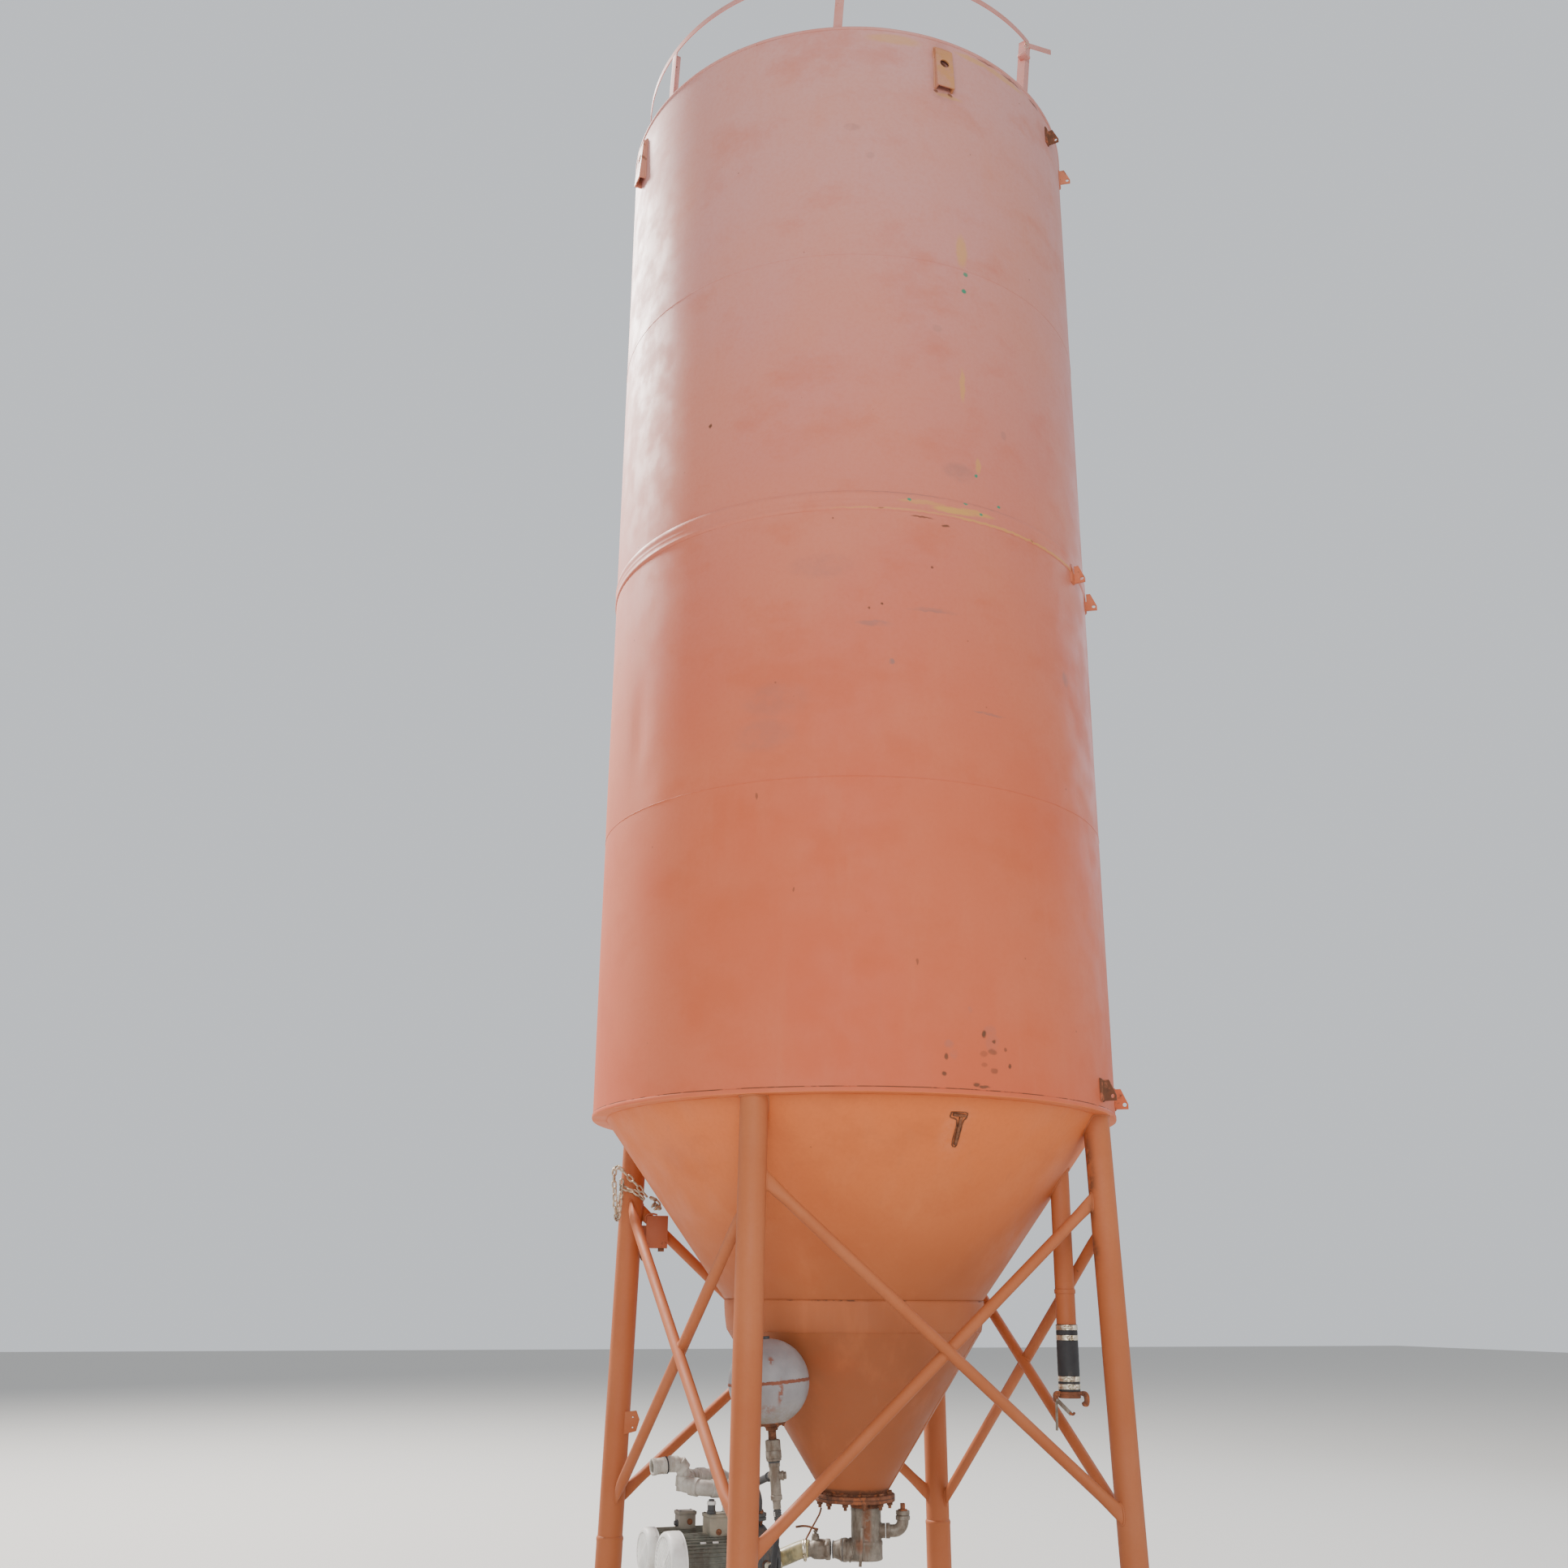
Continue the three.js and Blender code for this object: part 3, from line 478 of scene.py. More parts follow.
orangeColours = {
    "low": (0.545, 0.108, 0.043),
    "high": (0.57, 0.295, 0.268),
    "pale": (0.6, 0.2, 0.105),
    "deep": (0.49, 0.09, 0.028),
    "dirt": (0.3, 0.115, 0.06),
    "rustDark": (0.07, 0.032, 0.02),
    "rustLight": (0.2, 0.075, 0.035),
    "primer": (0.58, 0.32, 0.07),
    # tone of the stain marks, also used for the painted shade round the front lug
    "stainAndShade": (0.24, 0.125, 0.105),
    "chip": (0.05, 0.22, 0.125),
}
shellMarks = {  # degrees round the tank, height, half width, half height, strength
    "rust": (
        (1.5, 2.625, 0.01, 0.015, 1.0), (3.7, 2.598, 0.009, 0.007, 0.9), (3.2, 2.556, 0.02, 0.012, 0.6),
        (1.3, 2.545, 0.017, 0.012, 0.4), (3.5, 2.48, 0.017, 0.012, 0.6), (1.4, 2.503, 0.014, 0.009, 0.4),
        (6.3, 2.57, 0.007, 0.009, 0.7), (7.1, 2.505, 0.007, 0.011, 0.9), (-6.6, 2.528, 0.008, 0.014, 0.9),
        (-7.2, 2.459, 0.011, 0.009, 0.9), (-0.4, 2.423, 0.017, 0.009, 0.9), (1.2, 2.414, 0.024, 0.006, 0.9),
        (-12.0, 2.9, 0.006, 0.012, 0.6), (-17.9, 4.477, 0.006, 0.006, 0.9), (-20.6, 4.456, 0.006, 0.006, 0.8),
        (-6.9, 4.674, 0.007, 0.006, 0.8), (-57.3, 5.487, 0.009, 0.01, 1.0), (-8.9, 4.917, 0.05, 0.004, 0.8),
        (-3.6, 4.89, 0.02, 0.007, 0.9), (-36.0, 3.2, 0.005, 0.01, 0.6), (-44.0, 3.62, 0.005, 0.014, 0.6),
        # The first mark on the next line, dark on the shell behind the front lug's eye, is painted shade seen
        # through the hole; the two after it are rust just under the lug's foot.
        (-0.9, 7.48, 0.022, 0.022, 1.0), (-2.9, 7.316, 0.014, 0.008, 0.8), (1.0, 7.314, 0.016, 0.008, 0.8),
        (12.0, 7.623, 0.06, 0.005, 0.7), (21.0, 7.62, 0.07, 0.006, 0.7), (31.0, 7.615, 0.05, 0.006, 0.8),
    ),
    "stainAndShade": (
        (2.9, 2.64, 0.028, 0.022, 0.25), (-5.9, 2.577, 0.02, 0.016, 0.3), (-5.1, 2.537, 0.018, 0.02, 0.3),
        (-1.4, 2.72, 0.01, 0.013, 0.25), (3.4, 2.59, 0.03, 0.04, 0.2), (-23.4, 7.03, 0.036, 0.02, 0.3),
        (-19.1, 6.863, 0.022, 0.018, 0.25), (-4.2, 5.92, 0.022, 0.018, 0.25),
        (12.6, 5.445, 0.016, 0.022, 0.3), (0.3, 5.174, 0.018, 0.018, 0.3),
        # The last mark on the next line and the first on the line after it darken the shell under and round
        # the front lug: partly stain, partly painted shade.
        (-19.2, 4.379, 0.053, 0.008, 0.35), (-6.3, 4.468, 0.095, 0.01, 0.35), (-1.0, 7.3, 0.06, 0.03, 0.3),
        (-0.9, 7.45, 0.064, 0.16, 0.45), (0.1, 5.177, 0.075, 0.045, 0.36),
        (-30.6, 4.663, 0.13, 0.055, 0.24), (-40.3, 4.048, 0.14, 0.075, 0.22),
        (-42.8, 3.894, 0.13, 0.07, 0.22), (31.3, 4.33, 0.03, 0.035, 0.5), (5.6, 4.019, 0.075, 0.006, 0.6),
        (-19.7, 4.387, 0.07, 0.012, 0.5), (-7.0, 4.462, 0.105, 0.006, 0.5), (-16.1, 4.207, 0.011, 0.014, 0.8),
    ),
    "primer": (
        (2.6, 6.393, 0.028, 0.085, 0.5), (1.7, 5.643, 0.014, 0.08, 0.5), (4.9, 5.236, 0.013, 0.04, 0.5),
        (-13.2, 7.585, 0.13, 0.028, 0.4), (8.0, 7.6, 0.1, 0.014, 0.5), (18.0, 7.597, 0.14, 0.016, 0.45),
        (0.5, 7.303, 0.07, 0.012, 0.5),
    ),
    "chip": (
        (10.3, 5.055, 0.009, 0.008, 1.0), (4.4, 5.178, 0.009, 0.008, 1.0), (3.5, 6.269, 0.013, 0.013, 0.9),
        (2.9, 6.169, 0.012, 0.012, 1.0),
    ),
}
bandMarks = {
    "rust": ((-18.0, 4.944, 0.012, 0.004, 0.6), (20.0, 4.945, 0.01, 0.004, 0.6)),
    "stainAndShade": ((-12.0, 5.027, 0.2, 0.004, 0.5), (8.0, 5.026, 0.15, 0.004, 0.5),
              (-28.0, 5.027, 0.14, 0.003, 0.3)),
    "primer": (
        (-1.5, 4.972, 0.1, 0.016, 0.75), (4.0, 4.985, 0.09, 0.012, 0.6), (-9.0, 4.99, 0.1, 0.01, 0.4),
        (10.0, 4.9435, 0.3, 0.005, 0.55), (28.0, 4.9435, 0.25, 0.005, 0.55),
        (-14.0, 4.9435, 0.3, 0.004, 0.35),
    ),
    "chip": ((-11.8, 4.995, 0.008, 0.007, 1.0), (5.1, 4.987, 0.009, 0.007, 1.0),
             (1.2, 5.02, 0.011, 0.006, 0.9)),
}


# Orange brush paint on welded steel: it fades upwards (on the cone this is painted shade, darker towards
# the bottom), and is blotched, speckled, streaked and rusted in places
def orangePaint(name, look):
    look = {**orangeColours, **look}
    material, tree, shader, place = newMaterial(name)
    height = heightOf(tree, place)
    # low tone to high tone with height; on the cone the dark low tone is painted shade
    colour = blendColour(tree, fade(tree, height, *look["fadeHeights"]), look["low"], look["high"])
    broad = noiseValue(tree, place, 1.1, 3)
    colour = blendColour(tree, fade(tree, broad, 0.36, 0.7, 0.0, 0.3), colour, look["pale"])
    patch = noiseValue(tree, stretched(tree, place, (2.6, 2.6, 4.2), (4, 2, 1)), 1.0, 5, 0.6)
    colour = blendColour(tree, fade(tree, patch, 0.48, 0.72, 0.0, look.get("patch", 0.3)), colour,
                         look["deep"])
    brush = noiseValue(tree, stretched(tree, place, (7, 7, 1.6), (1, 5, 2)), 1.0, 4, 0.6)
    colour = blendColour(tree, fade(tree, brush, 0.5, 0.75, 0.0, look.get("brush", 0.12)), colour,
                         look["pale"])
    streak = noiseValue(tree, stretched(tree, place, (22, 22, 1.1)), 1.0, 4, 0.6)
    colour = blendColour(tree, fade(tree, streak, 0.6, 0.85, 0.0, look.get("streak", 0.12)), colour,
                         look["dirt"])
    grain = noiseValue(tree, place, 60, 3)
    colour = blendColour(tree, fade(tree, grain, 0.35, 0.75, 0.0, 0.12), colour, look["deep"])

    specks = fade(tree, spotValue(tree, place, look.get("speckScale", 9)), 0.02, 0.055, 1.0, 0.0)
    sparse = fade(tree, noiseValue(tree, place, 2.4, 2), 0.52, 0.62, 0.0, 0.8)
    rust = product(tree, specks, sparse)
    scattered = noiseValue(tree, place, look.get("rustScale", 6), 6, 0.7)
    rust = larger(tree, rust, fade(tree, scattered, *look.get("rustLevels", (0.74, 0.78))))
    broken = noiseValue(tree, place, 11, 5, 0.65)
    for level, reach, start in look.get("dirtLines", ()):
        away = combine(tree, "SUBTRACT", height, level, False)
        away = combine(tree, "ABSOLUTE", away, 0.0, False)
        line = fade(tree, away, 0.2 * reach, reach, 1.0, 0.0)
        rust = larger(tree, rust, product(tree, line, fade(tree, broken, start, start + 0.12)))
    if "marks" in look:
        flat = unrolled(tree, place, look["markRadius"])
        masks = {}
        for kind, spots in look["marks"].items():
            mask = 0.0
            for degrees, level, wide, tall, strength in spots:
                aside = math.radians(degrees) * look["markRadius"]
                spot = ovalMask(tree, flat, (aside, level, 0), (wide, tall, 1.0))
                spot = product(tree, spot, strength)
                mask = larger(tree, spot, mask)
            masks[kind] = mask
        colour = blendColour(tree, masks["primer"], colour, look["primer"])
        # stain marks, some of them painted shade round the front lug, darken the paint
        faint = product(tree, masks["stainAndShade"], fade(tree, broken, 0.38, 0.58, 0.35, 1.0))
        colour = blendColour(tree, faint, colour, look["stainAndShade"])
        rust = larger(tree, rust, masks["rust"])
    rustColour = blendColour(tree, noiseValue(tree, place, 30, 4), look["rustDark"], look["rustLight"])
    colour = blendColour(tree, rust, colour, rustColour)
    if "marks" in look:
        colour = blendColour(tree, masks["chip"], colour, look["chip"])
    for centre, radii, amount, tone in look.get("patches", ()):
        oval = ovalMask(tree, place, centre, radii, 0.6)
        area = product(tree, oval, fade(tree, broken, 0.4, 0.56, 0.2, 1.0))
        colour = blendColour(tree, product(tree, area, amount), colour, tone)

    roughness = fade(tree, noiseValue(tree, place, 7, 4), 0.3, 0.7, *look.get("roughness", (0.56, 0.7)))
    roughness = rougherWhereRusty(tree, roughness, rust)
    brushed = noiseValue(tree, stretched(tree, place, (70, 70, 320)), 1.0, 3)
    surface = combine(tree, "ADD", product(tree, brushed, 0.5), product(tree, rust, 0.4))
    setSurface(tree, shader, colour, roughness, surface, 0.22, 0.0015)
    shader.inputs["Specular IOR Level"].default_value = 0.28
    return material


agedRust = {"dark": (0.12, 0.05, 0.026), "light": (0.26, 0.1, 0.045)}


# Any other finish: two base tones, dirt, rust or bare patches, and a surface of its own
def agedSurface(name, look):
    material, tree, shader, place = newMaterial(name)
    scale = look.get("scale", 20)
    mottled = noiseValue(tree, place, scale, 5, 0.65)
    colour = blendColour(tree, fade(tree, mottled, 0.35, 0.68), look["base"], look["second"])
    stains = noiseValue(tree, stretched(tree, place, (1, 1, 0.35), (3, 1, 2)), scale * 0.7, 5, 0.7)
    amount = look.get("dirtAmount", 0.4)
    dirt = fade(tree, stains, 0.62 - 0.3 * amount, 0.8 - 0.3 * amount, 0.0, 0.8)
    colour = blendColour(tree, dirt, colour, look["dirt"])
    patches = noiseValue(tree, stretched(tree, place, (1, 1, 0.6), (7, 3, 5)), scale * 0.9, 6, 0.75)
    amount = look.get("rustAmount", 0.2)
    for centre, radii, tone in look.get("faded", ()):
        oval = ovalMask(tree, place, centre, radii, 0.15)
        faded = product(tree, oval, fade(tree, mottled, 0.3, 0.6, 0.6, 1.0))
        colour = blendColour(tree, faded, colour, tone)
    rust = fade(tree, patches, 0.72 - 0.35 * amount, 0.77 - 0.35 * amount)
    for centre, radii, strength in look.get("rustSpots", ()):
        oval = ovalMask(tree, place, centre, radii, 0.5)
        spot = product(tree, oval, fade(tree, mottled, 0.38, 0.5, 0.3, 1.0))
        rust = larger(tree, rust, product(tree, spot, strength))
    mottling = noiseValue(tree, place, scale * 2.2, 4)
    rustColour = blendColour(tree, mottling, look.get("rust", agedRust["dark"]),
                             look.get("rustLight", agedRust["light"]))
    colour = blendColour(tree, rust, colour, rustColour)
    roughness = fade(tree, mottled, 0.3, 0.7, *look.get("roughness", (0.45, 0.65)))
    roughness = rougherWhereRusty(tree, roughness, rust)
    fine = noiseValue(tree, place, scale * look.get("fine", 4), 4, 0.6)
    surface = combine(tree, "ADD", product(tree, fine, 0.6), product(tree, rust, 0.4))
    setSurface(tree, shader, colour, roughness, surface, look.get("bump", 0.3), look.get("depth", 0.001))
    shader.inputs["Metallic"].default_value = look.get("metallic", 0.0)
    shader.inputs["Specular IOR Level"].default_value = look.get("specular", 0.35)
    return material


# The vessel's white paint, with rust along its seam, a drip under it and dirt near its foot
def vesselPaint(name, look):
    material, tree, shader, place = newMaterial(name)
    mottled = noiseValue(tree, place, 9, 5, 0.6)
    colour = blendColour(tree, fade(tree, mottled, 0.3, 0.7), look["base"], look["second"])
    shift = combineVectors(tree, "SUBTRACT", place, look["centre"])
    level = combineVectors(tree, "DOT_PRODUCT", shift, look["axis"], "Value")
    crumbs = noiseValue(tree, place, 55, 5, 0.7)
    foot = fade(tree, level, -0.165, -0.05, 0.75, 0.0)
    colour = blendColour(tree, product(tree, foot, fade(tree, crumbs, 0.3, 0.65)), colour, look["dirt"])
    ragged = product(tree, combine(tree, "SUBTRACT", crumbs, 0.5, False), 0.018, False)
    away = combine(tree, "ABSOLUTE", combine(tree, "ADD", level, ragged, False), 0.0, False)
    rust = fade(tree, away, 0.005, 0.008, 1.0, 0.0)
    for centre, radii, strength in look["rustSpots"]:
        oval = ovalMask(tree, place, centre, radii, 0.5)
        spot = product(tree, oval, fade(tree, crumbs, 0.4, 0.52))
        rust = larger(tree, rust, product(tree, spot, strength))
    freckles = fade(tree, spotValue(tree, place, 34), 0.05, 0.09, 0.7, 0.0)
    freckles = product(tree, freckles, fade(tree, mottled, 0.5, 0.6))
    rust = larger(tree, rust, product(tree, freckles, fade(tree, level, -0.12, 0.0, 1.0, 0.25)))
    rustColour = blendColour(tree, crumbs, (0.11, 0.032, 0.022), (0.3, 0.1, 0.05))
    colour = blendColour(tree, rust, colour, rustColour)
    roughness = rougherWhereRusty(tree, fade(tree, mottled, 0.3, 0.7, 0.38, 0.55), rust)
    surface = combine(tree, "ADD", product(tree, crumbs, 0.3), product(tree, rust, 0.5))
    setSurface(tree, shader, colour, roughness, surface, 0.3, 0.001)
    return material


# the vessel's leaning axis, which its paint follows too
vessel = {
    "tee": (-0.52, -0.365, 0.924),
    "lean": 4.7,
    "outletTurn": -24.8,
    "radius": 0.166,
    "height": 0.365,
}
outletAngle = math.radians(vessel["outletTurn"])
leanAxis = Vector((-math.sin(outletAngle), math.cos(outletAngle), 0))
leaning = Matrix.Rotation(-math.radians(vessel["lean"]), 4, leanAxis)
vesselPlace = Matrix.Translation(Vector(vessel["tee"])) @ leaning
vesselUp = (vesselPlace.to_3x3() @ Vector((0, 0, 1))).normalized()
vesselCentre = vesselPlace @ Vector((0, 0, vessel["height"]))

paints = {
    "shell": orangePaint("shellPaint", {
        "fadeHeights": (3.1, 8.2), "dirtLines": [(2.4012, 0.004, 0.4)], "marks": shellMarks,
        "markRadius": 1.2,
    }),
    "band": orangePaint("bandPaint", {
        "fadeHeights": (3.1, 8.2), "speckScale": 22, "marks": bandMarks, "markRadius": 1.2,
    }),
    "ring": orangePaint("ringPaint", {
        "low": (0.62, 0.15, 0.04), "high": (0.545, 0.108, 0.043), "fadeHeights": (2.3805, 2.3845),
        "speckScale": 26,
    }),
    "roof": orangePaint("roofPaint", {"fadeHeights": (3.1, 8.2), "rustScale": 4, "rustLevels": (0.66, 0.72),
                                      "streak": 0.3}),
    # the cone's dark low tone towards its bottom is painted shade
    "cone": orangePaint("conePaint", {
        "low": (0.28, 0.084, 0.031), "high": (0.63, 0.152, 0.038), "pale": (0.6, 0.185, 0.07),
        "deep": (0.4, 0.085, 0.022),
        "dirtLines": [(1.604, 0.005, 0.54), (1.478, 0.003, 0.62), (0.83, 0.02, 0.4)],
        "fadeHeights": (1.35, 2.35), "streak": 0.22, "brush": 0.2,
        "patches": [((-0.03, -1.06, 2.25), (0.06, 0.12, 0.1), 0.45, (0.62, 0.2, 0.09)),
                    ((0.46, -0.46, 2.05), (0.22, 0.22, 0.25), 0.35, (0.5, 0.2, 0.12))],
    }),
    "frame": orangePaint("framePaint", {
        "low": (0.33, 0.093, 0.03), "high": (0.4, 0.113, 0.038), "pale": (0.47, 0.16, 0.07),
        "deep": (0.33, 0.076, 0.023),
        "fadeHeights": (0.6, 2.3), "speckScale": 16, "streak": 0.25, "rustLevels": (0.7, 0.75),
        "dirtLines": [(0.577, 0.005, 0.58), (0.02, 0.03, 0.35)],
        "patches": [((0.745, -0.79, 2.12), (0.022, 0.05, 0.19), 1.0, (0.13, 0.055, 0.03)),
                    ((0.752, -0.795, 1.8), (0.016, 0.04, 0.06), 1.0, (0.13, 0.055, 0.03))],
    }),
    "rail": orangePaint("railPaint", {
        "fadeHeights": (3.1, 8.8), "rustScale": 14, "rustLevels": (0.64, 0.7), "speckScale": 30,
    }),
    "lug": orangePaint("lugPaint", {
        "low": (0.48, 0.16, 0.06), "high": (0.52, 0.235, 0.165), "pale": (0.55, 0.27, 0.17),
        "fadeHeights": (3.1, 8.2),
        "rustScale": 18, "rustLevels": (0.58, 0.68), "speckScale": 40, "patch": 0.4, "roughness": (0.5, 0.7),
        "patches": [((0.0, -1.22, 7.45), (0.08, 0.06, 0.17), 0.9, (0.52, 0.235, 0.085))],
    }),
    "fitting": orangePaint("fittingPaint", {
        "low": (0.5, 0.105, 0.035), "high": (0.56, 0.2, 0.11), "fadeHeights": (3.1, 8.2),
        "rustScale": 20, "rustLevels": (0.56, 0.66), "speckScale": 40, "patch": 0.5, "roughness": (0.5, 0.7),
    }),
    "box": orangePaint("boxPaint", {
        "low": (0.34, 0.094, 0.042), "high": (0.34, 0.094, 0.042), "pale": (0.4, 0.13, 0.06),
        "deep": (0.3, 0.075, 0.032),
        "fadeHeights": (1, 3), "rustScale": 20, "rustLevels": (0.6, 0.68), "patch": 0.4,
    }),
    "rustFitting": orangePaint("rustFittingPaint", {
        "low": (0.4, 0.105, 0.045), "high": (0.4, 0.13, 0.065), "fadeHeights": (3.1, 8.2),
        "rustScale": 16, "rustLevels": (0.36, 0.5), "speckScale": 40, "patch": 0.6, "roughness": (0.6, 0.8),
    }),
}
finishes = {
    "rust": agedSurface("rustySteel", {
        "base": (0.105, 0.042, 0.022), "second": (0.24, 0.095, 0.045), "dirt": (0.045, 0.024, 0.017),
        "rustAmount": 0.3, "rust": (0.34, 0.105, 0.035), "rustLight": (0.46, 0.16, 0.06), "scale": 36,
        "roughness": (0.92, 0.7), "bump": 0.6, "depth": 0.0015, "specular": 0.25,
    }),
    "flange": agedSurface("rustyFlange", {
        "base": (0.12, 0.048, 0.026), "second": (0.22, 0.08, 0.038), "dirt": (0.05, 0.027, 0.02),
        "rustAmount": 0.5, "rust": (0.24, 0.075, 0.03), "rustLight": (0.33, 0.11, 0.045), "scale": 24,
        "roughness": (0.9, 0.66), "bump": 0.5, "depth": 0.0015, "specular": 0.25,
    }),
    "galvanised": agedSurface("dullGalvanising", {
        "base": (0.17, 0.143, 0.112), "second": (0.265, 0.225, 0.18), "dirt": (0.115, 0.078, 0.052),
        "rustAmount": 0.12, "scale": 26, "roughness": (0.42, 0.62), "metallic": 0.25, "bump": 0.35,
        "dirtAmount": 0.5,
        "rustSpots": [((0.02, -0.09, 0.7), (0.018, 0.05, 0.09), 0.9),
                      ((-0.01, -0.08, 0.62), (0.012, 0.05, 0.03), 0.8)],
    }),
    "motor": agedSurface("motorPaint", {
        "base": (0.125, 0.125, 0.1), "second": (0.185, 0.178, 0.145), "dirt": (0.085, 0.068, 0.05),
        "rustAmount": 0.08, "scale": 22, "roughness": (0.5, 0.7), "bump": 0.3, "dirtAmount": 0.55,
        "faded": [((-0.569, 0.177, 0.7), (0.08, 0.08, 0.056), (0.27, 0.23, 0.17)),
                  ((-0.609, 0.47, 0.685), (0.066, 0.06, 0.05), (0.24, 0.21, 0.17))],
    }),
    "castIron": agedSurface("castIronPaint", {
        "base": (0.052, 0.054, 0.056), "second": (0.1, 0.098, 0.09), "dirt": (0.12, 0.09, 0.065),
        "rustAmount": 0.3, "scale": 26, "roughness": (0.55, 0.75), "bump": 0.6, "depth": 0.0015,
        "dirtAmount": 0.5,
    }),
    "white": agedSurface("dirtyWhite", {
        "base": (0.6, 0.585, 0.55), "second": (0.68, 0.665, 0.63), "dirt": (0.36, 0.315, 0.25),
        "rustAmount": 0.0, "scale": 14, "roughness": (0.42, 0.58), "bump": 0.15, "dirtAmount": 0.35,
    }),
    # the white discharge pipe's tones are darkened to the grey it shows in shade: painted shade
    "shadedWhitePipe": agedSurface("shadedWhitePipe", {
        "base": (0.32, 0.29, 0.25), "second": (0.44, 0.41, 0.365), "dirt": (0.19, 0.16, 0.12),
        "rustAmount": 0.0, "scale": 18, "roughness": (0.45, 0.62), "bump": 0.2, "dirtAmount": 0.5,
    }),
    "rubber": agedSurface("blackRubber", {
        "base": (0.022, 0.022, 0.024), "second": (0.036, 0.036, 0.038), "dirt": (0.075, 0.066, 0.055),
        "rustAmount": 0.0, "scale": 22, "roughness": (0.62, 0.8), "bump": 0.25, "dirtAmount": 0.25,
        "specular": 0.4,
    }),
    "clamp": agedSurface("platedClamps", {
        "base": (0.62, 0.55, 0.4), "second": (0.75, 0.7, 0.58), "dirt": (0.22, 0.15, 0.09),
        "rustAmount": 0.25, "scale": 60, "roughness": (0.28, 0.45), "metallic": 0.85, "bump": 0.2,
        "dirtAmount": 0.45,
    }),
    "sleeve": agedSurface("agedSleeve", {
        "base": (0.34, 0.265, 0.12), "second": (0.46, 0.385, 0.2), "dirt": (0.15, 0.14, 0.085),
        "rustAmount": 0.0, "scale": 20, "roughness": (0.3, 0.5), "bump": 0.2, "dirtAmount": 0.5,
    }),
    "plastic": agedSurface("darkPlastic", {
        "base": (0.045, 0.045, 0.047), "second": (0.065, 0.064, 0.062), "dirt": (0.1, 0.09, 0.075),
        "rustAmount": 0.0, "scale": 30, "roughness": (0.45, 0.6), "bump": 0.15, "dirtAmount": 0.3,
    }),
    "chain": agedSurface("chainSteel", {
        "base": (0.43, 0.33, 0.22), "second": (0.64, 0.55, 0.42), "dirt": (0.12, 0.07, 0.045),
        "rustAmount": 0.38, "rust": (0.17, 0.075, 0.035), "rustLight": (0.3, 0.15, 0.075), "scale": 45,
        "roughness": (0.4, 0.62), "metallic": 0.35, "bump": 0.3, "dirtAmount": 0.4,
    }),
    "concrete": agedSurface("castConcrete", {
        "base": (0.31, 0.295, 0.27), "second": (0.42, 0.405, 0.375), "dirt": (0.17, 0.155, 0.13),
        "rustAmount": 0.05, "scale": 9, "fine": 14, "roughness": (0.8, 0.93), "bump": 0.7, "depth": 0.003,
        "dirtAmount": 0.5,
        "specular": 0.2,
    }),
}
vesselFinish = vesselPaint("vesselPaint", {
    "base": (0.215, 0.205, 0.208), "second": (0.285, 0.27, 0.27), "dirt": (0.2, 0.15, 0.088),
    "centre": tuple(vesselCentre), "axis": tuple(vesselUp),
    "rustSpots": [((-0.559, -0.514, 1.255), (0.01, 0.05, 0.044), 0.9),
                  ((-0.592, -0.491, 1.373), (0.01, 0.05, 0.014), 0.9),
                  ((-0.6, -0.47, 1.19), (0.03, 0.06, 0.016), 0.5),
                  ((-0.5, -0.24, 1.23), (0.04, 0.04, 0.05), 0.8)],
})
print("finishes ready")


# pressure hose: free between the fitting under the vessel's tee and the front pump

hose = {
    "diameter": 0.024,
    "exit": (-0.5116, -0.3689, 0.8121),
    "route": (
        (-0.5091, -0.3701, 0.7782), (-0.508, -0.363, 0.744), (-0.507, -0.353, 0.709), (-0.504, -0.339, 0.672),
        (-0.5, -0.32, 0.64), (-0.494, -0.297, 0.611), (-0.485, -0.27, 0.587), (-0.474, -0.241, 0.569),
        (-0.461, -0.211, 0.557), (-0.447, -0.18, 0.55), (-0.434, -0.149, 0.547), (-0.422, -0.117, 0.546),
        (-0.411, -0.084, 0.5465), (-0.402, -0.051, 0.5475), (-0.395, -0.0173, 0.549), (-0.395, 0.0167, 0.549),
    ),
    "ferrule": 0.038,
    "crimps": 4,
    "crimpStart": 0.007,
    "crimpPitch": 0.0075,
    "marks": (-150, -95),
}


def makeHose():
    path = smoothPath((hose["exit"], *hose["route"]), 6)
    radius = hose["diameter"] / 2
    rubber = curvedPiece("pressureHose", path, radius, 8)
    finish(rubber, finishes["rubber"], ["pressure_hose"])
    length = sum((end - start).length for start, end in zip(path, path[1:]))
    ferrules = []
    for end, beyond in ((path[0], path[4]), (path[-1], path[-5])):
        profile = [(radius + 0.0003, 0.0008), (radius + 0.0035, 0.0012), (radius + 0.004, 0.004)]
        for crimp in range(hose["crimps"]):
            low = hose["crimpStart"] + crimp * hose["crimpPitch"]
            profile += [(radius + 0.004, low), (radius + 0.0026, low + 0.0012),
                        (radius + 0.0026, low + 0.0032), (radius + 0.004, low + 0.0044)]
        profile += [(radius + 0.0036, hose["ferrule"]), (radius + 0.0003, hose["ferrule"])]
        ferrule = turnedPiece("ferrule", profile, 32)
        ferrules.append(settle(ferrule, along(end, beyond - end)))
    upper = finish(ferrules[0], finishes["plastic"])
    collars = finish(ferrules[1], finishes["clamp"])
    marks = []
    for degrees in hose["marks"]:
        tag = blockPiece("mark", (0.0024, 0.0042, 0.017), (radius + 0.0036, 0, 0.016), 0.0007)
        marks.append(settle(tag, along(path[0], path[4] - path[0]) @ turn(degrees)))
    marks = finish(join("ferruleMarks", marks), finishes["white"])
    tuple(hose["exit"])


makeHose()
print("hose made")


# tank

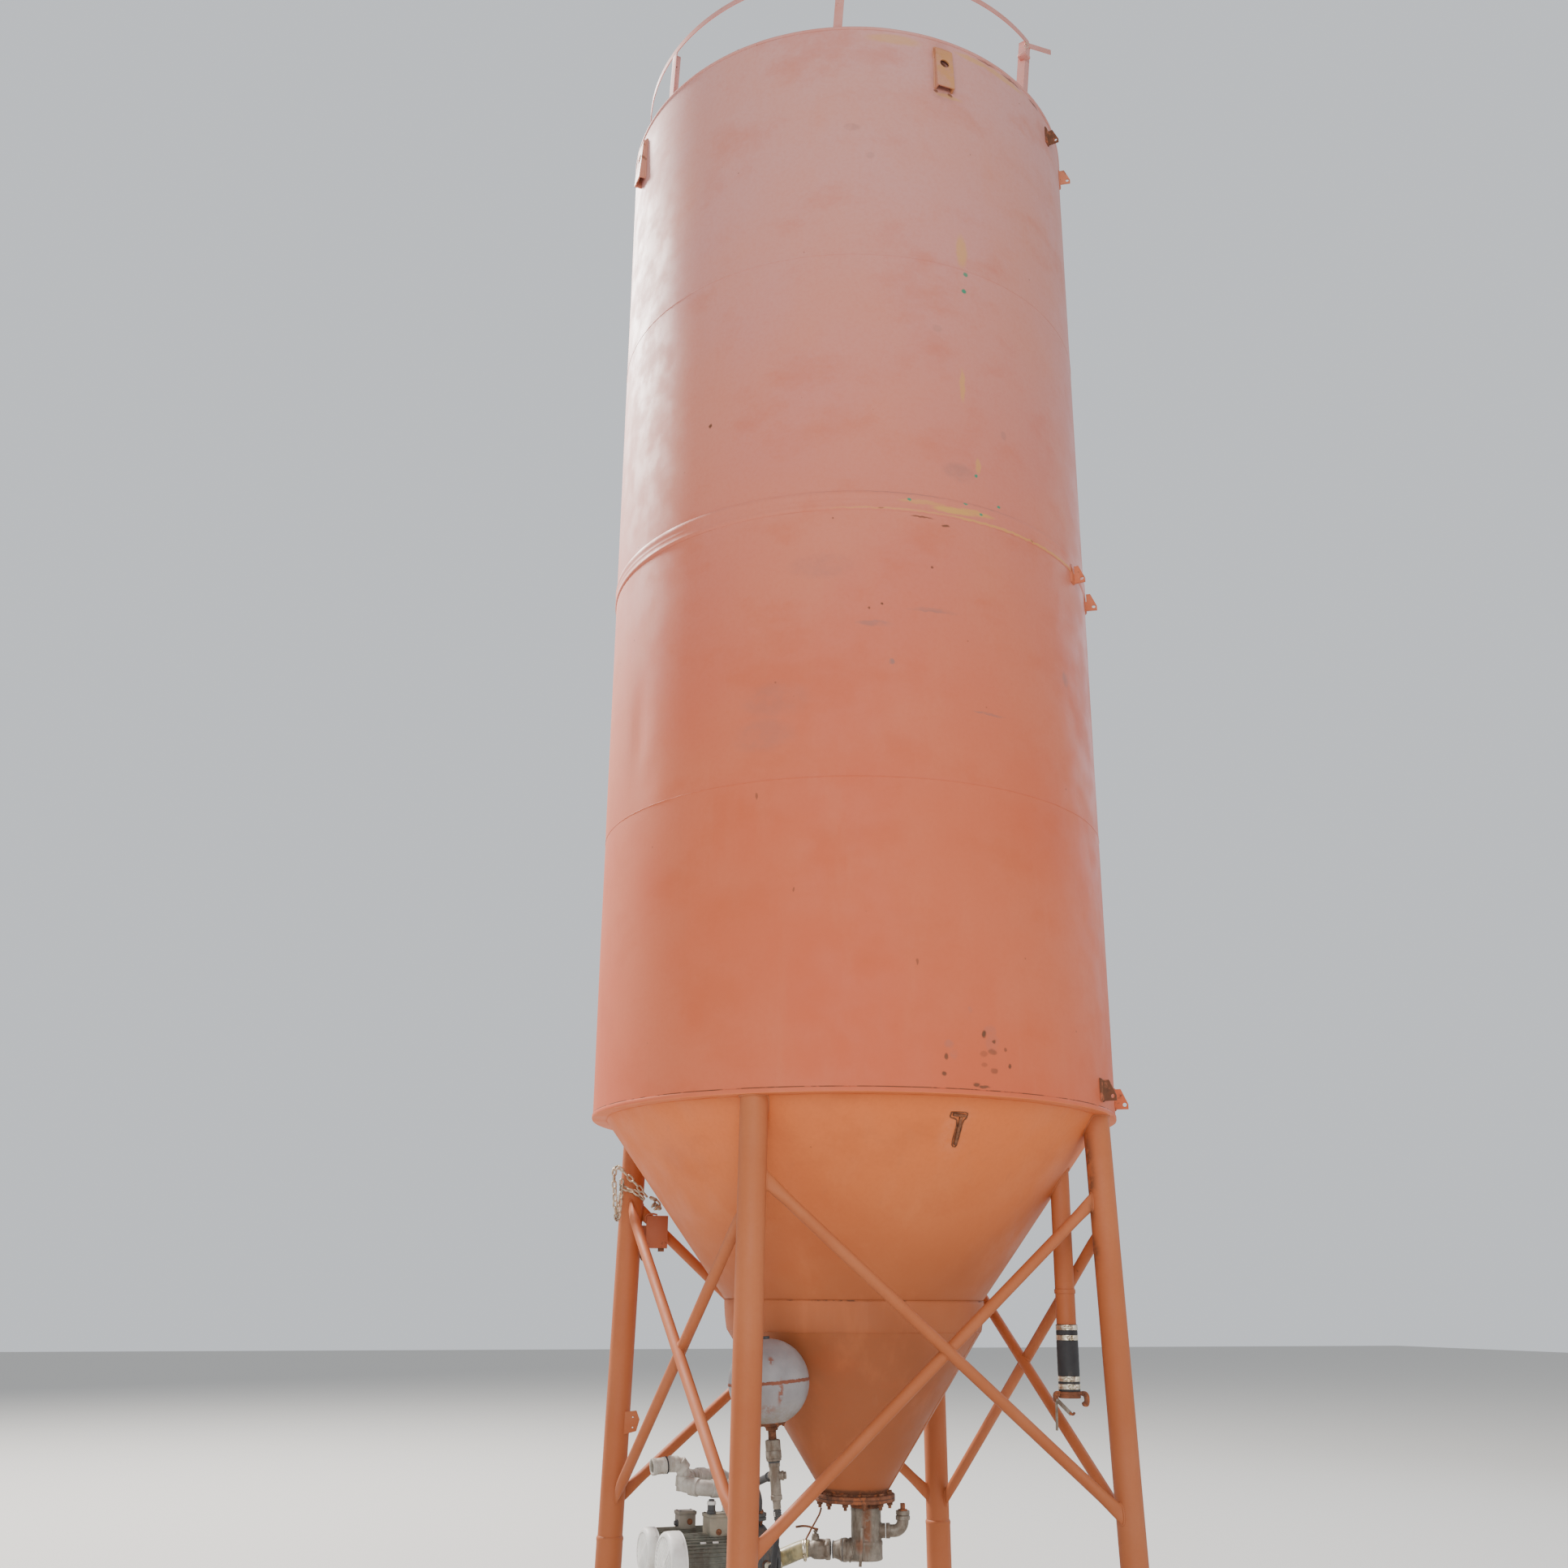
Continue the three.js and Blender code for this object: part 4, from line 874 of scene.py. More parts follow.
tank = {
    "radius": 1.2,
    "wall": 0.005,
    "ringTop": 2.4,
    "courseTops": (3.685, 4.935, 6.29, 7.63),
    "bandHeight": 0.095,
    "steps": 180,
    "rows": 18,
    "seamParts": 24,
    "weldFace": 1.2018,
    "waviness": 0.0015,
    "fineWaviness": 0.04,
    "heldEdge": 0.1,
    "flatCentre": 0.4,
    "seamBead": 0.0017,
    "beadSteps": (540, 8),
    "dents": (  # degrees round the tank, height, half width in metres, half height, depth
        (-79, 4.05, 0.1, 0.34, 0.013),
        (-74, 3.8, 0.1, 0.12, 0.007),
        (-80, 6.72, 0.14, 0.16, 0.008),
        (-83, 6.45, 0.1, 0.2, 0.005),
        (14, 5.6, 0.3, 0.2, 0.003),
        (118, 3.1, 0.25, 0.3, 0.008),
        (196, 5.2, 0.2, 0.25, 0.007),
    ),
    "uprightSeams": (112, 204, 138, 231),
}


def dentSheet(piece, edges, seed=0.0):  # oil-canning and dents, none at the welded edges
    low, high = edges
    for vertex in piece.data.vertices:
        spot = vertex.co
        flat = Vector((spot.x, spot.y, 0))
        if flat.length < tank["flatCentre"]:
            continue
        inwards = tank["waviness"] * noise.noise(Vector((spot.x * 1.6, spot.y * 1.6, spot.z * 1.1 + seed)))
        fine = noise.noise(Vector((spot.x * 5, spot.y * 5, spot.z * 3.5 + seed)))
        inwards += tank["fineWaviness"] * tank["waviness"] * fine
        degrees = math.degrees(math.atan2(spot.x, -spot.y))
        for middle, height, width, tall, depth in tank["dents"]:
            aside = math.radians((degrees - middle + 180) % 360 - 180) * tank["radius"]
            inwards += depth * math.exp(-((aside / width) ** 2 + ((spot.z - height) / tall) ** 2) * 2)
        above, below = (spot.z - low) / tank["heldEdge"], (high - spot.z) / tank["heldEdge"]
        held = min(1.0, max(0.0, above), max(0.0, below))
        vertex.co -= flat.normalized() * inwards * held
    piece.data.update()
    return piece


def beadRing(name, radius, height, size, seed=0.0):  # a weld bead right round the tank
    clearSelection()
    around, across = tank["beadSteps"]
    bpy.ops.mesh.primitive_torus_add(
        major_radius=radius, minor_radius=size, major_segments=around, minor_segments=across,
        location=(0, 0, height))
    piece = settle(named(name))
    for vertex in piece.data.vertices:
        angle = math.atan2(vertex.co.x, -vertex.co.y)
        core = roundPoint(radius, math.degrees(angle), height)
        swell = 0.8 + 0.5 * noise.noise(Vector((math.cos(angle) * 40, math.sin(angle) * 40, seed)))
        sway = 0.5 * size * noise.noise(Vector((math.cos(angle) * 9, math.sin(angle) * 9, seed + 5)))
        vertex.co = core + (vertex.co - core) * swell + Vector((0, 0, sway))
    piece.data.update()
    return piece


def makeShell():
    radius, wall, ringTop = tank["radius"], tank["wall"], tank["ringTop"]
    low = ringTop
    for index, top in enumerate(tank["courseTops"]):
        rows, parts = tank["rows"], tank["seamParts"]
        outside = [(radius, low + (top - low) * row / rows) for row in range(rows + 1)]
        inside = [(radius - wall, high) for _, high in reversed(outside)]
        course = turnedPiece(f"shellCourse{index + 1}", outside + inside, tank["steps"])
        dentSheet(course, (low, top), index * 7.3)
        degrees = tank["uprightSeams"][index]
        points = [roundPoint(radius + 0.0002, degrees, low + (top - low) * part / parts)
                  for part in range(parts + 1)]
        seam = roughen(curvedPiece(f"upright{index}", points, 0.003, 3), 0.0012, 45, index)
        course = join(f"shellCourse{index + 1}", [course, seam])
        finish(course, paints["shell"], [f"shell_course_{index + 1}"])
        low = top + (tank["bandHeight"] if index == 1 else 0)
    tops, size = tank["courseTops"], tank["seamBead"]
    beads = [beadRing("bead", radius, tops[index], size, index) for index in (0, 2)]
    finish(join("shellSeams", beads), paints["shell"])


# the doubled band: a thin lower lip, a flat with a faint ridge, and a round upper lip
bandShape = {
    "rise": (0.0002, 0.004, 0.009, 0.014, 0.019, 0.024, 0.04, 0.044, 0.048, 0.06, 0.068, 0.078, 0.087, 0.095),
    "reachMillimetres": (0.6, 3.4, 5.6, 6.4, 5.8, 4.6, 4.4, 5.2, 4.4, 4.4, 6.0, 6.4, 5.0, 0.3),
    "sag": 0.0018,
    "hollow": 0.0006,
}


def makeBand():
    low, radius, wall = tank["courseTops"][1], tank["radius"], tank["wall"]
    rises, reaches = bandShape["rise"], bandShape["reachMillimetres"]
    profile = [(radius + reach / 1000, low + rise) for reach, rise in zip(reaches, rises)]
    profile += [(radius - wall, low + tank["bandHeight"]), (radius - wall, low)]
    band = turnedPiece("middleBand", profile, 360)
    for vertex in band.data.vertices:
        if Vector(vertex.co.xy).length > radius + 0.0005:
            angle = math.atan2(vertex.co.x, -vertex.co.y)
            ripple = noise.noise(Vector((math.cos(angle) * 7, math.sin(angle) * 7, vertex.co.z * 14)))
            vertex.co.z += bandShape["sag"] * ripple
            vertex.co.xy = Vector(vertex.co.xy) * (1 - bandShape["hollow"] * abs(ripple))
    finish(band, paints["band"], ["middle_band"])


roof = {
    "rimLow": 7.6303,
    "low": 7.6486,
    "edge": 1.196,
    "neck": 0.3,
    "row": 0.112,
    "rows": 9,
    "slope": math.tan(math.radians(12)),
    "ribs": 8,
    "clamps": 6,
    "clampCircle": 0.341,
}


def makeRoof():
    rimLow = roof["rimLow"]
    rim = turnedPiece("topRim", [
        (1.2005, rimLow), (1.204, rimLow + 0.002), (1.206, rimLow + 0.006), (1.206, rimLow + 0.012),
        (1.203, rimLow + 0.0165), (1.199, rimLow + 0.018), (1.18, rimLow + 0.018), (1.18, rimLow),
    ], 288)
    finish(roughen(rim, 0.0008, 9), paints["rail"], ["top_rim"])
    low, edge, slope, row = roof["low"], roof["edge"], roof["slope"], roof["row"]
    neck = low + (edge - roof["neck"]) * slope
    profile = [(edge - row * number, low + 0.005 + row * number * slope) for number in range(roof["rows"])]
    profile[0] = (edge, low + 0.004)
    profile += [
        (0.3, neck + 0.078), (0.333, neck + 0.078), (0.335, neck + 0.081), (0.335, neck + 0.089),
        (0.333, neck + 0.09), (0.295, neck + 0.09), (0.295, neck), (edge, low),
    ]
    sheet = roughen(turnedPiece("roofCone", profile, 144), 0.0015, 2.2)
    ribs = []
    for rib in range(roof["ribs"]):
        degrees = 22.5 + rib * 45
        points = [roundPoint(1.19 - 0.11 * step, degrees, low + 0.005 + (0.006 + 0.11 * step) * slope)
                  for step in range(roof["rows"])]
        ribs.append(roughen(curvedPiece(f"rib{rib}", points, 0.003, 3), 0.001, 40, rib))
    finish(join("roofCone", [sheet, *ribs]), paints["roof"], ["roof_cone"])
    top = neck + 0.0903
    lid = turnedPiece("hatchLid", [
        (0, top), (0.332, top), (0.336, top + 0.001), (0.338, top + 0.003), (0.338, top + 0.007),
        (0.335, top + 0.008), (0.27, top + 0.0125), (0.26, top + 0.0138), (0, top + 0.014),
    ], 96)
    grips = []
    for side in (-1, 1):
        middle = side * 0.1
        bow = [(0.0, middle - 0.05, top + 0.01), (0.0, middle - 0.048, top + 0.028),
               (0.0, middle - 0.035, top + 0.038), (0.0, middle + 0.035, top + 0.038),
               (0.0, middle + 0.048, top + 0.028), (0.0, middle + 0.05, top + 0.01)]
        grips.append(curvedPiece("grip", smoothPath(bow, 5), 0.006, 5))
    finish(join("hatchLid", [lid, *grips]), paints["roof"], ["roof_hatch_lid"])
    clamp = join("clamp", [blockPiece("clamp", (0.03, 0.026, 0.03), (0, 0, 0), 0.003),
                           *boltPieces((0, -0.002, 0.015), (0, 0, 1), 0.008, 0.7, 0.004)])
    turns = [15 + 60 * number for number in range(roof["clamps"])]
    places = [Matrix.Translation(roundPoint(roof["clampCircle"], degrees, top - 0.008)) @ turn(degrees)
              for degrees in turns]
    finish(spread("hatchClamps", clamp, places), finishes["rust"])


# cone, from the base ring down to the bolted outlet

coneShape = {  # radius and height at each edge
    "rim": (1.152, 2.4),
    "ringEdge": (1.1376, 2.379),
    "bandTop": (0.575, 1.6043),
    "bandLow": (0.565, 1.4777),
    "outlet": (0.138, 0.816),
    "sheet": 0.006,
    "upperSeams": (78, 150, 238),
    "lowerSeams": (48, -132),
}
(rimRadius, rimHeight), (kneeRadius, kneeHeight) = coneShape["rim"], coneShape["bandTop"]
coneSlope = (rimRadius - kneeRadius) / (rimHeight - kneeHeight)


def sheetLines(low, high, rows):  # the outer and the inner line of a cone's sheet
    outer = [(low[0] + (high[0] - low[0]) * row / rows, low[1] + (high[1] - low[1]) * row / rows)
             for row in range(rows + 1)]
    return outer + [(radius - coneShape["sheet"], height) for radius, height in reversed(outer)]


def makeCone():
    ring = turnedPiece("baseRing", [
        (1.1497, 2.38), (1.15, 2.4), (1.1523, 2.4), (1.2, 2.4), (1.203, 2.399), (1.204, 2.3965),
        (1.204, 2.384), (1.2025, 2.3805), (1.2, 2.38), (1.138, 2.38),
    ], 288)
    finish(roughen(ring, 0.0007, 12), paints["ring"], ["base_ring"])
    rim, bandTop = coneShape["rim"], coneShape["bandTop"]
    cone = dentSheet(turnedPiece("upperCone", sheetLines(bandTop, rim, 14), 180), (bandTop[1], rim[1]), 31)
    seams = []
    for degrees in coneShape["upperSeams"]:
        points = [roundPoint(0.578 + 0.571 * part / 16, degrees, 1.608 + 0.788 * part / 16)
                  for part in range(17)]
        seams.append(roughen(curvedPiece("coneSeam", points, 0.0026, 3), 0.001, 45, degrees))
    finish(join("upperCone", [cone, *seams]), paints["cone"], ["upper_cone"])
    band = turnedPiece("coneBand", [
        (0.5655, 1.4785), (0.569, 1.487), (0.5725, 1.51), (0.5765, 1.54), (0.5796, 1.58), (0.5803, 1.6),
        (0.5785, 1.604), (0.57, 1.604), (0.56, 1.4785),
    ], 180)
    finish(roughen(band, 0.0009, 7), paints["cone"], ["cone_band"])
    lower = sheetLines(coneShape["outlet"], coneShape["bandLow"], 12)
    cone = roughen(turnedPiece("lowerCone", lower, 160), 0.0014, 2.6, 3)
    seams = []
    for degrees in coneShape["lowerSeams"]:
        points = [roundPoint(0.141 + 0.42 * part / 12, degrees, 0.82 + 0.654 * part / 12)
                  for part in range(13)]
        seams.append(roughen(curvedPiece("lowerSeam", points, 0.0026, 3), 0.001, 45, degrees))
    finish(join("lowerCone", [cone, *seams]), paints["cone"], ["lower_cone"])
    rings = ((1.1385, 2.379, 0.0022), (0.5795, 1.6045, 0.0022), (0.5655, 1.478, 0.0018),
             (0.1395, 0.8185, 0.0045))
    beads = [beadRing("bead", *ring, seed) for seed, ring in enumerate(rings, 1)]
    finish(join("coneWelds", beads), paints["cone"])


makeShell()
makeBand()
makeRoof()
makeCone()
print("tank made")


# legs and braces

legs = {
    "angles": {"front_left": -45, "front_right": 45, "back_right": 135, "back_left": 225},
    "radius": 0.05715,
    "top": (1.133, 2.4),
    "floor": (1.208, 0.0),
    "splice": 0.57,
    "plate": (0.24, 0.24, 0.014),
    "boltReach": 0.09,
}
braces = {
    "radius": 0.02415,
    "offset": 0.02,
    "flatLength": 0.06,
    "flatFade": 0.13,
    "thin": (0.42, 0.58),
    "wide": (1.24, 0.24),
    "sides": {  # the two legs, then the heights at each of them of the rising and of the falling brace
        "front": ("front_left", "front_right", (0.69, 2.06), (2.094, 0.754)),
        "right": ("front_right", "back_right", (0.728, 2.05), (1.952, 0.642)),
        "back": ("back_right", "back_left", (0.658, 2.05), (2.06, 0.706)),
        "left": ("back_left", "front_left", (0.706, 2.008), (2.062, 0.798)),
    },
}


def legPoint(leg, height):
    share = height / legs["top"][1]
    return roundPoint(legs["floor"][0] + (legs["top"][0] - legs["floor"][0]) * share, legs["angles"][leg],
                      height)


def legAxis(leg):
    return (legPoint(leg, legs["top"][1]) - legPoint(leg, 0)).normalized()


def collarPoints(leg, height, radius, lift=None, count=40):  # a ring of points round a leg's tube
    centre = legPoint(leg, height)
    axis = legAxis(leg)
    side = axis.cross(Vector((1, 0, 0))).normalized()
    front = axis.cross(side)
    points = []
    for step in range(count):
        angle = 2 * math.pi * step / count
        point = centre + (side * math.cos(angle) + front * math.sin(angle)) * radius
        points.append(point if lift is None else lift(point, axis))
    return points


def coneSkin():  # the cone's outer face as a closed cutter
    outlet, rim = coneShape["outlet"], coneShape["rim"]
    return turnedPiece("coneCutter", [
        (0, outlet[1]), outlet, (0.565, 1.478), (0.57, 1.478), (0.58, 1.604), coneShape["bandTop"], rim,
        (0, rim[1]),
    ], 180)


def onCone(point, axis):  # slides a point up a leg until it meets the cone or the base ring
    ringInside, ringLow = coneShape["ringEdge"]
    for _ in range(30):
        radius = Vector(point.xy).length
        target = ringLow
        if radius < ringInside:
            target = min(ringLow, rimHeight - (rimRadius - radius) / coneSlope)
        point = point + axis * (target - point.z) / axis.z * 0.9
    return point


def makeLegs():
    for leg in legs["angles"]:
        title = leg.split("_")[0] + leg.split("_")[1].title()
        tube = rodPiece(f"leg{title}", legPoint(leg, legs["splice"]), legPoint(leg, 2.44), legs["radius"],
                        48, 5)
        cutAway(tube, blockPiece("above", (0.6, 0.6, 0.2), (*legPoint(leg, 2.38).xy, 2.4797), 0))
        cutAway(tube, coneSkin())
        roughen(tube, 0.0006, 6, legs["angles"][leg])
        weld = curvedPiece("weld", collarPoints(leg, 2.2, legs["radius"] + 0.001, onCone), 0.0055, 4,
                           closed=True)
        roughen(weld, 0.0022, 60, legs["angles"][leg])
        finish(join(f"leg{title}", [tube, weld]), paints["frame"], [f"leg_{leg}"])
        foot = turnedPiece("foot", [
            (0.0555, 0.007), (0.0605, 0.007), (0.0605, 0.556), (0.0612, 0.561), (0.0623, 0.567),
            (0.0618, 0.573), (0.0595, 0.579), (0.0572, 0.581), (0.0571, 0.572), (0.0555, 0.57),
        ], 48)
        start = legPoint(leg, 0)
        settle(foot, along(start, legPoint(leg, legs["top"][1]) - start))
        plate = blockPiece("plate", legs["plate"], (start.x, start.y, legs["plate"][2] / 2), 0.002)
        ring = weldBead(collarPoints(leg, 0.0165, 0.0625), 0.005, True, 3)
        finish(join(f"foot{title}", [foot, plate, ring]), paints["frame"],
               [f"leg_foot_{leg}"])
        bolt = join("footBolt", boltPieces((0, 0, 0.014), (0, 0, 1), 0.0155, 0.9, 0.012))
        reach = legs["boltReach"]
        places = [Matrix.Translation((start.x + across * reach, start.y + deep * reach, 0))
                  @ turn(20 * across + 7 * deep)
                  for across in (-1, 1) for deep in (-1, 1)]
        finish(spread(f"footBolts{title}", bolt, places), finishes["rust"])


def braceTube(name, start, end, outward, offset):
    length = (end - start).length
    clearSelection()
    bpy.ops.mesh.primitive_cylinder_add(vertices=32, radius=braces["radius"], depth=length)
    tube = named(name)
    bpy.ops.object.mode_set(mode="EDIT")
    for height in [part * 0.02 for part in range(1, 11)]:
        for side in (-1, 1):
            bpy.ops.mesh.select_all(action="SELECT")
            bpy.ops.mesh.bisect(plane_co=(0, 0, side * (length / 2 - height)), plane_no=(0, 0, 1))
    bpy.ops.object.mode_set(mode="OBJECT")
    for vertex in tube.data.vertices:
        fromEnd = length / 2 - abs(vertex.co.z)
        share = min(1.0, max(0.0, (fromEnd - braces["flatLength"]) / braces["flatFade"]))
        share = share * share * (3 - 2 * share)
        vertex.co.x *= braces["thin"][0] + braces["thin"][1] * share
        vertex.co.y *= braces["wide"][0] - braces["wide"][1] * share
    lengthwise = (end - start).normalized()
    across = outward.cross(lengthwise).normalized()
    face = lengthwise.cross(across)
    facing = Matrix((face, across, lengthwise)).transposed()
    if facing.determinant() < 0:
        facing = Matrix((face, -across, lengthwise)).transposed()
    centre = (start + end) / 2 + face * offset
    settle(tube, Matrix.Translation(centre) @ facing.to_4x4())
    return tube, face


def legCutter(leg):
    return rodPiece("legCutter", legPoint(leg, -0.1), legPoint(leg, 2.5), legs["radius"] + 0.0002, 48)


def makeBraces():
    for side, (first, second, rising, falling) in braces["sides"].items():
        firstAngle, secondAngle = legs["angles"][first], legs["angles"][second]
        if secondAngle < firstAngle:
            secondAngle += 360
        outward = roundPoint(1, (firstAngle + secondAngle) / 2)
        for kind, heights, offset in (("Falling", falling, braces["offset"]), ("Rising", rising, 0.0)):
            start, end = legPoint(first, heights[0]), legPoint(second, heights[1])
            tube, face = braceTube("tube", start, end, outward, offset)
            for leg in (first, second):
                cutAway(tube, legCutter(leg))
            if kind == "Falling":
                bigger = braceCutter(start, end, outward, offset)
                crossed = (start + face * offset, end + face * offset)
            else:
                cutAway(tube, bigger)
            ends = ((first, start, end), (second, end, start))
            welds = [braceWeld(leg, here, there, face, offset) for leg, here, there in ends]
            if kind == "Rising":
                welds.append(crossingWeld((start, end), crossed, len(side)))
            finish(join(f"brace{side.title()}{kind}", [tube, *welds]), paints["frame"],
                   [f"brace_{side}_{kind.lower()}"])


def braceCutter(start, end, outward, offset):
    tube, _ = braceTube("crossingCutter", start, end, outward, offset)
    centre, axis = (start + end) / 2, (end - start).normalized()
    for vertex in tube.data.vertices:
        shift = vertex.co - centre
        sideways = shift - axis * shift.dot(axis)
        if sideways.length > 1e-6:
            vertex.co += sideways.normalized() * 0.0003
    tube.data.update()
    return tube


def braceWeld(leg, here, there, face, offset):  # a bead round a brace's flattened end, on the leg's tube
    axis = (there - here).normalized()
    across = axis.cross(face).normalized()
    core = here + face * offset
    up = legAxis(leg)
    base = legPoint(leg, 0)
    points = []
    for step in range(28):
        angle = 2 * math.pi * step / 28
        start = core + face * 0.0115 * math.cos(angle) + across * 0.031 * math.sin(angle)
        low, high = 0.0, 0.2
        for _ in range(24):  # walk out along the brace until the leg's surface is reached
            middle = (low + high) / 2
            spot = start + axis * middle - base
            away = (spot - up * spot.dot(up)).length
            low, high = (middle, high) if away < legs["radius"] + 0.001 else (low, middle)
        points.append(start + axis * high)
    return roughen(curvedPiece("weld", points, 0.0038, 4, closed=True), 0.0014, 70, here.z)


def crossingWeld(rising, falling, seed):  # a bead along the line where the two tubes' faces meet
    (start, end), (low, high) = rising, falling
    one, other = (end - start).normalized(), (high - low).normalized()
    normal = one.cross(other)
    sine = normal.length
    share = (low - start).cross(other).dot(normal) / sine ** 2
    normal = normal.normalized()
    apart = (low - start).dot(normal)
    if apart < 0:
        normal, apart = -normal, -apart
    middle = start + one * share + normal * apart / 2
    radius = braces["radius"]
    rows = []
    for step in range(19):
        angle = math.radians(11 * step - 99)
        level = radius * math.cos(angle) - apart / 2
        reach = math.sqrt(max(0.0, radius ** 2 - (level - apart / 2) ** 2)) / sine
        rows.append((other * radius * math.sin(angle) / sine + normal * level, one * reach))
    points = [middle + spot + reach for spot, reach in rows]
    points += [middle + spot - reach for spot, reach in reversed(rows)]
    return roughen(curvedPiece("crossing", points, 0.0028, 4, closed=True), 0.0014, 60, seed)


makeLegs()
makeBraces()
print("legs and braces made")


# guard rail, lifting lugs and ladder brackets

def nodeCopy(node, name, bevel):  # a copy of a CAD node with its edges softened
    source = next(thing for thing in bpy.data.objects if thing.name == node)
    piece = bpy.data.objects.new(name, source.data.copy())
    bpy.context.collection.objects.link(piece)
    select(piece)
    bpy.ops.object.mode_set(mode="EDIT")
    bpy.ops.mesh.select_all(action="SELECT")
    bpy.ops.mesh.remove_doubles(threshold=0.00005)
    bpy.ops.mesh.dissolve_limited(angle_limit=math.radians(1))
    bpy.ops.object.mode_set(mode="OBJECT")
    bevelEdges(piece, bevel, 1)
    return named(name)


rail = {
    "top": 8.052,
    "radius": 1.162,
    "centre": (0.027, -0.013),
    "postTops": (74, 126, 178, 230, 279.6, 333, 390.7),
    "postFeet": (74, 126, 178, 230, 283.6, 333.3, 388.2),
    "footRadius": 1.186,
    "footWeld": ((-0.024, 0), (0.024, -0.001), (0.024, 0.006), (-0.015, 0.007), (-0.016, 0.045),
                 (-0.024, 0.045)),
    "hookTurn": 29,
    "hook": (
        (0.0, 0.0, -0.034), (0.006, -0.004, -0.04), (0.012, -0.005, -0.052), (0.01, -0.004, -0.066),
        (0.001, -0.001, -0.072), (-0.006, 0.002, -0.066), (-0.007, 0.002, -0.056),
    ),
}
lug = {
    "turns": {"front": -0.9, "right": 89.1, "back": 179.1, "left": 269.1},
    "foot": 7.325,
    "width": 0.094,
    "height": 0.26,
    "depth": 0.037,
}
brackets = {
    "columns": {"left": 39.5, "right": 55},
    "lows": {"bottom": 2.428, "middle": 4.886, "top": 7.48},
    "height": 0.09,
    "pad": 0.04,
}


def makeRail():
    railing = nodeCopy("guard_rail", "guardRail", 0.001)
    welds = []
    for top, foot in zip(rail["postTops"], rail["postFeet"]):
        low = roof["low"] + (roof["edge"] - rail["footRadius"]) * roof["slope"] + 0.006
        across = roundPoint(1, foot + 90)
        inwards = -roundPoint(1, foot)
        centre = roundPoint(rail["footRadius"], foot, low)
        points = [centre + across * aside + inwards * deep + Vector((0, 0, 0.21 * deep))
                  for aside, deep in rail["footWeld"]]
        welds.append(weldBead(points, 0.0035, True, foot))
        joint = roundPoint(rail["radius"] - 0.004, top, rail["top"] - 0.031) + Vector((*rail["centre"], 0))
        side = roundPoint(1, top + 90)
        welds.append(weldBead([joint + side * 0.022, joint, joint - side * 0.022], 0.0032, False, top))
    collar = roundPoint(rail["footRadius"] - 0.006, 388.6, 7.905) + Vector((0.004, -0.002, 0))
    welds.append(blockPiece("collar", (0.054, 0.05, 0.018), collar, 0.003, 388.6))
    finish(join("guardRail", [railing, *welds]), paints["rail"], ["guard_rail"])
    hook = roundPoint(rail["radius"], rail["hookTurn"], rail["top"]) + Vector((*rail["centre"], 0))
    points = [hook + Vector(step) for step in rail["hook"]]
    wire = curvedPiece("railHook", smoothPath(points, 5), 0.0016, 2)
    wrap = [hook + Vector((0.0035 * math.cos(step), 0.0035 * math.sin(step), -0.03 - 0.0016 * step))
            for step in range(12)]
    wrapped = curvedPiece("wrap", smoothPath(wrap, 4), 0.0014, 2)
    finish(join("railHook", [wire, wrapped]), finishes["chain"])


def makeLugs():
    for side, degrees in lug["turns"].items():
        piece = nodeCopy(f"lifting_lug_{side}", f"liftingLug{side.title()}", 0.0012)
        roughen(piece, 0.0001, 14, degrees)
        half, foot, top = lug["width"] / 2, lug["foot"], lug["foot"] + lug["height"]
        rising = [(half + 0.001, foot + 0.004), (half + 0.001, foot + 0.09), (half + 0.001, foot + 0.18),
                  (half + 0.0005, top - 0.004), (half * 0.4, top + 0.001)]
        outline = [(-across, height) for across, height in rising] + rising[::-1]
        points = [turn(degrees) @ Vector((across, -tank["weldFace"], height))
                  for across, height in smoothOutline(outline)]
        seam = weldBead(points, 0.0042, False, degrees)
        finish(join(f"liftingLug{side.title()}", [piece, seam]), paints["lug"],
               [f"lifting_lug_{side}"])


def smoothOutline(outline):  # an even line through points in the plane
    return [(point.x, point.y) for point in smoothPath([(x, y, 0) for x, y in outline], 5)]


def makeBrackets():
    for column, degrees in brackets["columns"].items():
        hand = 1 if column == "left" else -1
        for level, low in brackets["lows"].items():
            name = f"ladderBracket{column.title()}{level.title()}"
            piece = nodeCopy(f"ladder_bracket_{column}_{level}", name, 0.001)
            near, far = hand * 0.0055, hand * (0.004 - brackets["pad"] - 0.001)
            high = low + brackets["height"]
            outline = [(near, low - 0.001), (far, low - 0.001), (far, (low + high) / 2), (far, high + 0.001),
                       (near, high + 0.001)]
            face = tank["weldFace"]
            points = [turn(degrees) @ Vector((across, -face, height)) for across, height in outline]
            seams = [weldBead(points, 0.0036, False, degrees + low)]
            root = [turn(degrees) @ Vector((hand * 0.0055, -face, low + 0.004 + part * 0.0135))
                    for part in range(7)]
            seams.append(weldBead(root, 0.0036, False, degrees - low))
            paint = "rustFitting" if column == "left" and level != "middle" else "fitting"
            finish(join(name, [piece, *seams]), paints[paint],
                   [f"ladder_bracket_{column}_{level}"])


makeRail()
makeLugs()
makeBrackets()
print("rail, lugs and brackets made")


# small fittings: the cut stub on the cone, and the box, plate and chain on the back left leg

smallFittings = {
    "coneBar": ((-0.062, -1.089, 2.316), (-0.003, -1.09, 2.314)),
    "coneStem": ((-0.0225, -1.085, 2.309), (-0.0155, -1.013, 2.207)),
    "boxCentre": (-0.69, 0.764, 1.911),
    "boxSize": (0.105, 0.046, 0.15),
    "legSide": -17.0,
    "plateCentre": (-0.78, 0.7655, 1.062),
    "chainLink": (0.043, 0.029, 0.005),
    "linkOverlap": 2.4,
}


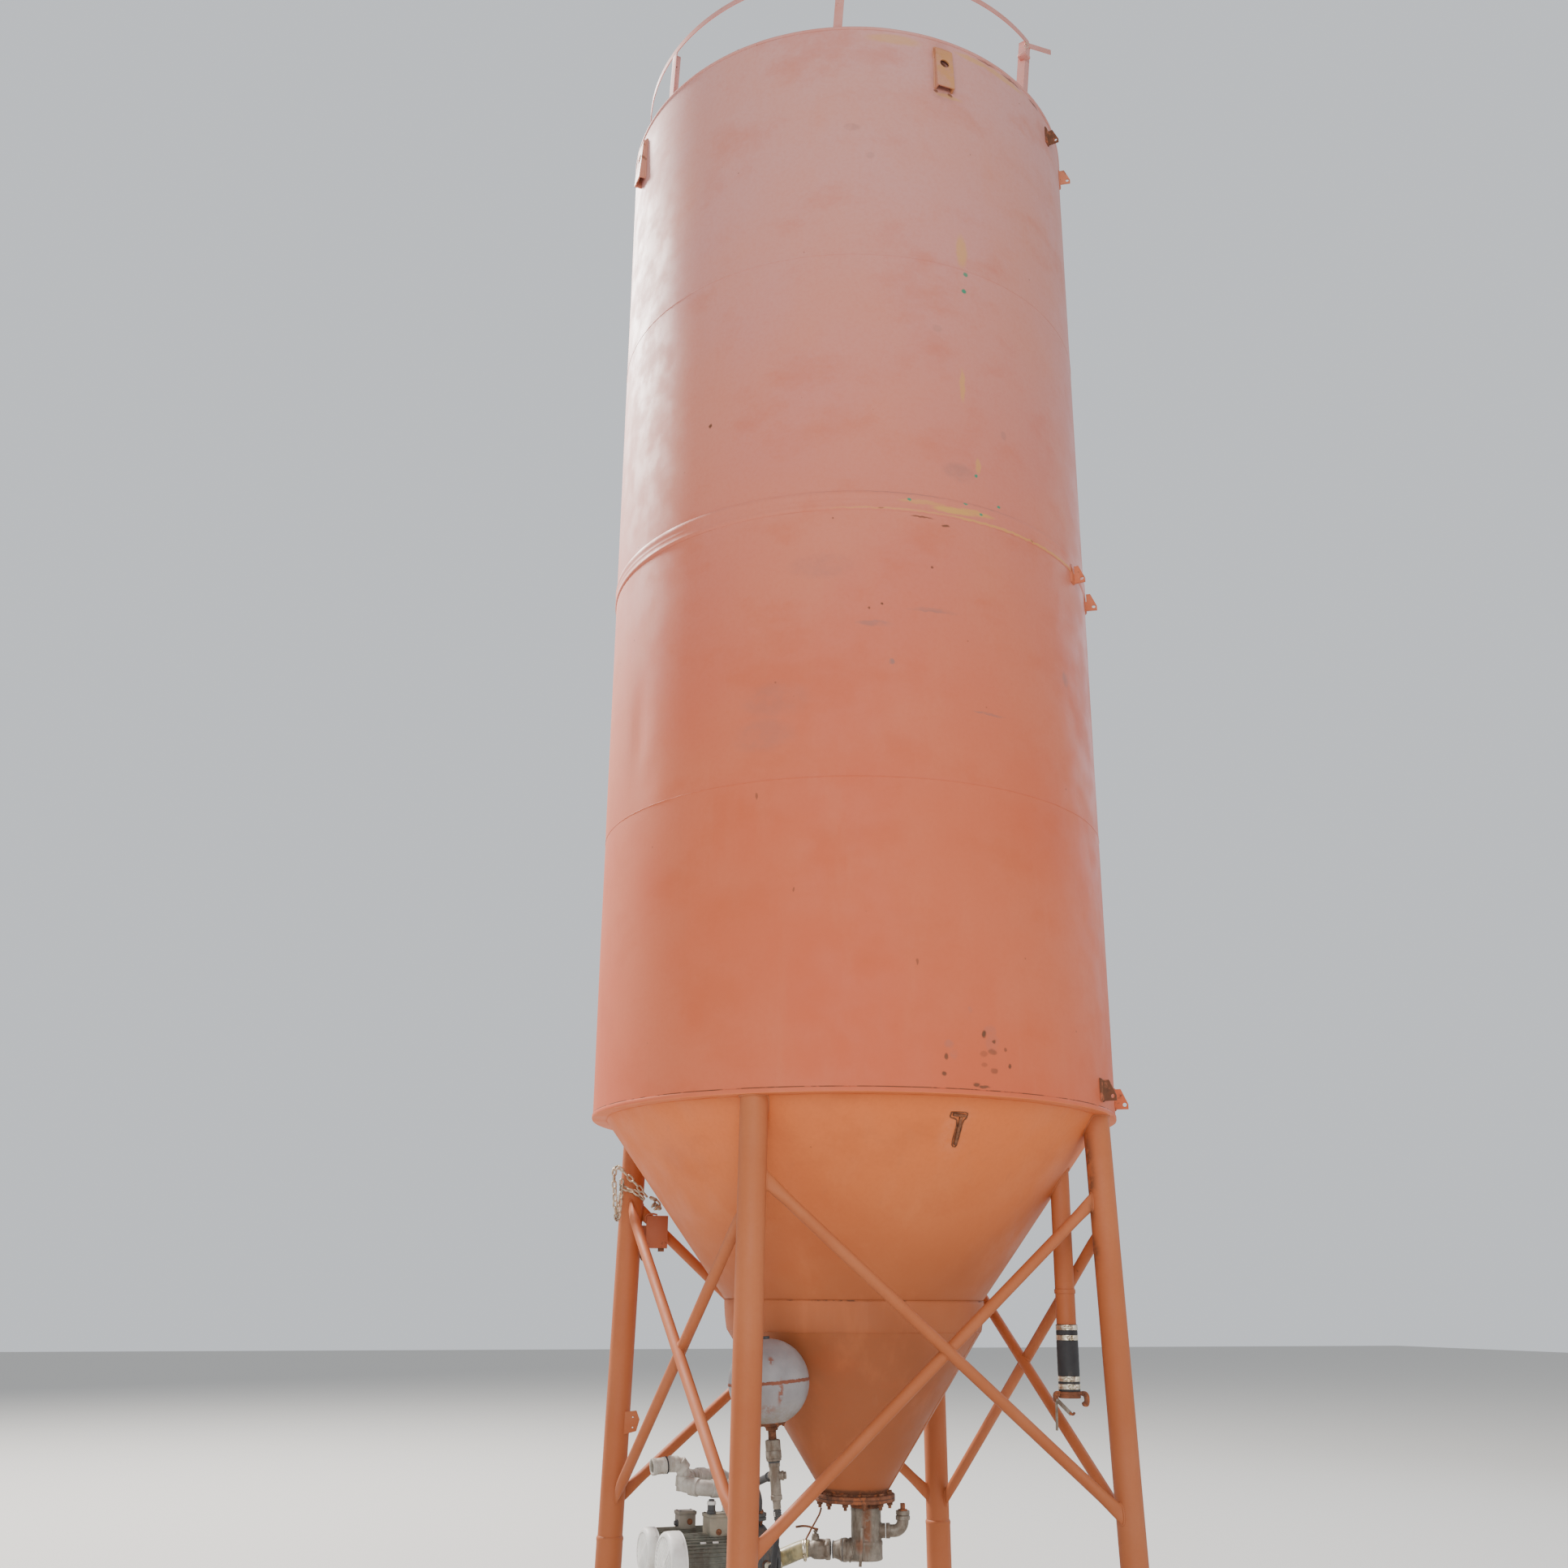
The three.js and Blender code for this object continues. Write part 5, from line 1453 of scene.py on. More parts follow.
def coneLift(point, height):  # a point moved onto the upper cone's face, then out of it
    outward = Vector((point.x, point.y, 0)).normalized()
    reach = kneeRadius + (point.z - kneeHeight) * coneSlope
    normal = (outward - Vector((0, 0, coneSlope))).normalized()
    return outward * reach + Vector((0, 0, point.z)) + normal * height


def makeConeStub():
    bars = (smallFittings["coneBar"], smallFittings["coneStem"])
    ends = [[coneLift(Vector(point), 0.005) for point in bar] for bar in bars]
    pieces = []
    for (start, end), wide in zip(ends, (0.011, 0.012)):
        outward = Vector((start.x, start.y, -0.6 * Vector((start.x, start.y)).length)).normalized()
        lengthwise = (end - start).normalized()
        across = lengthwise.cross(outward).normalized()
        normal = across.cross(lengthwise)
        place = Matrix((lengthwise, across, normal)).transposed().to_4x4()
        place.translation = (start + end) / 2
        strip = blockPiece("strip", ((end - start).length, wide, 0.01), (0, 0, 0), 0.0016, 0, place, 5)
        pieces.append(roughen(strip, 0.0012, 50))
    outline = []
    (left, right), (high, low) = ends
    steps = ((left, -0.006, 0.01), (right, 0.006, 0.01), (right, 0.006, -0.008), (high, 0.018, -0.012),
             (low, 0.01, 0.0), (low, 0.004, -0.008), (low, -0.01, 0.0), (high, -0.014, -0.012),
             (left, -0.006, -0.008))
    for spot, aside, drop in steps:
        outline.append(coneLift(spot + Vector((aside, 0, drop)), 0.0008))
    pieces.append(weldBead(smoothPath(outline + [outline[0]], 4)[:-1], 0.003, True, 4))
    finish(join("coneStub", pieces), finishes["rust"])


def makeLegBox():
    place = Matrix.Translation(smallFittings["boxCentre"]) @ turn(smallFittings["legSide"])
    wide, deep, tall = smallFittings["boxSize"]
    box = blockPiece("legBox", (wide, deep, tall), (0, 0, 0), 0.0)
    select(box)
    bpy.ops.object.mode_set(mode="EDIT")
    bpy.ops.mesh.select_all(action="DESELECT")
    bpy.ops.object.mode_set(mode="OBJECT")
    for face in box.data.polygons:
        face.select = face.normal.z > 0.9
    bpy.ops.object.mode_set(mode="EDIT")
    bpy.ops.mesh.inset(thickness=0.004)
    bpy.ops.mesh.extrude_region_move(TRANSFORM_OT_translate={"value": (0, 0, -tall + 0.006)})
    bpy.ops.object.mode_set(mode="OBJECT")
    bevelEdges(box, 0.002)
    settle(roughen(box, 0.0012, 16, 4), place)
    left, front, top = -wide / 2, -deep / 2, tall / 2
    lip = [(left - 0.004, front, top - 0.03), (left - 0.004, front - 0.001, top - 0.008),
           (left + 0.006, front - 0.002, top + 0.006), (left + 0.03, front - 0.001, top + 0.008),
           (left + 0.052, front, top + 0.004)]
    edge = settle(curvedPiece("lip", smoothPath(lip, 5), 0.0045, 3), place)
    ear = blockPiece("ear", (0.034, 0.006, 0.06), (-wide / 2 - 0.012, 0.01, 0), 0.0015, 0, place)
    finish(join("legBox", [box, edge, ear]), paints["box"])
    shackle = [(-0.008, 0, 0.022), (-0.015, 0, 0.012), (-0.016, 0, -0.002), (-0.01, 0, -0.013),
               (0.001, 0, -0.017), (0.012, 0, -0.012), (0.017, 0, 0.0), (0.014, 0, 0.012), (0.007, 0, 0.022)]
    hung = Matrix.Translation((-0.752, 0.757, 1.795)) @ turn(-20)
    bow = settle(curvedPiece("bow", smoothPath(shackle, 5), 0.0042, 4), hung)
    pin = rodPiece("pin", (-0.768, 0.763, 1.817), (-0.735, 0.752, 1.817), 0.0045, 12, 0, 0.001)
    tab = blockPiece("tab", (0.03, 0.004, 0.018), (-0.673, 0.745, 1.829), 0.001, -17)
    finish(join("legShackle", [bow, pin, tab]), finishes["rust"])


def makeLegPlate():
    outline = [(-0.034, 0.045), (0.019, 0.051), (0.035, 0.012), (0.021, -0.038), (-0.034, -0.052)]
    place = Matrix.Translation(smallFittings["plateCentre"]) @ turn(-18) @ turn(90, "X")
    plate = platePiece("legPlate", outline, 0.006, ((0.003, 0.022, 0.0028), (0.003, -0.022, 0.0028)), 0.001,
                       place)
    edge = [place @ Vector((-0.035, y, -0.002)) for y in (0.045, 0.0, -0.052)]
    finish(join("legPlate", [plate, weldBead(edge, 0.003, False, 8)]), paints["frame"])


def chainRun(points, twist=0.0):  # links along a path, every second one turned on edge
    path = smoothPath(points, 10)
    length = sum((end - start).length for start, end in zip(path, path[1:]))
    long, _, wire = smallFittings["chainLink"]
    pitch = long - smallFittings["linkOverlap"] * wire
    count = max(2, round(length / pitch))
    return [placeOn(path, (number + 0.5) / count) @ turn(twist + 90 * (number % 2))
            for number in range(count)]


def makeChain():
    loop = [(-0.916, 0.76, 2.2), (-0.918, 0.752, 2.14), (-0.913, 0.745, 2.075), (-0.908, 0.742, 2.01),
            (-0.896, 0.74, 1.964), (-0.889, 0.741, 2.01), (-0.884, 0.742, 2.08), (-0.882, 0.742, 2.15)]
    upper = [(-0.879, 0.738, 2.19), (-0.85, 0.728, 2.16), (-0.819, 0.718, 2.13), (-0.79, 0.712, 2.098),
             (-0.763, 0.707, 2.07)]
    lower = [(-0.882, 0.738, 2.114), (-0.85, 0.728, 2.1), (-0.825, 0.719, 2.093), (-0.8, 0.713, 2.076),
             (-0.779, 0.708, 2.058)]
    crown = [(-0.917, 0.762, 2.196), (-0.904, 0.755, 2.205), (-0.89, 0.747, 2.2), (-0.879, 0.741, 2.19)]
    pile = [(-0.748, 0.704, 2.066), (-0.73, 0.7, 2.06), (-0.716, 0.702, 2.046), (-0.706, 0.699, 2.03),
            (-0.716, 0.69, 2.018), (-0.734, 0.696, 2.03), (-0.72, 0.708, 2.034), (-0.7, 0.694, 2.014)]
    long, wide, wire = smallFittings["chainLink"]
    half, reach = wide / 2 - wire, long / 2 - wide / 2
    oval = []
    for step in range(12):
        angle, away = step * math.pi / 6, reach if 0 < step < 6 else -reach if step > 6 else 0
        oval.append((half * math.cos(angle), 0, half * math.sin(angle) + away))
    link = curvedPiece("link", oval, wire, 1, closed=True)
    places = []
    for run, twist in ((loop, 20), (crown, 50), (upper, 10), (lower, 60), (pile, 35)):
        places += chainRun(run, twist)
    finish(spread("legChain", link, places), finishes["chain"], (), 60)


makeConeStub()
makeLegBox()
makeLegPlate()
makeChain()
print("small fittings made")


# fill line

fill = {
    "x": 0.742,
    "y": -0.58,
    "radius": 0.042,
    "top": 1.514,
    "foot": 1.246,
    "clamps": (1.502, 1.461, 1.296, 1.265),
    "clampWidth": 0.02,
    "clampTurn": -28,
    "earTurn": -22.2,
    "rightEar": ((0.04, 1.246), (0.068, 1.246), (0.079, 1.234), (0.081, 1.204), (0.073, 1.187),
                 (0.054, 1.188), (0.05, 1.2), (0.06, 1.208), (0.057, 1.226), (0.04, 1.23)),
    "leftEar": ((-0.04, 1.23), (-0.05, 1.224), (-0.049, 1.206), (-0.06, 1.199), (-0.07, 1.21), (-0.07, 1.236),
                (-0.06, 1.246), (-0.04, 1.246)),
    "arm": ((-0.058, -0.022, 1.212), (-0.006, -0.046, 1.158)),
    "strap": ((-0.06, -0.018, 1.206), (-0.064, -0.016, 1.092)),
}


def makeFillLine():
    x, y, radius = fill["x"], fill["y"], fill["radius"]
    tube = rodPiece("fillPipe", (x, y, fill["top"] + 0.0003), (x, y, 2.3), radius, 48, 6)
    cutAway(tube, coneSkin())
    points = []
    for step in range(40):
        angle = 2 * math.pi * step / 40
        spot = Vector((x + (radius + 0.002) * math.cos(angle), y + (radius + 0.002) * math.sin(angle), 0))
        spot.z = kneeHeight + (spot.length - kneeRadius) / coneSlope - 0.001
        points.append(spot)
    collar = weldBead(points, 0.005, True, 6)
    ring = settle(turnedPiece("ring", [(radius, 1.64), (radius + 0.0035, 1.641), (radius + 0.0035, 1.658),
                                       (radius, 1.659)], 40),
                  Matrix.Translation((x, y, 0)))
    finish(join("fillPipe", [roughen(tube, 0.0005, 7), collar, ring]), paints["frame"],
           ["fill_pipe"])

    low, high, wide = fill["foot"], fill["top"], radius + 0.0045
    profile = [(radius - 0.001, low + 0.0003), (wide - 0.0015, low + 0.0003), (wide, low + 0.002)]
    steps = 54
    for step in range(1, steps):
        height = low + (high - low) * step / steps
        pinch = max(math.exp(-((height - clamp) / 0.012) ** 4) for clamp in fill["clamps"])
        profile.append((wide - 0.0022 * pinch - 0.0004 * abs(math.sin(step * 0.55)), height))
    profile += [(wide, high - 0.002), (wide - 0.0015, high), (radius + 0.0001, high)]
    sleeve = settle(turnedPiece("fillSleeve", profile, 56), Matrix.Translation((x, y, 0)))
    finish(sleeve, finishes["rubber"], ["fill_sleeve"])

    band = fill["clampWidth"] / 2
    strap = turnedPiece("strap", [(wide - 0.0028, -band), (wide + 0.0004, -band),
                                  (wide + 0.0009, -band + 0.002), (wide + 0.0002, -band + 0.004),
                                  (wide + 0.0002, band - 0.004), (wide + 0.0009, band - 0.002),
                                  (wide + 0.0004, band), (wide - 0.0028, band)], 56)
    lugs = [blockPiece("lug", (0.003, 0.017, 2 * band - 0.001), (side * 0.0075, -wide - 0.008, 0), 0.0012)
            for side in (-1, 1)]
    bolt = rodPiece("bolt", (-0.019, -wide - 0.0085, 0), (0.021, -wide - 0.0085, 0), 0.0032, 12, 0, 0.0006)
    nut = hexNut("nut", (0.0092, -wide - 0.0085, 0), 0.0064, 0.0055, (1, 0, 0))
    head = hexNut("head", (-0.0092, -wide - 0.0085, 0), 0.0064, 0.005, (-1, 0, 0), 12)
    clamp = join("clamp", [strap, *lugs, bolt, nut, head])
    turns = (0, 14, -6, 9)
    places = [Matrix.Translation((x, y, height)) @ turn(fill["clampTurn"] + extra)
              for height, extra in zip(fill["clamps"], turns)]
    finish(spread("fillClamps", clamp, places), finishes["clamp"])

    place = Matrix.Translation((x, y, 0)) @ turn(fill["earTurn"])
    body = turnedPiece("fillCoupling", [
        (0.0365, 1.219), (0.0445, 1.219), (0.0462, 1.2205), (0.047, 1.224), (0.0465, 1.228), (0.045, 1.2295),
        (0.045, 1.2335), (0.047, 1.235), (0.0475, 1.238), (0.047, 1.241), (0.045, 1.2425), (0.044, 1.2455),
        (0.0415, 1.2455), (0.0365, 1.241),
    ], 48)
    pieces = [roughen(body, 0.0005, 40)]
    upright = turn(90, "X")
    for name, thick, across in (("rightEar", 0.016, 0.064), ("leftEar", 0.018, -0.058)):
        hole, standing = (across, 1.232, 0.0035), Matrix.Translation((0, -0.004, 0)) @ upright
        ear = platePiece(name, smoothOutline(fill[name]), thick, (hole,), 0.002, standing)
        pieces.append(roughen(ear, 0.0006, 60))
    for side in (-0.058, 0.064):
        pieces.append(rodPiece("pin", (side, -0.02, 1.232), (side, 0.018, 1.232), 0.005, 14, 0, 0.001))
    start, end = (Vector(point) for point in fill["arm"])
    hookSteps = ((-0.006, 0, 0.008), (0.002, -0.002, 0.0), (0.01, -0.002, 0.001), (0.014, -0.001, 0.008))
    hookPoints = [end + Vector(step) for step in hookSteps]
    pieces.append(curvedPiece("armEnd", smoothPath(hookPoints, 5), 0.0052, 4))
    finish(settle(join("fillCoupling", pieces), place), finishes["flange"], ["fill_coupling"])
    bars = []
    for (low, high), size in ((fill["arm"], (0.017, 0.0055)), (fill["strap"], (0.011, 0.0035))):
        low, high = Vector(low), Vector(high)
        middle = along((low + high) / 2, high - low, 90)
        bar = blockPiece("bar", (*size, (high - low).length), (0, 0, 0), 0.0012, 0, middle, 6)
        bars.append(roughen(bar, 0.0009, 30))
    bars.append(rodPiece("rivet", start + Vector((0, -0.006, 0)), start + Vector((0, 0.004, 0)), 0.0055, 16,
                         0, 0.001))
    finish(settle(join("fillLevers", bars), place), finishes["galvanised"])


makeFillLine()
print("fill line made")


# outlet: bolted flanges, an eccentric pipe, the drain elbow and the suction valve

outlet = {
    "turn": -24.8,
    "offset": 0.048,
    "radius": 0.0645,
    "foot": 0.556,
    "top": 0.761,
    "suction": 0.592,
    "suctionTurn": -5,
    "drain": 0.67,
    "boltCircle": 0.155,
    "boltCount": 12,
    "boltSize": 0.0135,
}
outletPlace = turn(outlet["turn"])
valvePlace = (outletPlace @ Matrix.Translation((outlet["offset"], 0, 0)) @ turn(outlet["suctionTurn"])
              @ Matrix.Translation((-outlet["offset"], 0, 0)))


# the line where a level branch along X meets an upright pipe
def saddlePoints(pipe, branch, height, direction=1):
    points, count = [], 32
    for step in range(count):
        angle = 2 * math.pi * step / count
        across = branch * math.sin(angle)
        points.append(Vector((direction * math.sqrt(pipe * pipe - across * across), across,
                              height + branch * math.cos(angle))))
    return points


def makeFlanges():
    upper = roughen(turnedPiece("coneFlange", [
        (0.12, 0.802), (0.172, 0.802), (0.174, 0.8038), (0.174, 0.8139), (0.172, 0.8157), (0.146, 0.8157),
        (0.12, 0.8157),
    ], 96), 0.0007, 18)
    neck = weldBead([roundPoint(0.1405, 7.5 * step, 0.8175) for step in range(48)], 0.0055, True, 9)
    finish(join("coneFlange", [upper, neck]), finishes["flange"], ["cone_flange"])
    gasket = turnedPiece("outletGasket", [(0.1, 0.8005), (0.1722, 0.8005), (0.1728, 0.8019),
                                          (0.1722, 0.8033), (0.1, 0.8033)], 96)
    finish(roughen(gasket, 0.0006, 30), finishes["rubber"])
    plate = roughen(turnedPiece("outletFlange", [
        (0, 0.7877), (0.172, 0.7877), (0.174, 0.7895), (0.174, 0.7999), (0.172, 0.8017), (0, 0.8017),
    ], 96), 0.0007, 18, 3)
    stub = turnedPiece("stub", [
        (0, 0.7613), (0.0655, 0.7613), (0.0672, 0.7632), (0.0672, 0.77), (0.0665, 0.7715), (0.0665, 0.79),
        (0, 0.79),
    ], 64)
    settle(roughen(stub, 0.0006, 22), Matrix.Translation((outlet["offset"], 0, 0)))
    points = [Vector((outlet["offset"], 0, 0.7862)) + roundPoint(0.0675, 10 * step) for step in range(36)]
    settle(join("outletFlange", [plate, stub, weldBead(points, 0.0045, True, 12)]), outletPlace)
    finish(bpy.context.object, finishes["flange"], ["outlet_flange"])
    size = outlet["boltSize"]
    nut = join("bolt", [*boltPieces((0, 0, 0.7877), (0, 0, -1), size, 0.8, 0.012),
                        *boltPieces((0, 0, 0.8157), (0, 0, 1), size, 0.6)])
    places = []
    for number in range(outlet["boltCount"]):
        degrees = (number + 0.5) * 360 / outlet["boltCount"]
        places.append(outletPlace @ Matrix.Translation(roundPoint(outlet["boltCircle"], degrees))
                      @ turn(37 * number))
    finish(spread("flangeBolts", nut, places), finishes["rust"])


def makeOutletPipe():
    radius, foot, top, offset = outlet["radius"], outlet["foot"], outlet["top"], outlet["offset"]
    body = turnedPiece("outletPipe", [
        (0, foot), (0.062, foot), (0.068, foot + 0.002), (0.0705, foot + 0.006), (0.0705, foot + 0.012),
        (0.0695, foot + 0.014), (0.0695, foot + 0.058), (0.0705, foot + 0.06), (0.0705, foot + 0.07),
        (0.0695, foot + 0.074), (0.066, foot + 0.079), (radius, foot + 0.084), (radius, foot + 0.11),
        (radius, foot + 0.15), (radius, top - 0.016), (0.066, top - 0.013), (0.0662, top - 0.003),
        (0.065, top), (0, top),
    ], 72)
    drain = rodPiece("drain", (0.02, 0, outlet["drain"]), (0.0825, 0, outlet["drain"]), 0.03, 40, 3, 0.002)
    drainWeld = weldBead(saddlePoints(radius, 0.0305, outlet["drain"]), 0.003, True, 3)
    settle(roughen(body, 0.0004, 12), outletPlace @ Matrix.Translation((offset, 0, 0)))
    for piece in (drain, drainWeld):
        settle(piece, outletPlace @ Matrix.Translation((offset, 0, 0)))
    branch = turnedPiece("suctionBranch", [(0.03, 0.02), (0.0455, 0.02), (0.0455, 0.082), (0.048, 0.084),
                                           (0.048, 0.096), (0.0465, 0.0985), (0.03, 0.0985)], 48)
    settle(branch, valvePlace @ Matrix.Translation((offset, 0, outlet["suction"])) @ turn(-90, "Y"))
    suctionWeld = weldBead(saddlePoints(0.07, 0.0462, outlet["suction"], -1), 0.0034, True, 5)
    settle(suctionWeld, valvePlace @ Matrix.Translation((offset, 0, 0)))
    finish(join("outletPipe", [body, drain, drainWeld, branch, suctionWeld]), finishes["galvanised"],
           ["outlet_pipe"])
    start = outletPlace @ Vector((0.03, -0.0715, 0.668))
    strip = blockPiece("outletStrip", (0.013, 0.003, 0.15), (0, 0, -0.055), 0.001, 0, None, 3)
    roughen(settle(strip, Matrix.Translation(start) @ turn(-26) @ turn(4, "Y")), 0.001, 9)
    finish(strip, finishes["galvanised"])


def makeElbow():
    height, reach, bend = outlet["drain"], 0.206, 0.04
    points = [(0.1328, 0, height), (0.15, 0, height)]
    for step in range(9):
        angle = math.radians(step * 90 / 8)
        points.append((reach - bend + bend * math.sin(angle), 0, height + bend - bend * math.cos(angle)))
    points += [(reach, 0, height + 0.056), (reach, 0, height + 0.078)]
    pieces = [roughen(curvedPiece("bend", points, 0.0255, 10), 0.0004, 20)]
    for place in (along((0.1328, 0, height), (1, 0, 0)), along((reach, 0, height + 0.043), (0, 0, 1))):
        ring = turnedPiece("ring", [(0.02, 0), (0.0295, 0), (0.031, 0.0015), (0.031, 0.0145), (0.0298, 0.017),
                                    (0.0265, 0.019), (0.02, 0.019)], 40)
        pieces.append(settle(ring, place))
    neck = turnedPiece("neck", [(0.01, 0), (0.0262, 0), (0.0285, 0.002), (0.03, 0.004), (0.03, 0.017),
                                (0.0285, 0.019), (0.01, 0.019)], 40)
    pieces.append(settle(neck, Matrix.Translation((reach, 0, height + 0.061))))
    finish(settle(join("outletElbow", pieces), outletPlace), finishes["galvanised"],
           ["outlet_elbow"])
    collar = hexNut("collar", (reach, 0, height + 0.078), 0.0235, 0.007)
    plug = blockPiece("plug", (0.018, 0.018, 0.024), (reach, 0, height + 0.097), 0.0016, 17)
    finish(settle(join("drainPlug", [collar, roughen(plug, 0.0006, 60)]), outletPlace), finishes["flange"])


valve = {
    "start": -0.0508,
    "body": (
        (0.02, 0), (0.044, 0), (0.046, 0.0015), (0.046, 0.009), (0.0435, 0.0115), (0.04, 0.018),
        (0.0355, 0.03), (0.034, 0.036), (0.034, 0.0435), (0.02, 0.0435),
    ),
    "ball": (
        (0.02, 0.066), (0.034, 0.066), (0.035, 0.069), (0.0385, 0.078), (0.04, 0.086), (0.0405, 0.104),
        (0.04, 0.122), (0.0375, 0.13), (0.0335, 0.136), (0.032, 0.139), (0.032, 0.148), (0.02, 0.148),
    ),
    "union": (0.0545, 0.044, 0.024),
    "bonnet": 0.12,
    "length": 0.148,
    "rod": ((-0.144, -0.024, 0.758), (-0.152, -0.022, 0.735), (-0.168, -0.02, 0.706), (-0.184, -0.02, 0.68),
            (-0.198, -0.026, 0.655), (-0.211, -0.034, 0.633)),
    "lever": ((-0.253, -0.04, 0.684), (-0.225, -0.03, 0.687), (-0.196, -0.018, 0.683),
              (-0.176, -0.01, 0.676), (-0.158, -0.006, 0.672)),
    "joints": ((-0.0028, 0.0475), (0.042, 0.0358), (0.0645, 0.0368), (0.1465, 0.0335)),
}


def makeValve():
    lying = valvePlace @ along((valve["start"], 0, outlet["suction"]), (-1, 0, 0))
    body = turnedPiece("outletValve", valve["body"], 48)
    ball = turnedPiece("ball", valve["ball"], 48)
    middle, size, tall = valve["union"]
    union = hexNut("union", (0, 0, middle), size, tall)
    for piece in (body, ball, union):
        settle(piece, lying)
    top = valvePlace @ Vector((valve["start"] - valve["bonnet"], 0, outlet["suction"]))
    pieces = [rodPiece("bonnet", top, top + Vector((0, 0, 0.052)), 0.017, 28, 0, 0.0015),
              rodPiece("stem", top, top + Vector((0, 0, 0.078)), 0.0062, 16, 0, 0.001),
              hexNut("packing", top + Vector((0, 0, 0.05)), 0.015, 0.01),
              hexNut("nut", top + Vector((0, 0, 0.066)), 0.0105, 0.007)]
    finish(join("outletValve", [body, ball, union, *pieces]), finishes["galvanised"],
           ["outlet_valve"])
    joints = []
    for low, radius in valve["joints"]:
        inner = radius - 0.001
        ring = turnedPiece("joint", [(0.03, low), (inner, low), (radius, low + 0.001), (radius, low + 0.0035),
                                     (inner, low + 0.0045), (0.03, low + 0.0045)], 40)
        joints.append(settle(roughen(ring, 0.0005, 60), lying))
    finish(join("valveJoints", joints), finishes["plastic"])
    levers = []
    for points, radius in ((valve["rod"], 0.004), (valve["lever"], 0.0046)):
        points = [outletPlace @ Vector(point) for point in points]
        levers.append(roughen(curvedPiece("lever", smoothPath(points, 6), radius, 3), 0.0007, 50))
    finish(join("valveLevers", levers), finishes["rust"])


makeFlanges()
makeOutletPipe()
makeElbow()
makeValve()
print("outlet made")


# pump set

pumps = {
    "front": {
        "axis": (0.177, 0.549), "cowl": (-0.803, -0.733), "cowlRadius": 0.128, "motor": (-0.7327, -0.47),
        "core": 0.105, "fin": 0.116, "fins": 44, "shield": (-0.47, -0.44), "shieldRadius": 0.13,
        "feetX": -0.55, "feet": (0.15, 0.2, 0.07), "boxCentre": (-0.569, 0.695), "box": (0.1, 0.1, 0.088),
        "knockout": (-0.006, -0.024), "foot": (-0.395, 0.06, 0.12, 0.06), "port": -0.395, "mouth": -0.3,
        "boltRing": 0.138, "boltDepth": -0.025,
        "boss": (
            (0, 0.05), (0.037, 0.05), (0.037, 0.118), (0.033, 0.132), (0.033, 0.15), (0.036, 0.154),
            (0.05, 0.1555), (0.0515, 0.157), (0.0515, 0.1675), (0.05, 0.169), (0.047, 0.1692),
            (0.047, 0.1718), (0.0505, 0.172), (0.052, 0.1735), (0.052, 0.1835), (0.0505, 0.185), (0, 0.185),
        ),
        "casing": (
            (0.02, 0), (0.134, 0), (0.1355, 0.003), (0.14, 0.01), (0.146, 0.019), (0.146, 0.03),
            (0.1435, 0.033), (0.1435, 0.06), (0.146, 0.063), (0.146, 0.069), (0.14, 0.08), (0.124, 0.09),
            (0.11, 0.0975), (0.086, 0.103), (0.066, 0.1095), (0.0605, 0.116), (0.06, 0.1235),
            (0.0765, 0.124), (0.078, 0.1255), (0.078, 0.1385), (0.0765, 0.1397), (0.02, 0.1397),
        ),
    },
    "rear": {
        "axis": (0.47, 0.56), "cowl": (-0.803, -0.748), "cowlRadius": 0.098, "motor": (-0.745, -0.45),
        "core": 0.084, "fin": 0.094, "fins": 36, "shield": (-0.45, -0.44), "shieldRadius": 0.1,
        "feetX": -0.57, "feet": (0.15, 0.15, 0.091), "boxCentre": (-0.609, 0.6815),
        "box": (0.084, 0.07, 0.073),
        "knockout": (0.01, -0.006), "foot": None, "port": -0.405, "boltRing": 0.106, "boltDepth": -0.004,
        "boss": (
            (0, 0.05), (0.03, 0.05), (0.03, 0.106), (0.032, 0.114), (0.035, 0.12), (0.036, 0.122),
            (0.036, 0.1385), (0.0345, 0.14), (0, 0.14),
        ),
        "casing": (
            (0.02, 0), (0.112, 0), (0.118, 0.006), (0.118, 0.02), (0.1155, 0.022), (0.1155, 0.04),
            (0.118, 0.042), (0.118, 0.053), (0.106, 0.06), (0.078, 0.074), (0.058, 0.088), (0.052, 0.0945),
            (0.052, 0.0948), (0.02, 0.0948),
        ),
    },
    "floor": 0.3993,
    "plinth": ((0.48, 0.56, 0.399), (-0.5, 0.31)),
    "chipWidth": 0.022,
    "chipDepth": 0.032,
    "topGland": (-0.6, 0.158, 0.7385),
    # white clips on the front motor's fins where the sun glints: painted highlight
    "motorClips": ((-0.655, 42), (-0.6, 42)),
    "motorBolts": ((-0.676, 12), (-0.632, 12)),
}


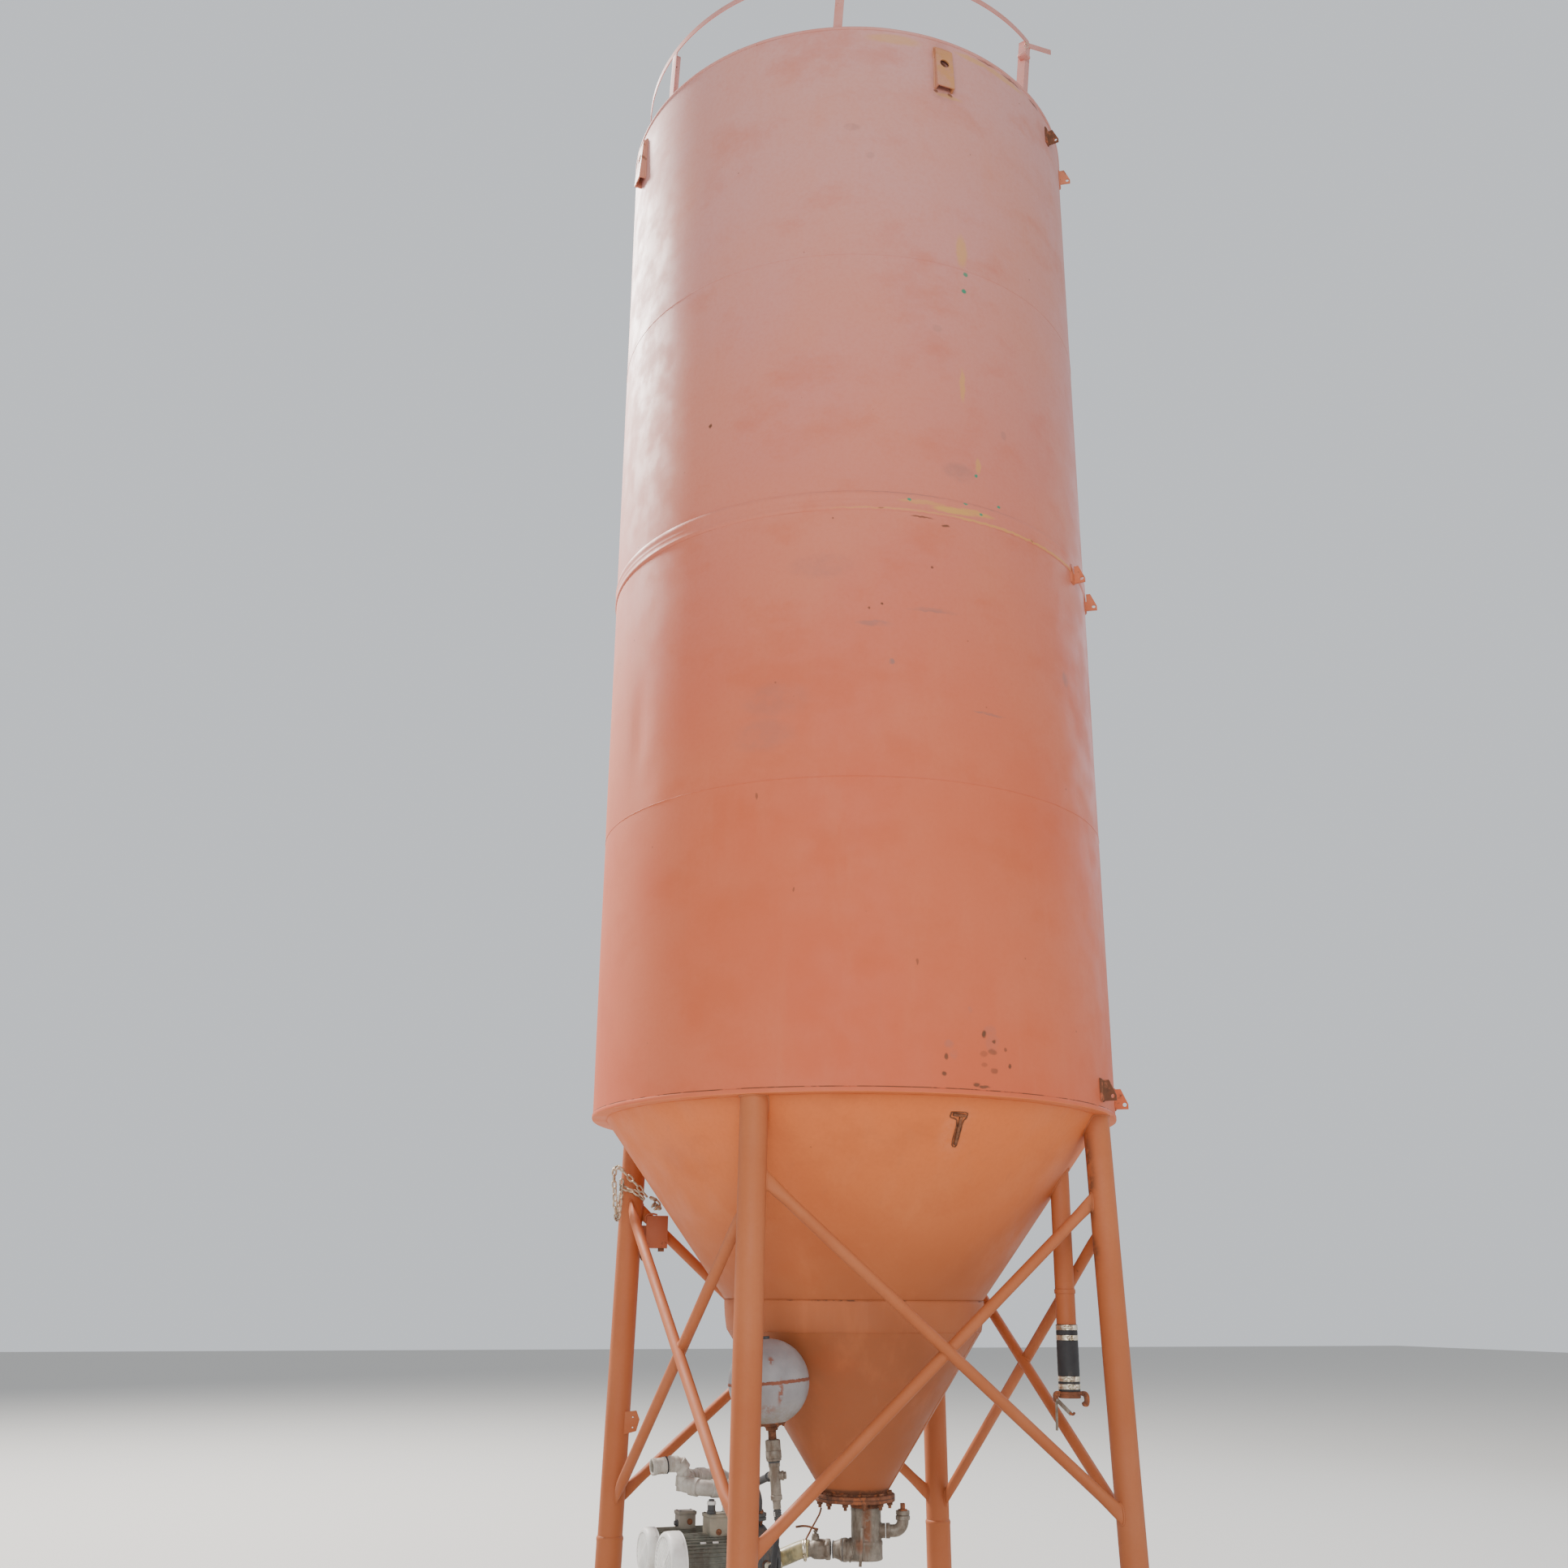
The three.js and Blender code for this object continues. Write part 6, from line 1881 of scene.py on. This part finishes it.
def makeSuctionSleeve():
    (y, z), mouth = pumps["front"]["axis"], pumps["front"]["mouth"]
    first = valvePlace @ Vector((valve["start"] - valve["length"] - 0.0003, 0, outlet["suction"]))
    second = valvePlace @ Vector((valve["start"] - valve["length"] - 0.0203, 0, outlet["suction"]))
    path = smoothPath([first, second, (mouth + 0.02, y, z), (mouth + 0.0003, y, z)], 8)
    sleeve = curvedPiece("suctionSleeve", path, 0.036, 10)
    finish(sleeve, finishes["sleeve"], ["suction_sleeve"])
    clamps = []
    for share, facing in ((0.1, 40), (0.9, 60)):
        strap = turnedPiece("strap", [(0.0358, -0.008), (0.0368, -0.008), (0.0376, -0.006), (0.037, -0.004),
                                      (0.037, 0.004), (0.0376, 0.006), (0.0368, 0.008), (0.0358, 0.008)], 48)
        ears = [blockPiece("ear", (0.0028, 0.016, 0.0145), (side * 0.007, -0.0445, 0), 0.001)
                for side in (-1, 1)]
        bolt = rodPiece("bolt", (-0.02, -0.046, 0), (0.022, -0.046, 0), 0.003, 12, 0, 0.0005)
        nuts = [hexNut("nut", (side * 0.0085, -0.046, 0), 0.006, 0.0055, (side, 0, 0)) for side in (-1, 1)]
        clamps.append(settle(join("clamp", [strap, *ears, bolt, *nuts]), placeOn(path, share) @ turn(facing)))
    finish(join("suctionClamps", clamps), finishes["clamp"])


def makeCowl(name, look):
    (y, z), (low, high), radius = look["axis"], look["cowl"], look["cowlRadius"]
    length = high - low
    rim = radius - 0.022
    profile = [(0.02, 0.008), (rim, 0.008), (rim + 0.001, 0.0), (radius - 0.014, 0.0),
               (radius - 0.006, 0.004), (radius - 0.002, 0.01), (radius, 0.024), (radius, length - 0.012),
               (radius - 0.0015, length - 0.01), (radius - 0.0015, length - 0.004),
               (radius, length - 0.002), (radius - 0.001, length), (0.02, length)]
    cowl = turnedPiece("cowl", profile, 72)
    pieces = [cowl]
    count = 15
    for number in range(count):
        across = (number - (count - 1) / 2) * 2 * rim / count
        half = math.sqrt(max(1e-6, rim * rim - across * across))
        if half > 0.02:
            pieces.append(blockPiece("slat", (2 * half, 0.0052, 0.0075), (0, across, 0.0045), 0.0006, 0,
                                     turn(45), 0))
    hub = turnedPiece("hub", [(0, 0.0015), (0.016, 0.0015), (0.019, 0.003), (0.019, 0.009), (0, 0.009)], 32)
    crossbar = blockPiece("crossbar", (0.009, 2 * rim, 0.007), (0, 0, 0.0048), 0.0008, 0, turn(45))
    pieces += [hub, crossbar]
    for number in range(4):
        facing = turn(45 + 90 * number)
        spot = facing @ Vector((radius - 0.0005, 0, length - 0.018))
        pieces.append(rodPiece("screw", spot, spot + (facing @ Vector((0.0035, 0, 0))), 0.0045, 14, 0,
                               0.0008))
    replaced = ["pump_front_cowl"] if name == "frontPump" else ()
    cowl = settle(join(f"{name}Cowl", pieces), along((low, y, z), (1, 0, 0)))
    finish(cowl, finishes["white"], replaced)


def makeMotor(name, look):
    (y, z), (low, high) = look["axis"], look["motor"]
    core, fin = look["core"], look["fin"]
    lying = along((low, y, z), (1, 0, 0))
    length = high - low
    barrel = turnedPiece("barrel", [(0.02, 0), (core, 0), (core, length * 0.5), (core, length),
                                    (0.02, length)], 88)
    centre = ((fin + core) / 2 - 0.003, 0, length / 2)
    blade = blockPiece("fin", (fin - core + 0.006, 0.0026, length - 0.004), centre, 0.0009)
    count = look["fins"]
    fins = spread("fins", blade, [turn((number + 0.5) * 360 / count) for number in range(count)])
    shieldLow, shieldHigh = look["shield"]
    wide = look["shieldRadius"]
    depth = shieldHigh - shieldLow
    shield = turnedPiece("shield", [(0.02, 0), (core + 0.004, 0), (wide - 0.012, depth * 0.25),
                                    (wide - 0.001, depth * 0.35), (wide, depth * 0.42),
                                    (wide, depth - 0.001), (wide - 0.001, depth), (0.02, depth)], 88)
    settle(shield, along((shieldLow, y, z), (1, 0, 0)))
    pieces = [settle(barrel, lying), settle(fins, lying), shield]
    feetWide, feetDeep, feetTall = look["feet"]
    floor, feetX = pumps["floor"], look["feetX"]
    pieces.append(blockPiece("sole", (feetWide, feetDeep, 0.014), (feetX, y, floor + 0.007), 0.002))
    for side in (-1, 1):
        centre = (feetX, y + side * feetDeep * 0.33, floor + feetTall / 2 + 0.005)
        pieces.append(blockPiece("web", (feetWide * 0.86, 0.016, feetTall), centre, 0.003))
        for end in (-1, 1):
            centre = (feetX + end * feetWide * 0.3, y + side * feetDeep * 0.4, floor + 0.03)
            pieces.append(blockPiece("rib", (0.01, feetDeep * 0.18, 0.04), centre, 0.002))
    pieces.append(blockPiece("saddle", (feetWide * 0.8, feetDeep * 0.62, feetTall * 0.8),
                             (feetX, y, floor + feetTall * 0.6), 0.004))
    boxX, boxZ = look["boxCentre"]
    wide, deep, tall = look["box"]
    base = blockPiece("boxBase", (wide - 0.006, deep - 0.006, tall - 0.012), (boxX, y, boxZ - 0.007), 0.005)
    stem = blockPiece("boxStem", (wide * 0.7, deep * 0.62, 0.05), (boxX, y, boxZ - tall / 2 - 0.008), 0.004)
    lid = blockPiece("boxLid", (wide, deep, 0.013), (boxX, y, boxZ + tall / 2 - 0.0065), 0.003)
    gasket = blockPiece("boxEdge", (wide - 0.003, deep - 0.003, 0.003), (boxX, y, boxZ + tall / 2 - 0.0145),
                        0.0008)
    pieces += [base, stem, lid, gasket]
    node = "pump_front_motor" if name == "frontPump" else "pump_rear"
    finish(join(f"{name}Motor", pieces), finishes["motor"], [node])
    small = []
    for across in (-1, 1):
        for backwards in (-1, 1):
            aside, behind = across * (wide / 2 - 0.01), backwards * (deep / 2 - 0.01)
            spot = Vector((boxX + aside, y + behind, boxZ + tall / 2 - 0.001))
            small.append(rodPiece("screw", spot, spot + Vector((0, 0, 0.003)), 0.0045, 16, 0, 0.001))
    if name == "rearPump":
        gland = Vector((boxX - wide / 2 + 0.004, y - 0.008, boxZ - 0.012))
        small += [hexNut("gland", gland, 0.0145, 0.007, (-1, 0, 0)),
                  rodPiece("dome", gland, gland + Vector((-0.016, 0, 0)), 0.0105, 20, 0, 0.003)]
    else:
        gland = Vector(pumps["topGland"])
        small += [settle(turnedPiece("gland", [(0, 0), (0.019, 0), (0.0195, 0.003), (0.0195, 0.012),
                                               (0.017, 0.014), (0.017, 0.036), (0, 0.036)], 28),
                         Matrix.Translation(gland)),
                  settle(turnedPiece("glandTop", [(0, 0.05), (0.0125, 0.05), (0.0125, 0.056),
                                                  (0.011, 0.0575), (0, 0.0575)], 28),
                         Matrix.Translation(gland))]
        light = [settle(turnedPiece("glandCap", [(0, 0.036), (0.0185, 0.036), (0.0195, 0.0375),
                                                 (0.0195, 0.047), (0.0165, 0.0505), (0, 0.0505)], 28),
                        Matrix.Translation(gland))]
        # two small white clips on the fins stand where the sun glints on the motor: painted highlight
        for spotX, degrees in pumps["motorClips"]:
            clip = blockPiece("clip", (0.026, 0.008, 0.004), (0, 0, look["fin"] + 0.0015), 0.0012)
            light.append(settle(clip, Matrix.Translation((spotX, y, z)) @ turn(degrees, "X")))
        for spotX, degrees in pumps["motorBolts"]:
            spot = Vector((spotX, y, z)) + turn(degrees, "X") @ Vector((0, -look["fin"] - 0.001, 0))
            light += boltPieces(spot, turn(degrees, "X") @ Vector((0, -1, 0)), 0.0075, 0.7, 0.003)
        finish(join("motorClips", light), finishes["white"])
    fromX, fromZ = look["knockout"]
    spot = Vector((boxX + fromX, y - deep / 2 + 0.006, boxZ + fromZ))
    knockout = rodPiece("knockout", spot, spot - Vector((0, 0.0068, 0)), 0.0125, 28, 0, 0.0012)
    finish(knockout, finishes["rust"])
    for across in (-1, 1):
        for deepSide in (-1, 1):
            spot = (feetX + across * feetWide * 0.4, y + deepSide * feetDeep * 0.43, floor + 0.014)
            small += boltPieces(spot, (0, 0, 1), 0.0085, 0.8, 0.006)
    finish(join(f"{name}Screws", small), finishes["plastic"])


def makeCasing(name, look):
    (y, z) = look["axis"]
    start = look["shield"][1] + 0.0003
    casing = settle(turnedPiece("casing", look["casing"], 88), along((start, y, z), (1, 0, 0)))
    roughen(casing, 0.0006, 30)
    bossX = look["port"]
    boss = settle(turnedPiece("boss", look["boss"], 48), Matrix.Translation((bossX, y, z)))
    pieces = [casing, boss]
    if look["foot"]:
        footX, wide, deep, tall = look["foot"]
        pieces.append(blockPiece("casingFoot", (wide, deep, 0.014), (footX, y, pumps["floor"] + 0.007),
                                 0.002))
        pieces.append(blockPiece("casingWeb", (0.018, deep * 0.7, tall),
                                 (footX, y, pumps["floor"] + tall / 2), 0.003))
    bolt = join("bolt", boltPieces((0, 0, 0), (0, 0, -1), 0.0095, 0.75, 0.003))
    back = along((start - 0.003, y, z), (1, 0, 0))
    places = []
    for number in range(8):
        around = turn(22.5 + 45 * number) @ Vector((look["boltRing"] * 0.93, 0, 0))
        inwards = Vector((0, 0, look["boltDepth"]))
        places.append(back @ Matrix.Translation(around + inwards) @ turn(13 * number))
    bolts = [spread("bolts", bolt, places)]
    if name == "frontPump":
        mouth = join("bolt", boltPieces((0, 0, 0), (0, 0, -1), 0.0085, 0.75, 0.003))
        front = along((start + 0.124, y, z), (1, 0, 0))
        places = [front @ Matrix.Translation(turn(45 + 90 * number) @ Vector((0.068, 0, 0)))
                  for number in range(4)]
        bolts.append(spread("mouthBolts", mouth, places))
        nipple = turnedPiece("nipple", [(0, 0.12), (0.0185, 0.12), (0.0185, 0.14), (0.0165, 0.141),
                                        (0.0165, 0.1598), (0, 0.1598)], 32)
        pieces.append(settle(nipple, along((bossX, y, z), (0, -1, 0))))
        bolts.append(hexNut("hoseNut", (bossX, y - 0.1385, z), 0.0205, 0.011, (0, -1, 0)))
        for number in range(4):
            spot = Vector((bossX, y, z)) + turn(20 + 90 * number) @ Vector((0.0425, 0, 0))
            bolts += [*boltPieces(spot + Vector((0, 0, 0.185)), (0, 0, 1), 0.008, 0.75, 0.003),
                      *boltPieces(spot + Vector((0, 0, 0.156)), (0, 0, -1), 0.008, 0.75, 0.01)]
    paint = finishes["castIron" if name == "frontPump" else "motor"]
    replaced = ["pump_front_casing"] if name == "frontPump" else ()
    finish(join(f"{name}Casing", pieces), paint, replaced)
    finish(join(f"{name}Bolts", bolts), finishes["rust"])


def makePlinth():
    size, middle = pumps["plinth"]
    block = blockPiece("pumpPlinth", size, (0, 0, 0), 0.006)
    select(block)
    bpy.ops.object.mode_set(mode="EDIT")
    bpy.ops.mesh.select_all(action="SELECT")
    bpy.ops.mesh.subdivide(number_cuts=24)
    bpy.ops.object.mode_set(mode="OBJECT")
    half = Vector(size) / 2
    for vertex in block.data.vertices:
        spot = vertex.co
        edges = sorted(half[axis] - abs(spot[axis]) for axis in range(3))
        near = max(0.0, 1 - edges[1] / pumps["chipWidth"])
        chip = max(0.0, noise.noise(spot * 22) - 0.12) * near
        rough = 0.0012 * noise.noise(spot * 40)
        for axis in range(3):
            standing = axis == 2 and spot.z < -0.19
            if half[axis] - abs(spot[axis]) < pumps["chipWidth"] and not standing:
                vertex.co[axis] -= math.copysign(abs(pumps["chipDepth"] * chip + abs(rough)), spot[axis])
    block.data.update()
    settle(block, Matrix.Translation((*middle, size[2] / 2)))
    finish(block, finishes["concrete"], ["pump_plinth"], 50)


makeSuctionSleeve()
for pump in ("front", "rear"):
    makeCowl(f"{pump}Pump", pumps[pump])
    makeMotor(f"{pump}Pump", pumps[pump])
    makeCasing(f"{pump}Pump", pumps[pump])
makePlinth()
print("pumps made")


# discharge: a riser from each pump to an upright joint with the open coupling, and a thin
# branch to the vessel

discharge = {
    "frontRiser": (
        (-0.395, 0.177, 0.7343), (-0.395, 0.177, 0.784), (-0.41, 0.177, 0.819), (-0.445, 0.177, 0.834),
        (-0.512, 0.177, 0.834), (-0.599, 0.177, 0.836), (-0.655, 0.19, 0.841), (-0.7, 0.25, 0.85),
    ),
    "rearRiser": (
        (-0.405, 0.47, 0.7003), (-0.405, 0.47, 0.8), (-0.418, 0.462, 0.835), (-0.455, 0.44, 0.852),
        (-0.525, 0.41, 0.862), (-0.604, 0.37, 0.866), (-0.66, 0.31, 0.868), (-0.7, 0.25, 0.87),
    ),
    "upright": (
        (-0.7, 0.25, 0.822), (-0.7, 0.25, 0.9), (-0.712, 0.25, 0.924), (-0.74, 0.25, 0.93),
        (-0.8, 0.25, 0.924),
    ),
    "coupling": ((-0.79, 0.25, 0.925), (-0.843, 0.25, 0.92)),
    "branch": ((-0.52, -0.365, 0.942), (-0.432, 0.177, 0.836)),
    "radius": {"frontRiser": 0.0325, "rearRiser": 0.0295, "upright": 0.029},
    "collars": {"frontRiser": (0.43, 0.62, 0.85), "rearRiser": (0.1, 0.4, 0.62, 0.84),
                "upright": (0.2, 0.52, 0.72)},
    "darkEnd": 20,
}


def pipeCollar(radius, long, path, share):
    wide = radius + 0.0045
    collar = turnedPiece("collar", [
        (radius - 0.003, -long), (wide - 0.002, -long), (wide, -long + 0.002), (wide, -0.002),
        (wide - 0.0008, 0), (wide, 0.002), (wide, long - 0.002), (wide - 0.002, long), (radius - 0.003, long),
    ], 36)
    return settle(collar, placeOn(path, share))


def makeDischarge():
    pieces = []
    dark = []
    for run, radius in discharge["radius"].items():
        path = smoothPath(discharge[run], 8)
        if run == "frontRiser":
            cut = discharge["darkEnd"]
            neck = curvedPiece("riserNeck", path[:cut + 1], radius, 8)
            dark += [neck, pipeCollar(radius, 0.014, path[:cut + 1], 0.94)]
            pieces.append(curvedPiece(run, path[cut:], radius - 0.0003, 8))
        else:
            pieces.append(curvedPiece(run, path, radius, 8))
        pieces += [pipeCollar(radius, 0.021, path, share) for share in discharge["collars"][run]]
    start, end = (Vector(point) for point in discharge["coupling"])
    length = (end - start).length
    mouth = turnedPiece("mouth", [
        (0.02, -0.01), (0.032, -0.01), (0.0345, -0.008), (0.0345, 0.004), (0.0328, 0.006),
        (0.0328, length - 0.018), (0.0345, length - 0.016), (0.0345, length - 0.002), (0.033, length),
        (0.0275, length), (0.0265, length - 0.002), (0.0265, length * 0.35), (0.02, length * 0.34),
    ], 44)
    pieces.append(settle(mouth, along(start, end - start)))
    finish(join("dischargePipe", pieces), finishes["shadedWhitePipe"], ["discharge_pipe"])
    seal = turnedPiece("couplingSeal", [
        (0, length * 0.4), (0.0262, length * 0.4), (0.0262, length * 0.72), (0.0245, length * 0.74),
        (0.0235, length * 0.46), (0, length * 0.45),
    ], 40)
    ring = turnedPiece("couplingRing", [(0.03, -0.0145), (0.0352, -0.0145), (0.0356, -0.013),
                                        (0.0352, -0.0105), (0.03, -0.0105)], 40)
    seals = join("couplingSeal", [settle(piece, along(start, end - start)) for piece in (seal, ring)])
    finish(seals, finishes["rubber"])
    finish(join("riserNeck", dark), finishes["castIron"])
    start, end = (Vector(point) for point in discharge["branch"])
    start = start.lerp(end, 0.045)
    tube = rodPiece("branchPipe", start, end, 0.0148, 28, 5)
    bands = [pipeCollar(0.0148, 0.01, [start, end], share) for share in (0.16, 0.93)]
    finish(join("branchPipe", [roughen(tube, 0.0005, 30), *bands]), finishes["plastic"])


makeDischarge()
print("discharge pipe made")


# vessel on its leaning stem

def makeStem():
    def lathe(name, profile, steps=40):
        return settle(turnedPiece(name, profile, steps), vesselPlace)

    tee = lathe("pressureStem", [
        (0.01, -0.112), (0.013, -0.112), (0.0155, -0.1105), (0.016, -0.109), (0.016, -0.0855),
        (0.0175, -0.083), (0.017, -0.08), (0.0205, -0.0785), (0.0232, -0.077), (0.0235, -0.061),
        (0.0215, -0.059), (0.021, -0.04), (0.021, 0.04), (0.0215, 0.044), (0.0235, 0.046), (0.0235, 0.058),
        (0.0222, 0.06), (0.01, 0.06),
    ])
    nipple = lathe("nipple", [(0.01, 0.058), (0.0175, 0.058), (0.0175, 0.067), (0.01, 0.067)])
    union = [settle(hexNut("union", (0, 0, 0.0735), 0.0335, 0.034), vesselPlace @ turn(12)),
             lathe("unionBody", [(0.01, 0.066), (0.028, 0.066), (0.0305, 0.068), (0.0305, 0.0745),
                                 (0.01, 0.0745)]),
             lathe("unionCap", [(0.01, 0.106), (0.03, 0.106), (0.031, 0.1075), (0.031, 0.14),
                                (0.0298, 0.144), (0.0245, 0.1465), (0.01, 0.1465)], 12)]
    finish(join("pressureStem", [tee, nipple, *union]), finishes["galvanised"],
           ["pressure_stem"])
    ring = lathe("stemSeal", [(0.015, 0.0598), (0.024, 0.06), (0.0248, 0.0615), (0.0248, 0.0645),
                              (0.0238, 0.066), (0.015, 0.0662)])
    plugPlace = vesselPlace @ turn(outlet["turn"]) @ along((0, 0, 0.01), (1, 0, 0))
    start, end = (Vector(point) for point in discharge["branch"])
    leftPlace = along(start, end - start)
    socket = settle(turnedPiece("plugSocket", [(0.008, 0.015), (0.016, 0.015), (0.0165, 0.026),
                                               (0.0185, 0.0275), (0.0185, 0.0345), (0.017, 0.036),
                                               (0.008, 0.036)], 32), plugPlace)
    cap = settle(hexNut("cap", (0, 0, 0.0355), 0.015, 0.0105), plugPlace)
    branch = settle(turnedPiece("branch", [
        (0.008, 0.012), (0.017, 0.012), (0.0172, 0.03), (0.02, 0.032), (0.02, 0.045), (0.0185, 0.0465),
        (0.008, 0.0465),
    ], 32), leftPlace)
    finish(join("stemPlug", [socket, cap, branch]), finishes["galvanised"])
    finish(ring, finishes["plastic"])
    rusty = lathe("stemNipple", [(0.01, 0.145), (0.0165, 0.145), (0.0165, 0.184), (0.01, 0.184)])
    hexagon = settle(hexNut("hexagon", (0, 0, 0.18), 0.0262, 0.0185), vesselPlace @ turn(20))
    threads = [lathe("thread", [(0.012, low), (0.0168, low), (0.0176, low + 0.001), (0.0168, low + 0.002),
                                (0.012, low + 0.002)], 32)
               for low in (0.1475, 0.1505, 0.1535, 0.1735, 0.1765)]
    finish(join("stemNipple", [rusty, hexagon, *threads]), finishes["rust"])


def makeSphere():
    radius, height = vessel["radius"], vessel["height"]
    profile = []
    for step in range(61):
        angle = math.radians(-90 + 3 * step)
        profile.append((radius * math.cos(angle), height + radius * math.sin(angle)))
    seam = [(radius, height - 0.005), (radius + 0.0016, height - 0.0042), (radius + 0.0024, height - 0.002),
            (radius + 0.0014, height), (radius + 0.0022, height + 0.0022),
            (radius + 0.0014, height + 0.004), (radius, height + 0.0048)]
    middle = 30
    profile = profile[:middle] + seam + profile[middle + 1:]
    profile[0] = (0.0, profile[0][1])
    profile[-1] = (0.0, profile[-1][1])
    ball = turnedPiece("pressureSphere", profile, 96, False)
    nipple = turnedPiece("nipple", [(0, height + radius - 0.006), (0.0125, height + radius - 0.004),
                                    (0.0125, height + radius + 0.001), (0.0085, height + radius + 0.002),
                                    (0.0085, height + radius + 0.004), (0, height + radius + 0.004)], 28)
    pad = turnedPiece("pad", [(0.04, 0.214), (0.064, 0.2145), (0.066, 0.217), (0.064, 0.2195),
                              (0.04, 0.2195)], 48)
    finish(settle(join("pressureSphere", [ball, nipple, pad]), vesselPlace), vesselFinish,
           ["pressure_sphere"], 45)
    foot = radius + 0.001
    low = height - foot
    flange = turnedPiece("vesselFlange", [
        (0.012, low), (0.048, low), (0.05, low + 0.002), (0.0505, low + 0.0065), (0.0565, low + 0.007),
        (0.058, low + 0.0085), (0.058, low + 0.0145), (0.0565, low + 0.016), (0.05, low + 0.018),
        (0.012, low + 0.018),
    ], 64)
    parts = [roughen(flange, 0.0008, 40)]
    bolt = join("bolt", boltPieces((0, 0, low + 0.0065), (0, 0, -1), 0.008, 0.8, 0.004))
    places = [Matrix.Translation(roundPoint(0.0475, 10 + 60 * number)) @ turn(25 * number)
              for number in range(6)]
    parts.append(spread("bolts", bolt, places))
    finish(settle(join("vesselFlange", parts), vesselPlace), finishes["flange"])
    cap = turnedPiece("vesselCap", [
        (0, height + radius + 0.0098), (0.0125, height + radius + 0.0098), (0.0152, height + radius + 0.008),
        (0.016, height + radius + 0.003), (0.016, height + radius - 0.002), (0, height + radius - 0.002),
    ], 28)
    finish(settle(cap, vesselPlace), finishes["plastic"])


makeStem()
makeSphere()
print("vessel made")


# studio

studio = {
    "floor": (0.5, 0.485, 0.46),
    "floorSize": 90,
    "floorHeight": -0.001,
    "floorRoughness": 0.85,
    "sky": (0.86, 0.9, 0.95),
    "skyStrength": 0.85,
    "lights": (  # name, place, size, power, aim, colour
        ("sunSide", (-6.0, 10.7, 15), 2.8, 8600, (0, 0, 5), (1.0, 0.97, 0.93)),
        ("frontFill", (-5, -11, 5), 6.0, 840, (0, 0, 3), (1.0, 1.0, 1.0)),
        ("coolSide", (10, 3, 8), 5.0, 380, (0, 0, 5), (0.62, 0.8, 1.0)),
        ("groundGlow", (2.5, -3.5, 0.3), 3.0, 60, (0, 0, 2.2), (1.0, 1.0, 1.0)),
    ),
}


def addStudio():
    clearSelection()
    bpy.ops.mesh.primitive_plane_add(size=studio["floorSize"], location=(0, 0, studio["floorHeight"]))
    floor = named("studioFloor")
    material, _, shader, _ = newMaterial("studioFloor")
    shader.inputs["Base Color"].default_value = (*studio["floor"], 1)
    shader.inputs["Roughness"].default_value = studio["floorRoughness"]
    floor.data.materials.append(material)
    world = bpy.data.worlds.new("studio")
    world.use_nodes = True
    background = world.node_tree.nodes["Background"]
    background.inputs[0].default_value = (*studio["sky"], 1)
    background.inputs[1].default_value = studio["skyStrength"]
    bpy.context.scene.world = world
    for name, spot, size, power, target, tint in studio["lights"]:
        data = bpy.data.lights.new(name, "AREA")
        data.size = size
        data.energy = power
        data.color = tint
        light = bpy.data.objects.new(name, data)
        bpy.context.collection.objects.link(light)
        light.matrix_world = along(spot, Vector(spot) - Vector(target))


addStudio()
print("studio ready")
